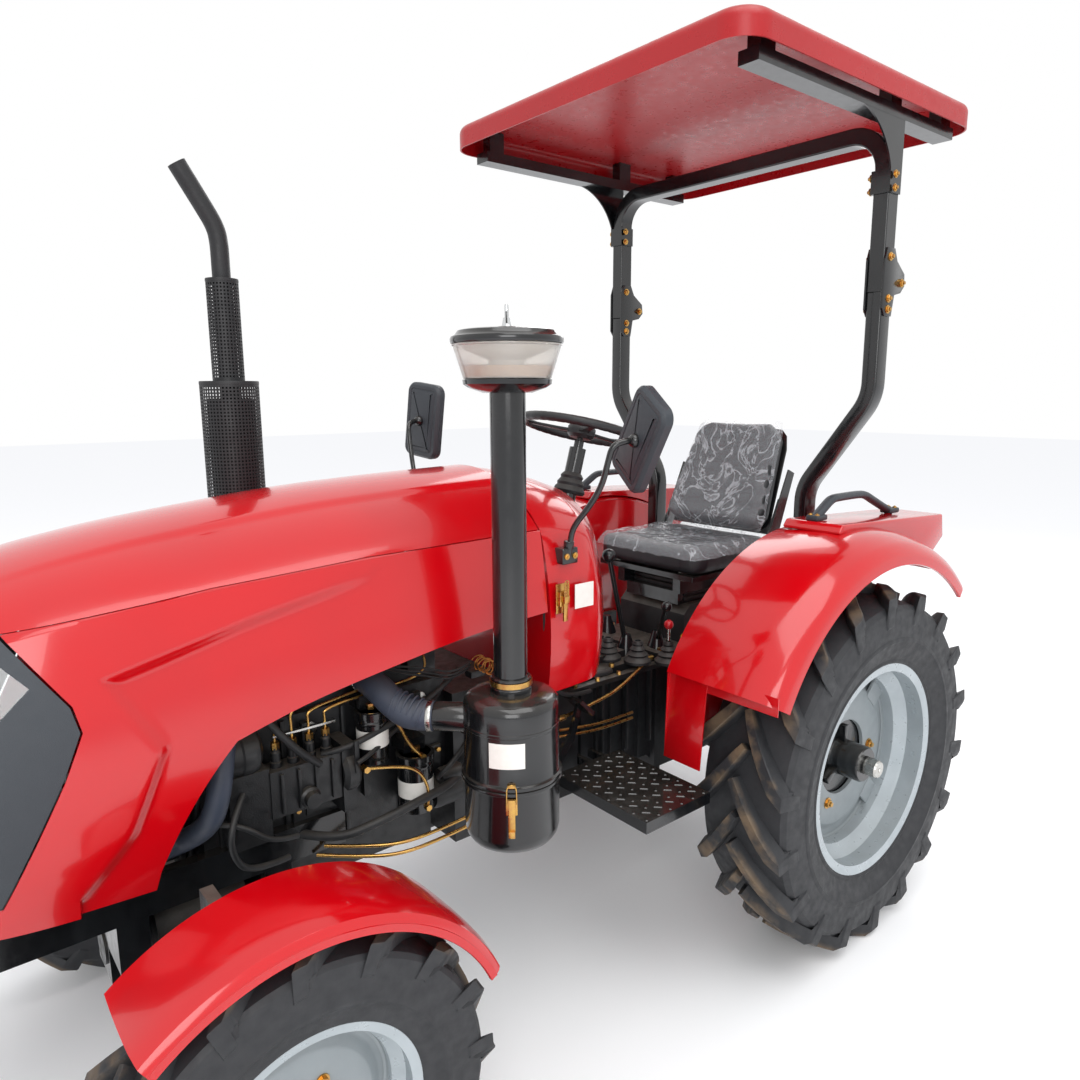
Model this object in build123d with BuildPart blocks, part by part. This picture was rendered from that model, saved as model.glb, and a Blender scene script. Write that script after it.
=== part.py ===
from build123d import *
from math import atan2, cos, degrees, hypot, radians, sin
import os

# Compact four-wheel-drive farm tractor with a folding roll bar and canopy.
# Millimetres. +X is forward, +Y is the left side, +Z is up, and the ground is z = 0.
# Every x below is given from the rear axle by ahead().

os.makedirs("parts", exist_ok=True)

# ---------------------------------------------------------------- driving sizes
front_reach = 2440  # face of the weight bracket, ahead of the rear axle
rear_reach = 950  # end of the lower links, behind the rear axle
wheelbase = 1765
seat_gap = 0.3  # left between pieces that seat on each other
moving_gap = 6  # least room round a piece that moves
shaft_gap = 0.08  # radial clearance of a shaft in its bore

rear_tyre_radius = 552
rear_tyre_half_width = 142
rear_lug_height = 38
rear_lug_count = 18
rear_wheel_y = 650
rear_rim_flange_radius = 328
rear_bead_radius = 305
rear_rim_half_width = 121

front_tyre_radius = 380
front_tyre_half_width = 92
front_lug_height = 27
front_lug_count = 16
front_wheel_y = 632
front_rim_flange_radius = 219
front_bead_radius = 203
front_rim_half_width = 74

rim_sheet = 6
rear_axle_x = -(front_reach - rear_reach) / 2


def ahead(distance):
    return rear_axle_x + distance


front_axle_x = ahead(wheelbase)

# ---------------------------------------------------------------- small helpers


def block(x_span, y_span, z_span, mode=Mode.ADD):
    spans = (x_span, y_span, z_span)
    middle = [(low + high) / 2 for low, high in spans]
    sides = [abs(high - low) for low, high in spans]
    with Locations(tuple(middle)):
        Box(*sides, mode=mode)


def rod(start, end, radius, mode=Mode.ADD):
    run = Vector(*end) - Vector(*start)
    with Locations(Plane(origin=start, z_dir=run)):
        Cylinder(radius, run.length, align=(Align.CENTER, Align.CENTER, Align.MIN), mode=mode)


def both_sides(y):
    return (y, -y)


# ---------------------------------------------------------------- wheels
# A wheel is drawn on the XY plane through its centre: x is the radius, y runs along the axle.


def wheel_plane(centre):
    return Plane(origin=centre, x_dir=(1, 0, 0), z_dir=(0, 1, 0))


def make_lug(radius, height, half_width, lug_length, lug_width, side):
    # One tread bar at 45 degrees, lying where the local x axis leaves the tyre.
    # Its centre end leads, so the bars make a V that points forwards over the top.
    slope = radians(45)
    outline = [  # along the bar from its centre end, across the bar
        (-0.35 * lug_width, 0),
        (0, 0.5 * lug_width),
        (0.8 * lug_length, 0.5 * lug_width),
        (lug_length, 0.68 * lug_width),
        (lug_length, -0.68 * lug_width),
        (0.8 * lug_length, -0.5 * lug_width),
        (0, -0.5 * lug_width),
    ]
    along = lug_length * sin(slope) / 2
    start = (radius, along, side * 0.09 * half_width)
    bar_plane = Plane(origin=start, x_dir=(0, -cos(slope), side * sin(slope)), z_dir=(1, 0, 0))
    crown = Plane(origin=(radius, 0, 0), z_dir=(1, 0, side * 0.11))
    shoulder = Plane(origin=(radius, 0, side * 0.93 * half_width), z_dir=(0.25, 0, side))
    with BuildPart() as lug:
        with BuildSketch(bar_plane):
            with BuildLine():
                Polyline(*outline, close=True)
            make_face()
        extrude(amount=-2.2 * height, taper=-7)
        split(bisect_by=crown, keep=Keep.BOTTOM)
        split(bisect_by=shoulder, keep=Keep.BOTTOM)
    return lug.part


def lug_reach(lug):
    # Radius and angle of the lug corner that lies furthest from the axle.
    corners = [(hypot(v.X, v.Y), degrees(atan2(v.Y, v.X))) for v in lug.vertices()]
    return max(corners)


tyre_table = [
    # name, centre, radius, half width, lug height, lugs, bead radius, flange radius, rim half width,
    # lug length, lug width
    ("rear_tyre_left", (rear_axle_x, rear_wheel_y, rear_tyre_radius), rear_tyre_radius,
     rear_tyre_half_width, rear_lug_height, rear_lug_count, rear_bead_radius,
     rear_rim_flange_radius, rear_rim_half_width, 190, 38),
    ("front_tyre_left", (front_axle_x, front_wheel_y, front_tyre_radius), front_tyre_radius,
     front_tyre_half_width, front_lug_height, front_lug_count, front_bead_radius,
     front_rim_flange_radius, front_rim_half_width, 124, 28),
]

for (name, centre, radius, half_width, lug_height, lugs, bead, flange, rim_half,
     lug_length, lug_width) in tyre_table:
    carcass = radius - lug_height
    inner_lug = make_lug(radius, lug_height, half_width, lug_length, lug_width, -1)
    outer_lug = make_lug(radius, lug_height, half_width, lug_length, lug_width, 1)
    reach, corner_angle = lug_reach(outer_lug)
    pull_in = radius / reach
    inner_lug = scale(inner_lug, pull_in)
    outer_lug = scale(outer_lug, pull_in)
    bead_half = rim_half - rim_sheet - seat_gap
    with BuildPart(wheel_plane(centre)) as tyre:
        with BuildSketch(Plane(origin=centre)):
            with BuildLine():
                tread = ThreePointArc(
                    (carcass - 0.12 * half_width, -0.9 * half_width),
                    (carcass, 0),
                    (carcass - 0.12 * half_width, 0.9 * half_width),
                )
                bulge_radius = (carcass + flange) / 2
                outer_wall = ThreePointArc(tread @ 1, (bulge_radius, half_width), (flange + 4, bead_half))
                outer_bead = Line(outer_wall @ 1, (bead, bead_half))
                bore = Line(outer_bead @ 1, (bead, -bead_half))
                inner_bead = Line(bore @ 1, (flange + 4, -bead_half))
                ThreePointArc(inner_bead @ 1, (bulge_radius, -half_width), tread @ 0)
            make_face()
        revolve(axis=Axis(centre, (0, 1, 0)))
        with PolarLocations(0, lugs, start_angle=90 - corner_angle):
            add(outer_lug)
        with PolarLocations(0, lugs, start_angle=90 - corner_angle + 180 / lugs):
            add(inner_lug)
    tyre.part.label = name
    export_step(tyre.part, f"parts/{name}.step")
    right_name = name.replace("left", "right")
    with BuildPart() as right_tyre:
        mirror(tyre.part, about=Plane.XZ)
    right_tyre.part.label = right_name
    export_step(right_tyre.part, f"parts/{right_name}.step")


# rim section: radius and place along the axle, from the inner flange to the outer one
rim_table = [
    # name, centre, flange radius, bead radius, half width, drop, disc place, disc hub radius, disc bend radius
    ("rear_wheel_left", (rear_axle_x, rear_wheel_y, rear_tyre_radius), rear_rim_flange_radius,
     rear_bead_radius, rear_rim_half_width, 36, 8, 118, 218),
    ("front_wheel_left", (front_axle_x, front_wheel_y, front_tyre_radius), front_rim_flange_radius,
     front_bead_radius, front_rim_half_width, 22, 18, 62, 140),
]

for name, centre, flange, bead, half, drop, disc_y, hole, bend in rim_table:
    seat = bead - seat_gap
    well = seat - drop
    outline = [
        (flange, -half),
        (flange, -half + rim_sheet),
        (seat, -half + rim_sheet),
        (seat, -0.6 * half),
        (well, -0.45 * half),
        (well, 0.25 * half),
        (seat, 0.45 * half),
        (seat, half - rim_sheet),
        (flange, half - rim_sheet),
        (flange, half),
    ]
    with BuildPart() as wheel:
        with BuildSketch(Plane(origin=centre)):
            with BuildLine():
                Polyline(*outline)
                offset(amount=-rim_sheet, side=Side.LEFT, kind=Kind.INTERSECTION)
            make_face()
            with BuildLine():
                Polyline(
                    (hole, disc_y),
                    (bend, disc_y),
                    (bend + 22, disc_y - 16),
                    (well - rim_sheet, disc_y - 16),
                    (well - rim_sheet, disc_y - 28),
                    (bend + 18, disc_y - 28),
                    (bend - 4, disc_y - 12),
                    (hole, disc_y - 12),
                    close=True,
                )
            make_face()
        revolve(axis=Axis(centre, (0, 1, 0)))
    wheel.part.label = name
    export_step(wheel.part, f"parts/{name}.step")
    right_name = name.replace("left", "right")
    with BuildPart() as right_wheel:
        mirror(wheel.part, about=Plane.XZ)
    right_wheel.part.label = right_name
    export_step(right_wheel.part, f"parts/{right_name}.step")

# ---------------------------------------------------------------- rear hubs and axle
trumpet_end_y = 598
hub_flange_y = rear_wheel_y + 8 - 12 - seat_gap
hub_end_y = 735
axle_shaft_radius = 27.5
axle_shaft_end_y = 778
rear_axle_z = rear_tyre_radius
rear_bolt_circle = 150

with BuildPart() as rear_hub_left:
    rod((rear_axle_x, hub_flange_y - 16, rear_axle_z), (rear_axle_x, hub_flange_y, rear_axle_z), 172)
    rod((rear_axle_x, hub_flange_y, rear_axle_z), (rear_axle_x, hub_end_y, rear_axle_z), 56)
    rod((rear_axle_x, hub_flange_y - 90, rear_axle_z), (rear_axle_x, axle_shaft_end_y, rear_axle_z),
        axle_shaft_radius)
    with Locations(Plane(origin=(rear_axle_x, hub_flange_y, rear_axle_z), z_dir=(0, 1, 0))):
        with PolarLocations(80, 3, start_angle=30):
            Box(66, 14, 26, align=(Align.CENTER, Align.CENTER, Align.MIN))
rear_hub_left.part.label = "rear_hub_left"
export_step(rear_hub_left.part, "parts/rear_hub_left.step")

with BuildPart() as rear_hub_right:
    mirror(rear_hub_left.part, about=Plane.XZ)
rear_hub_right.part.label = "rear_hub_right"
export_step(rear_hub_right.part, "parts/rear_hub_right.step")

# ---------------------------------------------------------------- front axle and knuckles
kingpin_y = 468
kingpin_radius = 44
axle_beam_z = 455
knuckle_top_z = 396
kingpin_top_z = 530
hub_face_y = front_wheel_y + 18 - 12 - seat_gap
steering_arm = 150
arm_end_x = front_axle_x - steering_arm
tie_rod_z = 352
axle_differential_radius = 118
drive_shaft_z = 448
front_fender_radius = 420
front_fender_sheet = 4
front_fender_inner_y = 530
front_fender_outer_y = 738
front_fender_crown = 12
fender_arm_front = 96  # of the guard's arm, ahead of the wheel centre
fender_arm_back = fender_arm_front - 24
fender_arm_y = kingpin_y + 6
fender_arm_reach = front_fender_radius + 0.7 * front_fender_crown
fender_arm_z = front_tyre_radius + (fender_arm_reach**2 - fender_arm_front**2) ** 0.5 - seat_gap

with BuildPart() as front_axle:
    rod((front_axle_x, -kingpin_y, axle_beam_z), (front_axle_x, kingpin_y, axle_beam_z), 52)
    rod((front_axle_x - 105, 0, axle_beam_z), (front_axle_x + 95, 0, axle_beam_z), axle_differential_radius)
    for y in both_sides(kingpin_y):
        rod((front_axle_x, y, knuckle_top_z + 1), (front_axle_x, y, kingpin_top_z), 64)
        rod((front_axle_x, y, kingpin_top_z), (front_axle_x, y, kingpin_top_z + 14), 46)
    for y in both_sides(300):
        rod((front_axle_x, y - 30, axle_beam_z), (front_axle_x, y + 30, axle_beam_z), 66)
    for x in (front_axle_x - 190, front_axle_x + 94):
        rod((x, 0, axle_beam_z), (x + 96, 0, axle_beam_z), 42)
    for y in both_sides(kingpin_y):
        rod((front_axle_x, y, knuckle_top_z - 40), (front_axle_x, y, knuckle_top_z + 60), kingpin_radius,
            mode=Mode.SUBTRACT)
    # the drive shaft stands behind the differential's rear pivot, with a collar at each end
    rod((ahead(344) + seat_gap, 0, drive_shaft_z), (front_axle_x - 190 - seat_gap, 0, drive_shaft_z), 20)
    for x in (ahead(344) + seat_gap, front_axle_x - 240):
        rod((x, 0, drive_shaft_z), (x + 40, 0, drive_shaft_z), 24)
front_axle.part.label = "front_axle"
export_step(front_axle.part, "parts/front_axle.step")

with BuildPart() as knuckle_left:
    rod((front_axle_x, kingpin_y, 292), (front_axle_x, kingpin_y, knuckle_top_z), 60)
    rod((front_axle_x, kingpin_y, knuckle_top_z), (front_axle_x, kingpin_y, knuckle_top_z + 55),
        kingpin_radius - shaft_gap)
    rod((front_axle_x, kingpin_y + 70, front_tyre_radius),
        (front_axle_x, hub_face_y - 46, front_tyre_radius), 72)
    block((front_axle_x - 48, front_axle_x + 48), (kingpin_y, kingpin_y + 74), (300, knuckle_top_z))
    block((arm_end_x, front_axle_x), (kingpin_y - 20, kingpin_y + 20), (tie_rod_z - 14, tie_rod_z + 14))
    rod((arm_end_x, kingpin_y, tie_rod_z - 14), (arm_end_x, kingpin_y, tie_rod_z + 14), 24)
    rod((arm_end_x, kingpin_y, tie_rod_z - 60), (arm_end_x, kingpin_y, tie_rod_z), 9)
    rod((front_axle_x, hub_face_y - 46, front_tyre_radius),
        (front_axle_x, hub_face_y - 22, front_tyre_radius), 46)
    rod((front_axle_x, hub_face_y - 52, front_tyre_radius), (front_axle_x, hub_face_y, front_tyre_radius), 27,
        mode=Mode.SUBTRACT)
    block((front_axle_x + 40, front_axle_x + fender_arm_back), (fender_arm_y, fender_arm_y + 40), (330, 372))
    block((front_axle_x + fender_arm_back, front_axle_x + fender_arm_front),
          (fender_arm_y, fender_arm_y + 40),
          (330, fender_arm_z))
    block((front_axle_x + fender_arm_back, front_axle_x + fender_arm_front),
          (fender_arm_y + 40, front_fender_inner_y + 60), (fender_arm_z - 26, fender_arm_z))
knuckle_left.part.label = "knuckle_left"
export_step(knuckle_left.part, "parts/knuckle_left.step")

with BuildPart() as knuckle_right:
    mirror(knuckle_left.part, about=Plane.XZ)
knuckle_right.part.label = "knuckle_right"
export_step(knuckle_right.part, "parts/knuckle_right.step")

with BuildPart() as tie_rod:
    rod((arm_end_x, -kingpin_y, tie_rod_z - 42), (arm_end_x, kingpin_y, tie_rod_z - 42), 13)
    for y in both_sides(kingpin_y):
        rod((arm_end_x, y, tie_rod_z - 62), (arm_end_x, y, tie_rod_z - 22), 24)
    for y in both_sides(kingpin_y):
        rod((arm_end_x, y, tie_rod_z - 70), (arm_end_x, y, tie_rod_z - 20), 9 + 2 * shaft_gap,
            mode=Mode.SUBTRACT)
tie_rod.part.label = "tie_rod"
export_step(tie_rod.part, "parts/tie_rod.step")

with BuildPart() as front_hub_left:
    rod((front_axle_x, hub_face_y - 50, front_tyre_radius),
        (front_axle_x, hub_face_y + 30, front_tyre_radius),
        27 - shaft_gap)
    rod((front_axle_x, hub_face_y - 20, front_tyre_radius), (front_axle_x, hub_face_y, front_tyre_radius), 96)
    rod((front_axle_x, hub_face_y, front_tyre_radius), (front_axle_x, hub_face_y + 52, front_tyre_radius), 50)
    chamfer(front_hub_left.edges().group_by(Axis.Y)[-1], 10)
front_hub_left.part.label = "front_hub_left"
export_step(front_hub_left.part, "parts/front_hub_left.step")

with BuildPart() as front_hub_right:
    mirror(front_hub_left.part, about=Plane.XZ)
front_hub_right.part.label = "front_hub_right"
export_step(front_hub_right.part, "parts/front_hub_right.step")


def fender_section(centre, radius, inner_y, outer_y, crown, skirt, sheet):
    # Cross-section of a crowned wheel guard, drawn straight above the centre it is turned about.
    middle_y = 0.55 * inner_y + 0.45 * outer_y
    with BuildSketch(Plane(origin=centre, x_dir=(0, 1, 0), z_dir=(1, 0, 0))) as section:
        with BuildLine():
            top = ThreePointArc(
                (inner_y, radius + 0.7 * crown), (middle_y, radius + crown), (outer_y, radius)
            )
            lip = Line(top @ 1, (outer_y, radius - skirt))
            hem = Line(lip @ 1, (outer_y - sheet, radius - skirt))
            inside = Line(hem @ 1, (outer_y - sheet, radius - sheet))
            under = ThreePointArc(
                inside @ 1, (middle_y, radius + crown - sheet), (inner_y, radius + 0.7 * crown - sheet)
            )
            Line(under @ 1, top @ 0)
        make_face()
    return section.sketch


for name, side in (("front_fender_left", 1), ("front_fender_right", -1)):
    hub_centre = (front_axle_x, 0, front_tyre_radius)
    guard_section = fender_section(
        hub_centre, front_fender_radius + front_fender_sheet, front_fender_inner_y, front_fender_outer_y,
        front_fender_crown, 24, front_fender_sheet,
    )
    with BuildPart() as front_fender:
        add(revolve(guard_section, Axis(hub_centre, (0, 1, 0)), 38))
        add(revolve(guard_section, Axis(hub_centre, (0, -1, 0)), 62))
        if side < 0:
            mirror(about=Plane.XZ, mode=Mode.REPLACE)
    front_fender.part.label = name
    export_step(front_fender.part, f"parts/{name}.step")

# ---------------------------------------------------------------- engine, gearbox and frame
engine_rear_x = ahead(1130)
engine_front_x = ahead(1760)
engine_half_width = 150
sump_bottom_z = 500
block_bottom_z = 590
block_top_z = 940
head_top_z = 1040
rocker_top_z = 1104
bell_rear_x = ahead(700)
bell_top_z = 900
gearbox_rear_x = ahead(-235)
gearbox_top_z = 830
gearbox_half_width = 165
crank_z = 690
frame_rail_top_z = 680
intake_port_z = head_top_z - 42
lift_cover_top_z = 960
rockshaft_x = ahead(-165)
rockshaft_z = 896
rockshaft_radius = 28

with BuildPart() as engine:
    block((engine_rear_x, engine_front_x), (-engine_half_width, engine_half_width),
          (block_bottom_z, block_top_z))
    block((engine_rear_x + 10, engine_front_x - 10), (-126, 126), (block_top_z, head_top_z))
    block((engine_rear_x + 60, engine_front_x - 60), (-70, 70), (head_top_z, rocker_top_z))
    fillet(engine.edges().group_by(Axis.Z)[-1], 18)
    block((engine_rear_x + 40, engine_front_x - 190), (-130, 130), (sump_bottom_z, block_bottom_z))
    for station in range(4):
        x = engine_rear_x + 90 + station * 150
        for y in both_sides(engine_half_width + 9):
            block((x - 9, x + 9), (y - 9, y + 9), (frame_rail_top_z + 10, block_top_z - 20))
        block((x - 20, x + 20), (126, 158), (intake_port_z - 22, intake_port_z + 22))
    rod((engine_front_x, 0, crank_z), (engine_front_x + 30, 0, crank_z), 60)
    rod((engine_front_x + 30, 0, crank_z), (engine_front_x + 62, 0, crank_z), 78)
    rod((engine_front_x, 0, 860), (engine_front_x + 40, 0, 860), 34)
    block((engine_front_x - 130, engine_front_x - 40), (engine_half_width, engine_half_width + 70),
          (690, 860))
    block((engine_rear_x + 330, engine_front_x - 130), (engine_half_width + 18, engine_half_width + 74),
          (740, 850))
    block((engine_rear_x + 300, engine_rear_x + 332), (engine_half_width, engine_half_width + 80), (700, 870))
engine.part.label = "engine"
export_step(engine.part, "parts/engine.step")

filter_spots = [
    # ahead of the engine's rear face, y, bottom, top, radius
    (130, 214, 640, 790, 44),
    (240, 206, 800, 930, 38),
]

with BuildPart() as engine_filters:
    for distance, y, bottom, top, radius in filter_spots:
        x = engine_rear_x + distance
        rod((x, y, bottom), (x, y, top), radius)
        block((x - 30, x + 30), (engine_half_width + seat_gap, y), (top, top + 34))
engine_filters.part.label = "engine_filters"
export_step(engine_filters.part, "parts/engine_filters.step")

with BuildPart() as gearbox:
    with BuildSketch(Plane(origin=(0, -gearbox_half_width, 0), x_dir=(1, 0, 0), z_dir=(0, -1, 0))):
        with BuildLine():
            Polyline(
                (gearbox_rear_x, 430),
                (ahead(300), 430),
                (ahead(360), 490),
                (bell_rear_x, 490),
                (bell_rear_x, gearbox_top_z),
                (gearbox_rear_x, gearbox_top_z),
                close=True,
            )
        make_face()
    extrude(amount=-2 * gearbox_half_width)
    block((bell_rear_x, engine_rear_x), (-190, 190), (480, bell_top_z))
    for x, bottom in ((ahead(330), 426), (bell_rear_x, 478)):
        block((x - 14, x + 14), (-186, 186), (bottom, gearbox_top_z + 12))
    for station in range(5):
        x = ahead(410) + station * 62
        block((x - 6, x + 6), (-gearbox_half_width - 12, gearbox_half_width + 12), (500, gearbox_top_z - 30))
    for x in (ahead(480), ahead(620)):
        block((x - 62, x + 62), (-118, 118), (gearbox_top_z, gearbox_top_z + 22))
        for y in both_sides(64):
            block((x - 48, x + 48), (y - 30, y + 30), (gearbox_top_z + 22, gearbox_top_z + 40))
    block((gearbox_rear_x, ahead(170)), (-150, 150), (gearbox_top_z, lift_cover_top_z))
    chamfer(gearbox.edges().filter_by(Axis.Y).group_by(Axis.Z)[-1], 30)
    rod((rockshaft_x, -186, rockshaft_z), (rockshaft_x, 186, rockshaft_z), 50)
    rod((rockshaft_x, -190, rockshaft_z), (rockshaft_x, 190, rockshaft_z), rockshaft_radius + shaft_gap,
        mode=Mode.SUBTRACT)
gearbox.part.label = "gearbox"
export_step(gearbox.part, "parts/gearbox.step")

# ---------------------------------------------------------------- rear axle housing and lift cover
saddle_top_z = 650
post_x = ahead(-220)
lower_post_y = 338
upper_post_y = 555
post_width = 50
post_depth = 60
fender_inner_y = 420
fender_outer_y = 780

with BuildPart() as rear_axle:
    for side in (1, -1):
        trumpet = [
            # distance from the centre line, radius
            (gearbox_half_width + seat_gap, 128),
            (gearbox_half_width + 30, 128),
            (gearbox_half_width + 34, 112),
            (400, 80),
            (trumpet_end_y - 60, 76),
            (trumpet_end_y - 56, 88),
            (trumpet_end_y, 88),
        ]
        with BuildSketch(Plane(origin=(rear_axle_x, 0, rear_axle_z), x_dir=(0, 0, 1), z_dir=(1, 0, 0))):
            with BuildLine():
                outline = [(radius, -side * y) for y, radius in trumpet]
                Polyline((0, outline[0][1]), *outline, (0, outline[-1][1]), close=True)
            make_face()
        revolve(axis=Axis((rear_axle_x, 0, rear_axle_z), (0, 1, 0)))
        block((rear_axle_x - 100, rear_axle_x + 80), (side * 292, side * 424), (rear_axle_z, saddle_top_z))
        block((rear_axle_x - 60, rear_axle_x + 60), (side * 402, side * (fender_inner_y - seat_gap)),
              (saddle_top_z, 790))
        rod((rear_axle_x, side * (hub_flange_y - 92), rear_axle_z),
            (rear_axle_x, side * trumpet_end_y, rear_axle_z),
            axle_shaft_radius + shaft_gap, mode=Mode.SUBTRACT)
rear_axle.part.label = "rear_axle"
export_step(rear_axle.part, "parts/rear_axle.step")

# ---------------------------------------------------------------- three-point linkage
lift_arm_length = 250
lift_arm_y = 216
lift_arm_end_z = rockshaft_z + 20
lower_link_pivot_x = ahead(-95)
lower_link_pivot_z = 392
lower_link_y = 300
lift_rod_y = 258
eye_outer_radius = 33
hitch_pin_radius = 11.2
top_link_pin_radius = 9.65
lower_eye_x = ahead(-rear_reach) + eye_outer_radius
lower_eye_z = 372
lift_arm_end_x = rockshaft_x - (lift_arm_length**2 - 20**2) ** 0.5
rod_eye_x = lift_arm_end_x - 12
rod_eye_z = lower_link_pivot_z - 12

with BuildPart() as lift_arms:
    rod((rockshaft_x, -lift_arm_y - 20, rockshaft_z), (rockshaft_x, lift_arm_y + 20, rockshaft_z),
        rockshaft_radius)
    for side in (1, -1):
        rod((rockshaft_x, side * (lift_arm_y - 20), rockshaft_z),
            (rockshaft_x, side * (lift_arm_y + 20), rockshaft_z),
            46)
        with BuildSketch(Plane(origin=(0, side * (lift_arm_y - 12), 0), x_dir=(1, 0, 0), z_dir=(0, -1, 0))):
            with BuildLine():
                Polyline(
                    (rockshaft_x, rockshaft_z - 40),
                    (rockshaft_x, rockshaft_z + 40),
                    (lift_arm_end_x, lift_arm_end_z + 24),
                    (lift_arm_end_x, lift_arm_end_z - 24),
                    close=True,
                )
            make_face()
        extrude(amount=-24 * side)
        rod((lift_arm_end_x, side * (lift_arm_y - 12), lift_arm_end_z),
            (lift_arm_end_x, side * (lift_arm_y + 12), lift_arm_end_z), 24)
        rod((lift_arm_end_x, side * (lift_arm_y + 12), lift_arm_end_z),
            (lift_arm_end_x, side * (lift_rod_y + 20), lift_arm_end_z), 10)
lift_arms.part.label = "lift_arms"
export_step(lift_arms.part, "parts/lift_arms.step")

with BuildPart() as lift_rods:
    for side in (1, -1):
        y = side * lift_rod_y
        rod((lift_arm_end_x, y, lift_arm_end_z), (rod_eye_x, y, rod_eye_z), 13)
        with Locations(Plane(origin=(lift_arm_end_x, y, lift_arm_end_z),
                             z_dir=(rod_eye_x - lift_arm_end_x, 0, rod_eye_z - lift_arm_end_z))):
            with Locations((0, 0, 240)):
                Cylinder(20, 170)
        for x, z in ((lift_arm_end_x, lift_arm_end_z), (rod_eye_x, rod_eye_z)):
            rod((x, y - 13, z), (x, y + 13, z), 24)
        rod((lift_arm_end_x, y - 14, lift_arm_end_z), (lift_arm_end_x, y + 14, lift_arm_end_z),
            10 + shaft_gap,
            mode=Mode.SUBTRACT)
        rod((rod_eye_x, side * (lift_rod_y - 20), rod_eye_z),
            (rod_eye_x, side * (lower_link_y - 9 - seat_gap), rod_eye_z), 10)
lift_rods.part.label = "lift_rods"
export_step(lift_rods.part, "parts/lift_rods.step")

with BuildPart() as lower_links:
    for side in (1, -1):
        y = side * lower_link_y
        with BuildSketch(Plane(origin=(0, y - 9, 0), x_dir=(1, 0, 0), z_dir=(0, 1, 0))):
            with BuildLine():
                Polyline(
                    (lower_link_pivot_x, -lower_link_pivot_z - 28),
                    (rod_eye_x, -rod_eye_z - 36),
                    (lower_eye_x, -lower_eye_z - 22),
                    (lower_eye_x, -lower_eye_z + 22),
                    (rod_eye_x, -rod_eye_z + 36),
                    (lower_link_pivot_x, -lower_link_pivot_z + 28),
                    close=True,
                )
            make_face()
        extrude(amount=18)
        rod((lower_link_pivot_x, y - 16, lower_link_pivot_z),
            (lower_link_pivot_x, y + 16, lower_link_pivot_z), 32)
        rod((lower_eye_x, y - 18, lower_eye_z), (lower_eye_x, y + 18, lower_eye_z), eye_outer_radius)
        rod((rod_eye_x, y + side * 9, rod_eye_z), (rod_eye_x, y + side * 22, rod_eye_z), 15)
        rod((lower_link_pivot_x, y - 20, lower_link_pivot_z),
            (lower_link_pivot_x, y + 20, lower_link_pivot_z),
            14 + shaft_gap, mode=Mode.SUBTRACT)
        rod((lower_eye_x, y - 20, lower_eye_z), (lower_eye_x, y + 20, lower_eye_z), hitch_pin_radius,
            mode=Mode.SUBTRACT)
lower_links.part.label = "lower_links"
export_step(lower_links.part, "parts/lower_links.step")

pto_radius = 17.45
pto_z = 560
drawbar_pin_radius = 12.5
drawbar_end_x = ahead(-560)
with BuildPart() as drawbar:
    block((drawbar_end_x, ahead(60)), (-35, 35), (362, 398))
    block((drawbar_end_x, drawbar_end_x + 90), (-35, 35), (438, 462))
    block((drawbar_end_x + 90, drawbar_end_x + 110), (-35, 35), (390, 462))
    fillet(drawbar.edges().filter_by(Axis.Z).group_by(Axis.X)[0], 20)
    rod((drawbar_end_x + 34, 0, 350), (drawbar_end_x + 34, 0, 480), drawbar_pin_radius, mode=Mode.SUBTRACT)

with BuildPart() as hitch_frame:
    block((gearbox_rear_x - 26, gearbox_rear_x - seat_gap), (-130, 130), (440, 810))
    for side in (1, -1):
        block((gearbox_rear_x - 80, gearbox_rear_x - 26), (side * 18, side * 30), (600, 800))
        rod((lower_link_pivot_x, side * 150, lower_link_pivot_z),
            (lower_link_pivot_x, side * (lower_link_y + 26), lower_link_pivot_z), 14)
        rod((lower_link_pivot_x, side * 150, lower_link_pivot_z),
            (lower_link_pivot_x, side * (lower_link_y - 22), lower_link_pivot_z), 24)
        rod((lower_link_pivot_x, side * (lower_link_y + 20), lower_link_pivot_z),
            (lower_link_pivot_x, side * (lower_link_y + 28), lower_link_pivot_z), 22)
        block((lower_link_pivot_x - 60, lower_link_pivot_x + 60), (side * 128, side * 164),
              (350, 430 - seat_gap))
    block((gearbox_rear_x - 26, lower_link_pivot_x + 60), (-128, 128), (398, 430 - seat_gap))
    block((gearbox_rear_x - 26, gearbox_rear_x - seat_gap), (-128, 128), (398, 440))
    rod((gearbox_rear_x - 54, -40, 770), (gearbox_rear_x - 54, 40, 770), top_link_pin_radius,
        mode=Mode.SUBTRACT)
    rod((gearbox_rear_x - 54, -40, 700), (gearbox_rear_x - 54, 40, 700), top_link_pin_radius,
        mode=Mode.SUBTRACT)
    rod((gearbox_rear_x - 46, 0, pto_z), (gearbox_rear_x - 26, 0, pto_z), 58)
    rod((gearbox_rear_x - 46, 0, pto_z), (gearbox_rear_x - 130, 0, pto_z), pto_radius)
    add(drawbar.part)
hitch_frame.part.label = "hitch_frame"
export_step(hitch_frame.part, "parts/hitch_frame.step")

# ---------------------------------------------------------------- fenders
fender_peak_x = ahead(-30)
fender_peak_z = 1221
fender_front_radius = 634
fender_rear_radius = 677
fender_sheet = 4
fender_crown = 44
fender_skirt = 50
fender_front_turn = 62.5
fender_rear_turn = 42

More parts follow.
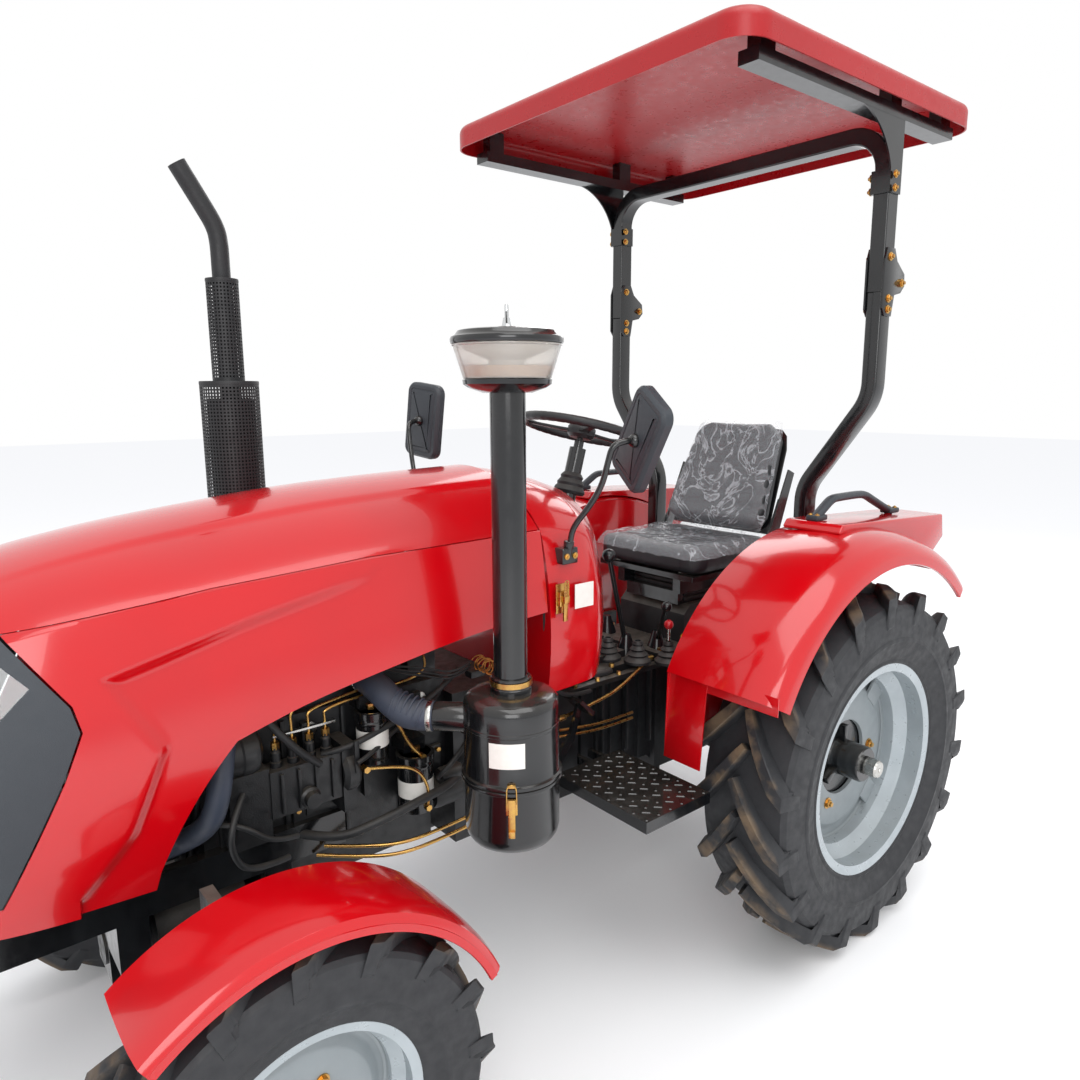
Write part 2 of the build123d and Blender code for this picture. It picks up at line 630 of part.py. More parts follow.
table_inner_y = 444
table_outer_y = 640
table_rear_x = ahead(-604)
with BuildPart() as fender_table:
    with BuildSketch(Plane(origin=(0, table_inner_y, 0), x_dir=(1, 0, 0), z_dir=(0, -1, 0))):
        with BuildLine():
            Polyline(
                (ahead(74), 1238),
                (ahead(48), 1284),
                (ahead(-588), 1256),
                (table_rear_x, 1176),
                (ahead(-470), 1080),
                (ahead(-30), 1150),
                close=True,
            )
        make_face()
    extrude(amount=table_inner_y - table_outer_y, taper=0)
    chamfer(fender_table.edges().filter_by(Axis.Y).group_by(Axis.Z)[-1], 6)
    rod(
        (fender_peak_x, 300, fender_peak_z - fender_rear_radius),
        (fender_peak_x, 900, fender_peak_z - fender_rear_radius),
        fender_rear_radius + 0.93 * fender_crown - fender_sheet,
        mode=Mode.SUBTRACT,
    )

for name, side in (("fender_left", 1), ("fender_right", -1)):
    front_centre = (fender_peak_x, 0, fender_peak_z - fender_front_radius)
    rear_centre = (fender_peak_x, 0, fender_peak_z - fender_rear_radius)
    front_guard = fender_section(front_centre, fender_front_radius, fender_inner_y, fender_outer_y,
                                 fender_crown, fender_skirt, fender_sheet)
    rear_guard = fender_section(rear_centre, fender_rear_radius, fender_inner_y, fender_outer_y,
                                fender_crown, fender_skirt, fender_sheet)
    with BuildPart() as fender:
        add(revolve(front_guard, Axis(front_centre, (0, 1, 0)), fender_front_turn))
        add(revolve(rear_guard, Axis(rear_centre, (0, -1, 0)), fender_rear_turn))
        with BuildSketch(Plane(origin=(0, fender_inner_y, 0), x_dir=(1, 0, 0), z_dir=(0, -1, 0))):
            with BuildLine():
                arch_top = fender_peak_z + 0.7 * fender_crown - 2
                front_foot = (ahead(540), 640)
                front_top = (
                    fender_peak_x + (fender_front_radius + 28) * sin(radians(fender_front_turn)),
                    fender_peak_z - fender_front_radius + (fender_front_radius + 28) * cos(radians(fender_front_turn)),
                )
                front_mid = (
                    fender_peak_x + (fender_front_radius + 28) * sin(radians(fender_front_turn / 2)),
                    fender_peak_z - fender_front_radius
                    + (fender_front_radius + 28) * cos(radians(fender_front_turn / 2)),
                )
                rear_top = (
                    fender_peak_x - (fender_rear_radius + 28) * sin(radians(fender_rear_turn)),
                    fender_peak_z - fender_rear_radius + (fender_rear_radius + 28) * cos(radians(fender_rear_turn)),
                )
                rear_mid = (
                    fender_peak_x - (fender_rear_radius + 28) * sin(radians(fender_rear_turn / 2)),
                    fender_peak_z - fender_rear_radius
                    + (fender_rear_radius + 28) * cos(radians(fender_rear_turn / 2)),
                )
                front_edge = ThreePointArc(front_top, front_mid, (fender_peak_x, arch_top))
                rear_edge = ThreePointArc(front_edge @ 1, rear_mid, rear_top)
                Polyline(rear_edge @ 1, (ahead(-400), 900), (ahead(-240), 700), (ahead(420), 640), front_foot,
                         front_edge @ 0)
            make_face()
        extrude(amount=-fender_sheet)
        add(fender_table.part)
        block((ahead(536), ahead(540)), (fender_inner_y, 552), (640, 920))
        block((ahead(536), ahead(540)), (fender_inner_y, fender_outer_y - 4), (860, 912))
        if side < 0:
            mirror(about=Plane.XZ, mode=Mode.REPLACE)
    fender.part.label = name
    export_step(fender.part, f"parts/{name}.step")

# ---------------------------------------------------------------- roll bar
hoop_pivot_x = ahead(-290)
hoop_pivot_z = 1998
split_z = 1966
canopy_bottom_z = 2490
arm_height = 34
hoop_top_z = canopy_bottom_z - arm_height - 25 - seat_gap
post_foot_z = saddle_top_z + seat_gap
plate_sheet = 6


def post_section(x, y, z):
    with BuildSketch(Plane(origin=(x, y, z), x_dir=(1, 0, 0), z_dir=(0, 0, 1))) as section:
        Rectangle(post_depth, post_width)
        fillet(section.vertices(), 5)
    return section.sketch


with BuildPart() as roll_bar_posts:
    for side in (1, -1):
        with BuildLine(Plane(origin=(post_x, 0, 0), x_dir=(0, side, 0), z_dir=(side, 0, 0))) as post_path:
            FilletPolyline(
                (lower_post_y, post_foot_z + 20),
                (lower_post_y, 1350),
                (upper_post_y, 1650),
                (upper_post_y, split_z),
                radius=150,
            )
        sweep(sections=post_section(post_x, side * lower_post_y, post_foot_z + 20), path=post_path.wire())
        block((ahead(-262), ahead(78)), (side * 294, side * 384), (post_foot_z, post_foot_z + 20))
        for edge in (1, -1):
            cheek_y = side * upper_post_y + edge * (post_width / 2 + seat_gap)
            with BuildSketch(Plane(origin=(0, cheek_y, 0), x_dir=(1, 0, 0), z_dir=(0, -1, 0))):
                with BuildLine():
                    Polyline(
                        (post_x - 22, split_z - 70),
                        (post_x + 34, split_z - 70),
                        (post_x + 34, split_z + 130),
                        (hoop_pivot_x - 22, split_z + 130),
                        (hoop_pivot_x - 22, hoop_pivot_z - 24),
                        close=True,
                    )
                make_face()
            extrude(amount=-edge * plate_sheet)
            block((post_x - 20, post_x + 28), (cheek_y - edge * seat_gap, cheek_y),
                  (split_z - 66, split_z - 10))
        rod((hoop_pivot_x, side * upper_post_y - 46, hoop_pivot_z),
            (hoop_pivot_x, side * upper_post_y + 46, hoop_pivot_z),
            8)
roll_bar_posts.part.label = "roll_bar_posts"
export_step(roll_bar_posts.part, "parts/roll_bar_posts.step")

# ---------------------------------------------------------------- canopy
canopy_front_x = ahead(560)
canopy_rear_x = ahead(-640)
canopy_half_width = 620
canopy_top_z = 2565
canopy_sheet = 5
arm_width = 40

arm_bottom_z = canopy_bottom_z - arm_height
with BuildPart() as canopy_brackets:
    for side in (1, -1):
        y = side * upper_post_y
        outer_y = y + side * (post_width / 2 + seat_gap)
        inner_y = y - side * (post_width / 2 + seat_gap)
        with BuildSketch(Plane(origin=(0, outer_y, 0), x_dir=(1, 0, 0), z_dir=(0, -1, 0))):
            with BuildLine():
                flare_start = (post_x + 36, 2320)
                flare_end = (post_x + 200, arm_bottom_z)
                Polyline(flare_end, (post_x - 28, arm_bottom_z), (post_x - 28, 2250), (post_x + 36, 2250),
                         flare_start)
                ThreePointArc(flare_start, (post_x + 100, 2410), flare_end)
            make_face()
        extrude(amount=-side * 5)
        block((post_x - 28, post_x + 36), (inner_y - side * 5, inner_y), (2250, 2316))
        block((post_x + post_depth / 2 + seat_gap, post_x + 36), (inner_y - side * 5, outer_y + side * 5),
              (2250, 2316))
        block((canopy_rear_x + 90, canopy_front_x - 90), (y - 31, y + 31), (arm_bottom_z, canopy_bottom_z))
        for x in (canopy_rear_x + 110, post_x, canopy_front_x - 150):
            block((x - 20, x + 40), (y - 20, y + 20),
                  (canopy_bottom_z, canopy_top_z - canopy_sheet - seat_gap))

with BuildPart() as roll_bar_hoop:
    with BuildLine(Plane(origin=(post_x, 0, 0), x_dir=(0, 1, 0), z_dir=(1, 0, 0))) as hoop_path:
        FilletPolyline(
            (upper_post_y, split_z + 3),
            (upper_post_y, hoop_top_z),
            (-upper_post_y, hoop_top_z),
            (-upper_post_y, split_z + 3),
            radius=110,
        )
    sweep(sections=post_section(post_x, upper_post_y, split_z + 3), path=hoop_path.wire())
    for side in (1, -1):
        y = side * upper_post_y
        block((hoop_pivot_x - 4, post_x - post_depth / 2 + 2), (y - 20, y + 20),
              (hoop_pivot_z - 18, hoop_pivot_z + 18))
        rod((hoop_pivot_x, y - 20, hoop_pivot_z), (hoop_pivot_x, y + 20, hoop_pivot_z), 18)
        rod((hoop_pivot_x, y - 24, hoop_pivot_z), (hoop_pivot_x, y + 24, hoop_pivot_z), 8 + shaft_gap,
            mode=Mode.SUBTRACT)
    add(canopy_brackets.part)
roll_bar_hoop.part.label = "roll_bar_hoop"
export_step(roll_bar_hoop.part, "parts/roll_bar_hoop.step")

with BuildPart() as canopy:
    block((canopy_rear_x, canopy_front_x), (-canopy_half_width, canopy_half_width),
          (canopy_bottom_z, canopy_top_z))
    fillet(canopy.edges().filter_by(Axis.Z), 90)
    fillet(canopy.faces().sort_by(Axis.Z)[-1].edges(), 28)
    offset(amount=-canopy_sheet, openings=canopy.faces().sort_by(Axis.Z)[0])
canopy.part.label = "canopy"
export_step(canopy.part, "parts/canopy.step")

# ---------------------------------------------------------------- hood
# The hood, its side panels and the nose tilt forwards together.
hood_rear_x = ahead(946)
hood_wall = 3.5
hood_bottom_z = 738
hood_stations = [
    # ahead of the rear axle, half width at the bottom, half width at the side, seam half width, seam z, crown z
    (946, 352, 360, 330, 1330, 1474),
    (1430, 356, 364, 332, 1322, 1456),
    (1750, 354, 362, 326, 1304, 1424),
    (1960, 342, 354, 312, 1283, 1394),
    (2110, 320, 336, 292, 1258, 1358),
    (2200, 284, 306, 262, 1218, 1314),
    (2250, 240, 264, 226, 1170, 1260),
    (2276, 190, 212, 182, 1116, 1196),
]
nose_front_x = ahead(hood_stations[-1][0])


def hood_section(station, bottom_z, inset, pull_back):
    # Side walls bow outwards between the bottom edge and the seam, and the top is crowned.
    distance, bottom_half, side_half, seam_half, seam_z, crown_z = station
    side_z = (hood_bottom_z + seam_z) / 2 + 90
    plane = Plane(origin=(ahead(distance) - pull_back, 0, 0), x_dir=(0, 1, 0), z_dir=(1, 0, 0))
    with BuildSketch(plane) as section:
        with BuildLine():
            floor = Line((-bottom_half + inset, bottom_z), (bottom_half - inset, bottom_z))
            left = ThreePointArc(floor @ 1, (side_half - inset, side_z),
                                 (seam_half - inset, seam_z - inset / 2))
            top = ThreePointArc(left @ 1, (0, crown_z - inset), (-seam_half + inset, seam_z - inset / 2))
            ThreePointArc(top @ 1, (-side_half + inset, side_z), floor @ 0)
        make_face()
    return section.sketch


def hood_form(bottom_z, inset):
    sections = [hood_section(station, bottom_z, inset, 0) for station in hood_stations[:-1]]
    sections.append(hood_section(hood_stations[-1], bottom_z, inset, inset))
    with BuildPart() as form:
        loft(sections=sections, ruled=True)
    return form.part


def side_region(points, y_reach):
    # A block as wide as the machine whose outline is given from the side as (x, z) pairs.
    with BuildPart() as region:
        with BuildSketch(Plane(origin=(0, y_reach, 0), x_dir=(1, 0, 0), z_dir=(0, -1, 0))):
            with BuildLine():
                Polyline(*points, close=True)
            make_face()
        extrude(amount=2 * y_reach)
    return region.part


hood_outside = hood_form(hood_bottom_z, 0)
hood_inside = hood_form(hood_bottom_z, hood_wall)
with BuildPart() as hood_shell:
    add(hood_outside)
    add(hood_inside, mode=Mode.SUBTRACT)
    block((hood_rear_x - 20, hood_rear_x + 1), (-340, 340), (700, 1320), mode=Mode.SUBTRACT)
    with BuildSketch(Plane(origin=(0, 500, 0), x_dir=(1, 0, 0), z_dir=(0, -1, 0))):
        with BuildLine():
            rear_line = Line((ahead(900), 1126), (ahead(1100), 1117))
            brow = ThreePointArc(rear_line @ 1, (ahead(1519), 1057), (ahead(1735), 1002))
            cheek = ThreePointArc(brow @ 1, (ahead(1816), 908), (ahead(1890), 775))
            Polyline(cheek @ 1, (ahead(1905), hood_bottom_z - 20), (ahead(900), hood_bottom_z - 20),
                     rear_line @ 0)
        make_face()
    extrude(amount=1000, mode=Mode.SUBTRACT)

bezel_region = side_region(
    [
        (ahead(2092), 1272),
        (ahead(2006), 1140),
        (ahead(1996), 1092),
        (ahead(2030), 1014),
        (ahead(2140), 800),
        (ahead(2300), 790),
        (ahead(2300), 1262),
    ],
    500,
)
top_region = side_region(
    [
        (ahead(900), 1331),
        (ahead(1430), 1323),
        (ahead(1750), 1305),
        (ahead(1960), 1284),
        (ahead(2092), 1272),
        (ahead(2300), 1262),
        (ahead(2300), 1500),
        (ahead(900), 1500),
    ],
    500,
)
lamp_region = side_region(
    [
        (ahead(2064), 1182),
        (ahead(2102), 1226),
        (ahead(2300), 1186),
        (ahead(2300), 1100),
        (ahead(2120), 1128),
    ],
    500,
)
grille_region = side_region(
    [
        (ahead(2092), 1062),
        (ahead(2082), 1010),
        (ahead(2150), 852),
        (ahead(2300), 848),
        (ahead(2300), 1046),
        (ahead(2130), 1068),
    ],
    500,
)

with BuildPart() as hood_top:
    add(hood_shell.part)
    add(top_region, mode=Mode.INTERSECT)
hood_top.part.label = "hood_top"
export_step(hood_top.part, "parts/hood_top.step")

with BuildPart() as hood_sides:
    add(hood_shell.part)
    add(top_region, mode=Mode.SUBTRACT)
    add(bezel_region, mode=Mode.SUBTRACT)
hood_sides.part.label = "hood_sides"
export_step(hood_sides.part, "parts/hood_sides.step")

with BuildPart() as nose_bezel:
    add(hood_shell.part)
    add(top_region, mode=Mode.SUBTRACT)
    add(bezel_region, mode=Mode.INTERSECT)
    add(lamp_region, mode=Mode.SUBTRACT)
    add(grille_region, mode=Mode.SUBTRACT)
nose_bezel.part.label = "nose_bezel"
export_step(nose_bezel.part, "parts/nose_bezel.step")

with BuildPart() as headlamps:
    add(hood_shell.part)
    add(lamp_region, mode=Mode.INTERSECT)
    block((ahead(1900), ahead(2400)), (-96, 96), (700, 1300), mode=Mode.SUBTRACT)
headlamps.part.label = "headlamps"
export_step(headlamps.part, "parts/headlamps.step")

grille_pitch = 37
with BuildPart() as grille:
    add(hood_shell.part)
    add(grille_region, mode=Mode.INTERSECT)
    for row in range(5):
        z = 872 + row * grille_pitch
        block((ahead(2132), ahead(2400)), (-400, 400), (z, z + 0.6 * grille_pitch), mode=Mode.SUBTRACT)
    for y in both_sides(60):
        block((nose_front_x - 12, nose_front_x - hood_wall), (y - 6, y + 6), (850, 1044))
    block((nose_front_x - 12, nose_front_x - hood_wall), (-6, 6), (850, 1044))
grille.part.label = "grille"
export_step(grille.part, "parts/grille.step")

# hinge under the nose: the lugs ride with the hood and the ears stand on the frame
rail_inner_y = engine_half_width + seat_gap
rail_outer_y = rail_inner_y + 30
hinge_x = ahead(2196)
hinge_z = 772
hinge_pin_radius = 8
hinge_lug_y = 132
with BuildPart() as hood_hinge:
    for side in (1, -1):
        block((hinge_x + 36, nose_front_x - hood_wall - seat_gap),
              (side * hinge_lug_y, side * (rail_inner_y + 20)), (742, 748))
        with BuildSketch(Plane(origin=(0, side * hinge_lug_y, 0), x_dir=(1, 0, 0), z_dir=(0, -1, 0))):
            with BuildLine():
                lower = Line((hinge_x, hinge_z - 18), (ahead(2244), 744))
                front = Line(lower @ 1, (ahead(2244), 762))
                upper = Line(front @ 1, (hinge_x, hinge_z + 18))
                ThreePointArc(upper @ 1, (hinge_x - 18, hinge_z), lower @ 0)
            make_face()
        extrude(amount=-side * 8)
        rod((hinge_x, side * (hinge_lug_y - 18), hinge_z), (hinge_x, side * (hinge_lug_y + 12), hinge_z),
            hinge_pin_radius)
hood_hinge.part.label = "hood_hinge"
export_step(hood_hinge.part, "parts/hood_hinge.step")

# ---------------------------------------------------------------- front frame
rail_bottom_z = 596
frame_plate_x = ahead(2300)
bracket_half_width = 260
weight_hole_spacing = 320
weight_hole_radius = 9
nose_swing = hypot(nose_front_x - hinge_x, hinge_z - hood_bottom_z)
swing_floor_z = hinge_z - nose_swing - 8
with BuildPart() as front_frame:
    for side in (1, -1):
        block((ahead(1440), frame_plate_x), (side * rail_inner_y, side * rail_outer_y),
              (rail_bottom_z, frame_rail_top_z))
    for x in (ahead(1900), ahead(2150)):
        block((x, x + 70), (-rail_inner_y, rail_inner_y), (rail_bottom_z + 20, frame_rail_top_z))
    # the nose swings down in front of the hinge, so the frame is low there
    block((hinge_x - 12, frame_plate_x), (-rail_outer_y, rail_outer_y), (swing_floor_z, frame_rail_top_z),
          mode=Mode.SUBTRACT)
    for side in (1, -1):
        ear_y = (side * (hinge_lug_y - 9), side * (hinge_lug_y - 1))
        block((hinge_x - 40, hinge_x + 24), ear_y, (hinge_z - 50, hinge_z + 20))
        block((hinge_x - 40, hinge_x - 8), ear_y, (frame_rail_top_z - 20, hinge_z - 50))
    for x in (front_axle_x - 186, front_axle_x + 124):
        block((x, x + 62), (-rail_outer_y, rail_outer_y), (axle_beam_z + 30, block_bottom_z - seat_gap))
        block((x, x + 62), (-62, 62), (axle_beam_z - 62, axle_beam_z + 40))
        for side in (1, -1):
            block((x, x + 62), (side * rail_inner_y, side * rail_outer_y), (axle_beam_z + 30, rail_bottom_z))
    for x in (front_axle_x - 200, front_axle_x + 80):
        rod((x, 0, axle_beam_z), (x + 120, 0, axle_beam_z), 42 + shaft_gap, mode=Mode.SUBTRACT)
    block((frame_plate_x, frame_plate_x + 30), (-rail_outer_y, rail_outer_y), (540, 700))
    block((frame_plate_x + 30, ahead(front_reach) - 20), (-90, 90), (560, 690))
    block((ahead(front_reach) - 20, ahead(front_reach)), (-bracket_half_width, bracket_half_width),
          (560, 700))
    fillet(front_frame.edges().filter_by(Axis.X).group_by(Axis.X)[-1], 20)
    for side in (1, -1):
        rod((hinge_x, side * (hinge_lug_y - 30), hinge_z), (hinge_x, side * (hinge_lug_y + 30), hinge_z),
            hinge_pin_radius + shaft_gap, mode=Mode.SUBTRACT)
        rod((ahead(front_reach) - 40, side * weight_hole_spacing / 2, 630),
            (ahead(front_reach) + 10, side * weight_hole_spacing / 2,
             630), weight_hole_radius, mode=Mode.SUBTRACT)
front_frame.part.label = "front_frame"
export_step(front_frame.part, "parts/front_frame.step")

# ---------------------------------------------------------------- radiator and fan
radiator_x = ahead(1905)
radiator_half_width = 225
radiator_bottom_z = frame_rail_top_z + seat_gap
radiator_top_z = 1206
fan_centre_z = 900
fan_x = engine_front_x + 78
with BuildPart() as radiator:
    block((radiator_x, radiator_x + 56), (-radiator_half_width, radiator_half_width),
          (radiator_bottom_z, radiator_top_z))
    for z in (radiator_bottom_z + 40, radiator_top_z - 40):
        block((radiator_x - 8, radiator_x + 64), (-radiator_half_width - 8, radiator_half_width + 8),
              (z - 36, z + 36))
    rod((radiator_x + 30, 0, radiator_top_z), (radiator_x + 30, 0, radiator_top_z + 24), 26)
    with BuildSketch(Plane(origin=(radiator_x - 8, 0, fan_centre_z), x_dir=(0, 1, 0), z_dir=(-1, 0, 0))):
        Circle(205)
        Circle(198, mode=Mode.SUBTRACT)
    extrude(amount=38)
    rod((radiator_x - 8, 150, radiator_bottom_z + 38), (radiator_x - 44, 150, radiator_bottom_z + 38), 26)
radiator.part.label = "radiator"
export_step(radiator.part, "parts/radiator.step")

with BuildPart() as cooling_fan:
    rod((engine_front_x + 40 + seat_gap, 0, 860), (fan_x + 14, 0, 860), 30)
    with Locations(Plane(origin=(fan_x, 0, 860), z_dir=(1, 0, 0))):
        with PolarLocations(92, 6):
            Box(128, 52, 5, rotation=(28, 0, 0))
cooling_fan.part.label = "cooling_fan"
export_step(cooling_fan.part, "parts/cooling_fan.step")

# ---------------------------------------------------------------- cowl behind the hood
cowl_front_x = hood_rear_x - moving_gap
cowl_stations = [
    # ahead of the rear axle, half width, seam half width, seam z, crown z
    (940, 352, 326, 1326, 1470),
    (760, 334, 300, 1308, 1432),
    (640, 224, 196, 1296, 1392),
]
column_top = (ahead(520), 0, 1500)
column_foot = (ahead(582), 0, 1280)
column_radius = 26
with BuildPart() as cowl:
    cowl_sections = []
    for distance, half, seam_half, seam_z, crown_z in cowl_stations:
        station_x = min(ahead(distance), cowl_front_x)
        plane = Plane(origin=(station_x, 0, 0), x_dir=(0, 1, 0), z_dir=(1, 0, 0))
        with BuildSketch(plane, mode=Mode.PRIVATE) as cowl_section:
            with BuildLine():
                floor = Line((-half, bell_top_z + seat_gap), (half, bell_top_z + seat_gap))
                left = ThreePointArc(floor @ 1, (half + 6, 1180), (seam_half, seam_z))
                crown = ThreePointArc(left @ 1, (0, crown_z), (-seam_half, seam_z))
                ThreePointArc(crown @ 1, (-half - 6, 1180), floor @ 0)
            make_face()
        cowl_sections.append(cowl_section.sketch)
    loft(sections=cowl_sections, ruled=True)
    rod((column_foot[0] + 40, 0, 1150), column_top, column_radius + seat_gap, mode=Mode.SUBTRACT)
cowl.part.label = "cowl"
export_step(cowl.part, "parts/cowl.step")

# ---------------------------------------------------------------- steering column and wheel
column_tilt = degrees(atan2(column_foot[0] - column_top[0], column_top[2] - column_foot[2]))
steering_axis = (Vector(*column_top) - Vector(*column_foot)).normalized()
wheel_rise = 58
steering_wheel_radius = 198
steering_grip_radius = 14
with BuildPart() as steering_column:
    rod((column_foot[0] + 39, 0, 1154), column_top, column_radius)
    rod(column_top, tuple(Vector(*column_top) + steering_axis * 22), 15)
    rod(column_top, tuple(Vector(*column_top) + steering_axis * 40), 9 + shaft_gap, mode=Mode.SUBTRACT)
steering_column.part.label = "steering_column"
export_step(steering_column.part, "parts/steering_column.step")

wheel_centre = Vector(*column_top) + steering_axis * wheel_rise
steering_plane = Plane(origin=wheel_centre, x_dir=(0, 1, 0), z_dir=steering_axis)
with BuildPart() as steering_wheel:
    rod(tuple(Vector(*column_top) + steering_axis * 4), tuple(wheel_centre), 9)
    rod(tuple(wheel_centre - steering_axis * 26), tuple(wheel_centre + steering_axis * 16), 44)
    with Locations(steering_plane):
        Torus(steering_wheel_radius - steering_grip_radius, steering_grip_radius)
        with PolarLocations(0, 3, start_angle=90):
            with Locations((0.5 * steering_wheel_radius, 0, -4)):
                Box(steering_wheel_radius - 2 * steering_grip_radius + 8, 24, 10)
        with PolarLocations(steering_wheel_radius - steering_grip_radius, 1, start_angle=40):
            Cylinder(8, 44, align=(Align.CENTER, Align.CENTER, Align.MIN))
            with Locations((0, 0, 48)):
                Sphere(23)
steering_wheel.part.label = "steering_wheel"
export_step(steering_wheel.part, "parts/steering_wheel.step")

# ---------------------------------------------------------------- air cleaner
cleaner_x = ahead(1166)
cleaner_y = 492
cleaner_radius = 110
cleaner_bottom_z = 655
cleaner_top_z = 1006
stack_radius = 38.5
stack_top_z = 1700
bowl_radius = 112
bowl_top_z = 1772
lid_top_z = 1806
with BuildPart() as air_cleaner:
    with BuildSketch(Plane(origin=(cleaner_x, cleaner_y, 0), x_dir=(1, 0, 0), z_dir=(0, -1, 0))):
        with BuildLine():
            floor = Line((0, cleaner_bottom_z), (cleaner_radius - 30, cleaner_bottom_z))
            corner = ThreePointArc(
                floor @ 1, (cleaner_radius - 9, cleaner_bottom_z + 9), (cleaner_radius, cleaner_bottom_z + 30)
            )
            Polyline(
                corner @ 1,
                (cleaner_radius, 806),
                (cleaner_radius + 6, 810),
                (cleaner_radius + 6, 822),
                (cleaner_radius, 826),
                (cleaner_radius, cleaner_top_z - 22),
                (cleaner_radius - 14, cleaner_top_z),
                (58, cleaner_top_z + 6),
                (stack_radius + 7, cleaner_top_z + 8),
                (stack_radius + 7, cleaner_top_z + 36),
                (stack_radius, cleaner_top_z + 36),
                (stack_radius, stack_top_z),
                (0, stack_top_z),
                floor @ 0,
            )
        make_face()
    revolve(axis=Axis((cleaner_x, cleaner_y, 0), (0, 0, 1)))
    block((cleaner_x - 20, cleaner_x + 20), (190 + seat_gap, cleaner_y - 90), (850, 880))
    rod((cleaner_x + 60, cleaner_y - 60, 940), (cleaner_x + 126, cleaner_y - 126, 940), 34)
    # the lid sits on the clear bowl at the top of the stack
    with BuildSketch(Plane(origin=(cleaner_x, cleaner_y, 0), x_dir=(1, 0, 0), z_dir=(0, -1, 0))):
        with BuildLine():
            Polyline(
                (0, bowl_top_z + seat_gap),
                (bowl_radius + 7, bowl_top_z + seat_gap),
                (bowl_radius + 7, bowl_top_z + 12),
                (bowl_radius - 6, bowl_top_z + 26),
                (60, lid_top_z),
                (6, lid_top_z + 2),
                (6, lid_top_z + 46),
                (0, lid_top_z + 46),
                close=True,
            )
        make_face()
    revolve(axis=Axis((cleaner_x, cleaner_y, 0), (0, 0, 1)))
air_cleaner.part.label = "air_cleaner"
export_step(air_cleaner.part, "parts/air_cleaner.step")

with BuildPart() as precleaner_bowl:
    with BuildSketch(Plane(origin=(cleaner_x, cleaner_y, 0), x_dir=(1, 0, 0), z_dir=(0, -1, 0))):
        with BuildLine():
            Polyline(
                (0, stack_top_z + seat_gap),
                (92, stack_top_z + seat_gap),
                (bowl_radius, bowl_top_z),
                (0, bowl_top_z),
                close=True,
            )
        make_face()
    revolve(axis=Axis((cleaner_x, cleaner_y, 0), (0, 0, 1)))
precleaner_bowl.part.label = "precleaner_bowl"
export_step(precleaner_bowl.part, "parts/precleaner_bowl.step")

# ---------------------------------------------------------------- hoses
with BuildPart() as hoses:
    hose_start = (radiator_x - 44 - seat_gap, 150, radiator_bottom_z + 38)
    with BuildLine() as hose_path:
        FilletPolyline(
            hose_start,
            (ahead(1800), 150, radiator_bottom_z + 38),
            (ahead(1770), 262, 800),
            (ahead(1730), 236, 968),
            (ahead(1690), 158 + seat_gap + 22, 992),
            radius=50,
        )
    with BuildSketch(Plane(origin=hose_start, z_dir=hose_path.line % 0)):
        Circle(24)
    sweep(path=hose_path.line)
    elbow_start = (cleaner_x + 126 + seat_gap, cleaner_y - 126 - seat_gap, 940)
    with BuildLine() as elbow_path:
        FilletPolyline(
            elbow_start,
            (elbow_start[0] + 46, elbow_start[1] - 46, 940),
            (ahead(1370), 240, intake_port_z),
            (ahead(1370), 158 + seat_gap, intake_port_z),
            radius=44,
        )
    with BuildSketch(Plane(origin=elbow_start, z_dir=elbow_path.line % 0)):
        Circle(34)
    sweep(path=elbow_path.line)
hoses.part.label = "hoses"
export_step(hoses.part, "parts/hoses.step")

# ---------------------------------------------------------------- exhaust
exhaust_x = ahead(1424)
exhaust_y = -462
exhaust_pipe_radius = 24.5
exhaust_port_z = 1006
shield_radius = 79
shield_step_z = 1703
with BuildPart() as exhaust_pipe:
    pipe_start = (exhaust_x, -126 - seat_gap, exhaust_port_z)
    with BuildLine() as pipe_path:
        FilletPolyline(
            pipe_start,
            (exhaust_x, exhaust_y, exhaust_port_z),
            (exhaust_x, exhaust_y, 2110),
            (exhaust_x + 96, exhaust_y, 2268),
            radius=70,
        )
    with BuildSketch(Plane(origin=pipe_start, z_dir=pipe_path.line % 0)):
        Circle(exhaust_pipe_radius)
    sweep(path=pipe_path.line)
    rod((exhaust_x, exhaust_y, 1130), (exhaust_x, exhaust_y, 1660), 64)
exhaust_pipe.part.label = "exhaust_pipe"
export_step(exhaust_pipe.part, "parts/exhaust_pipe.step")

with BuildPart() as exhaust_shields:
    for bottom, top, radius, hole in (
        (1120, shield_step_z, shield_radius, 64 + seat_gap),
        (shield_step_z, 1982, 43, exhaust_pipe_radius + seat_gap),
    ):
        rod((exhaust_x, exhaust_y, bottom), (exhaust_x, exhaust_y, top), radius)
        rod((exhaust_x, exhaust_y, bottom - 10), (exhaust_x, exhaust_y, top - 4), radius - 3,
            mode=Mode.SUBTRACT)
    rod((exhaust_x, exhaust_y, 1100), (exhaust_x, exhaust_y, 2000), exhaust_pipe_radius + seat_gap,
        mode=Mode.SUBTRACT)
    for z in (1130, 1640):
        rod((exhaust_x, exhaust_y, z), (exhaust_x, exhaust_y, z + 12), shield_radius - 2)
        rod((exhaust_x, exhaust_y, z), (exhaust_x, exhaust_y, z + 12), 64 + seat_gap, mode=Mode.SUBTRACT)
exhaust_shields.part.label = "exhaust_shields"
export_step(exhaust_shields.part, "parts/exhaust_shields.step")

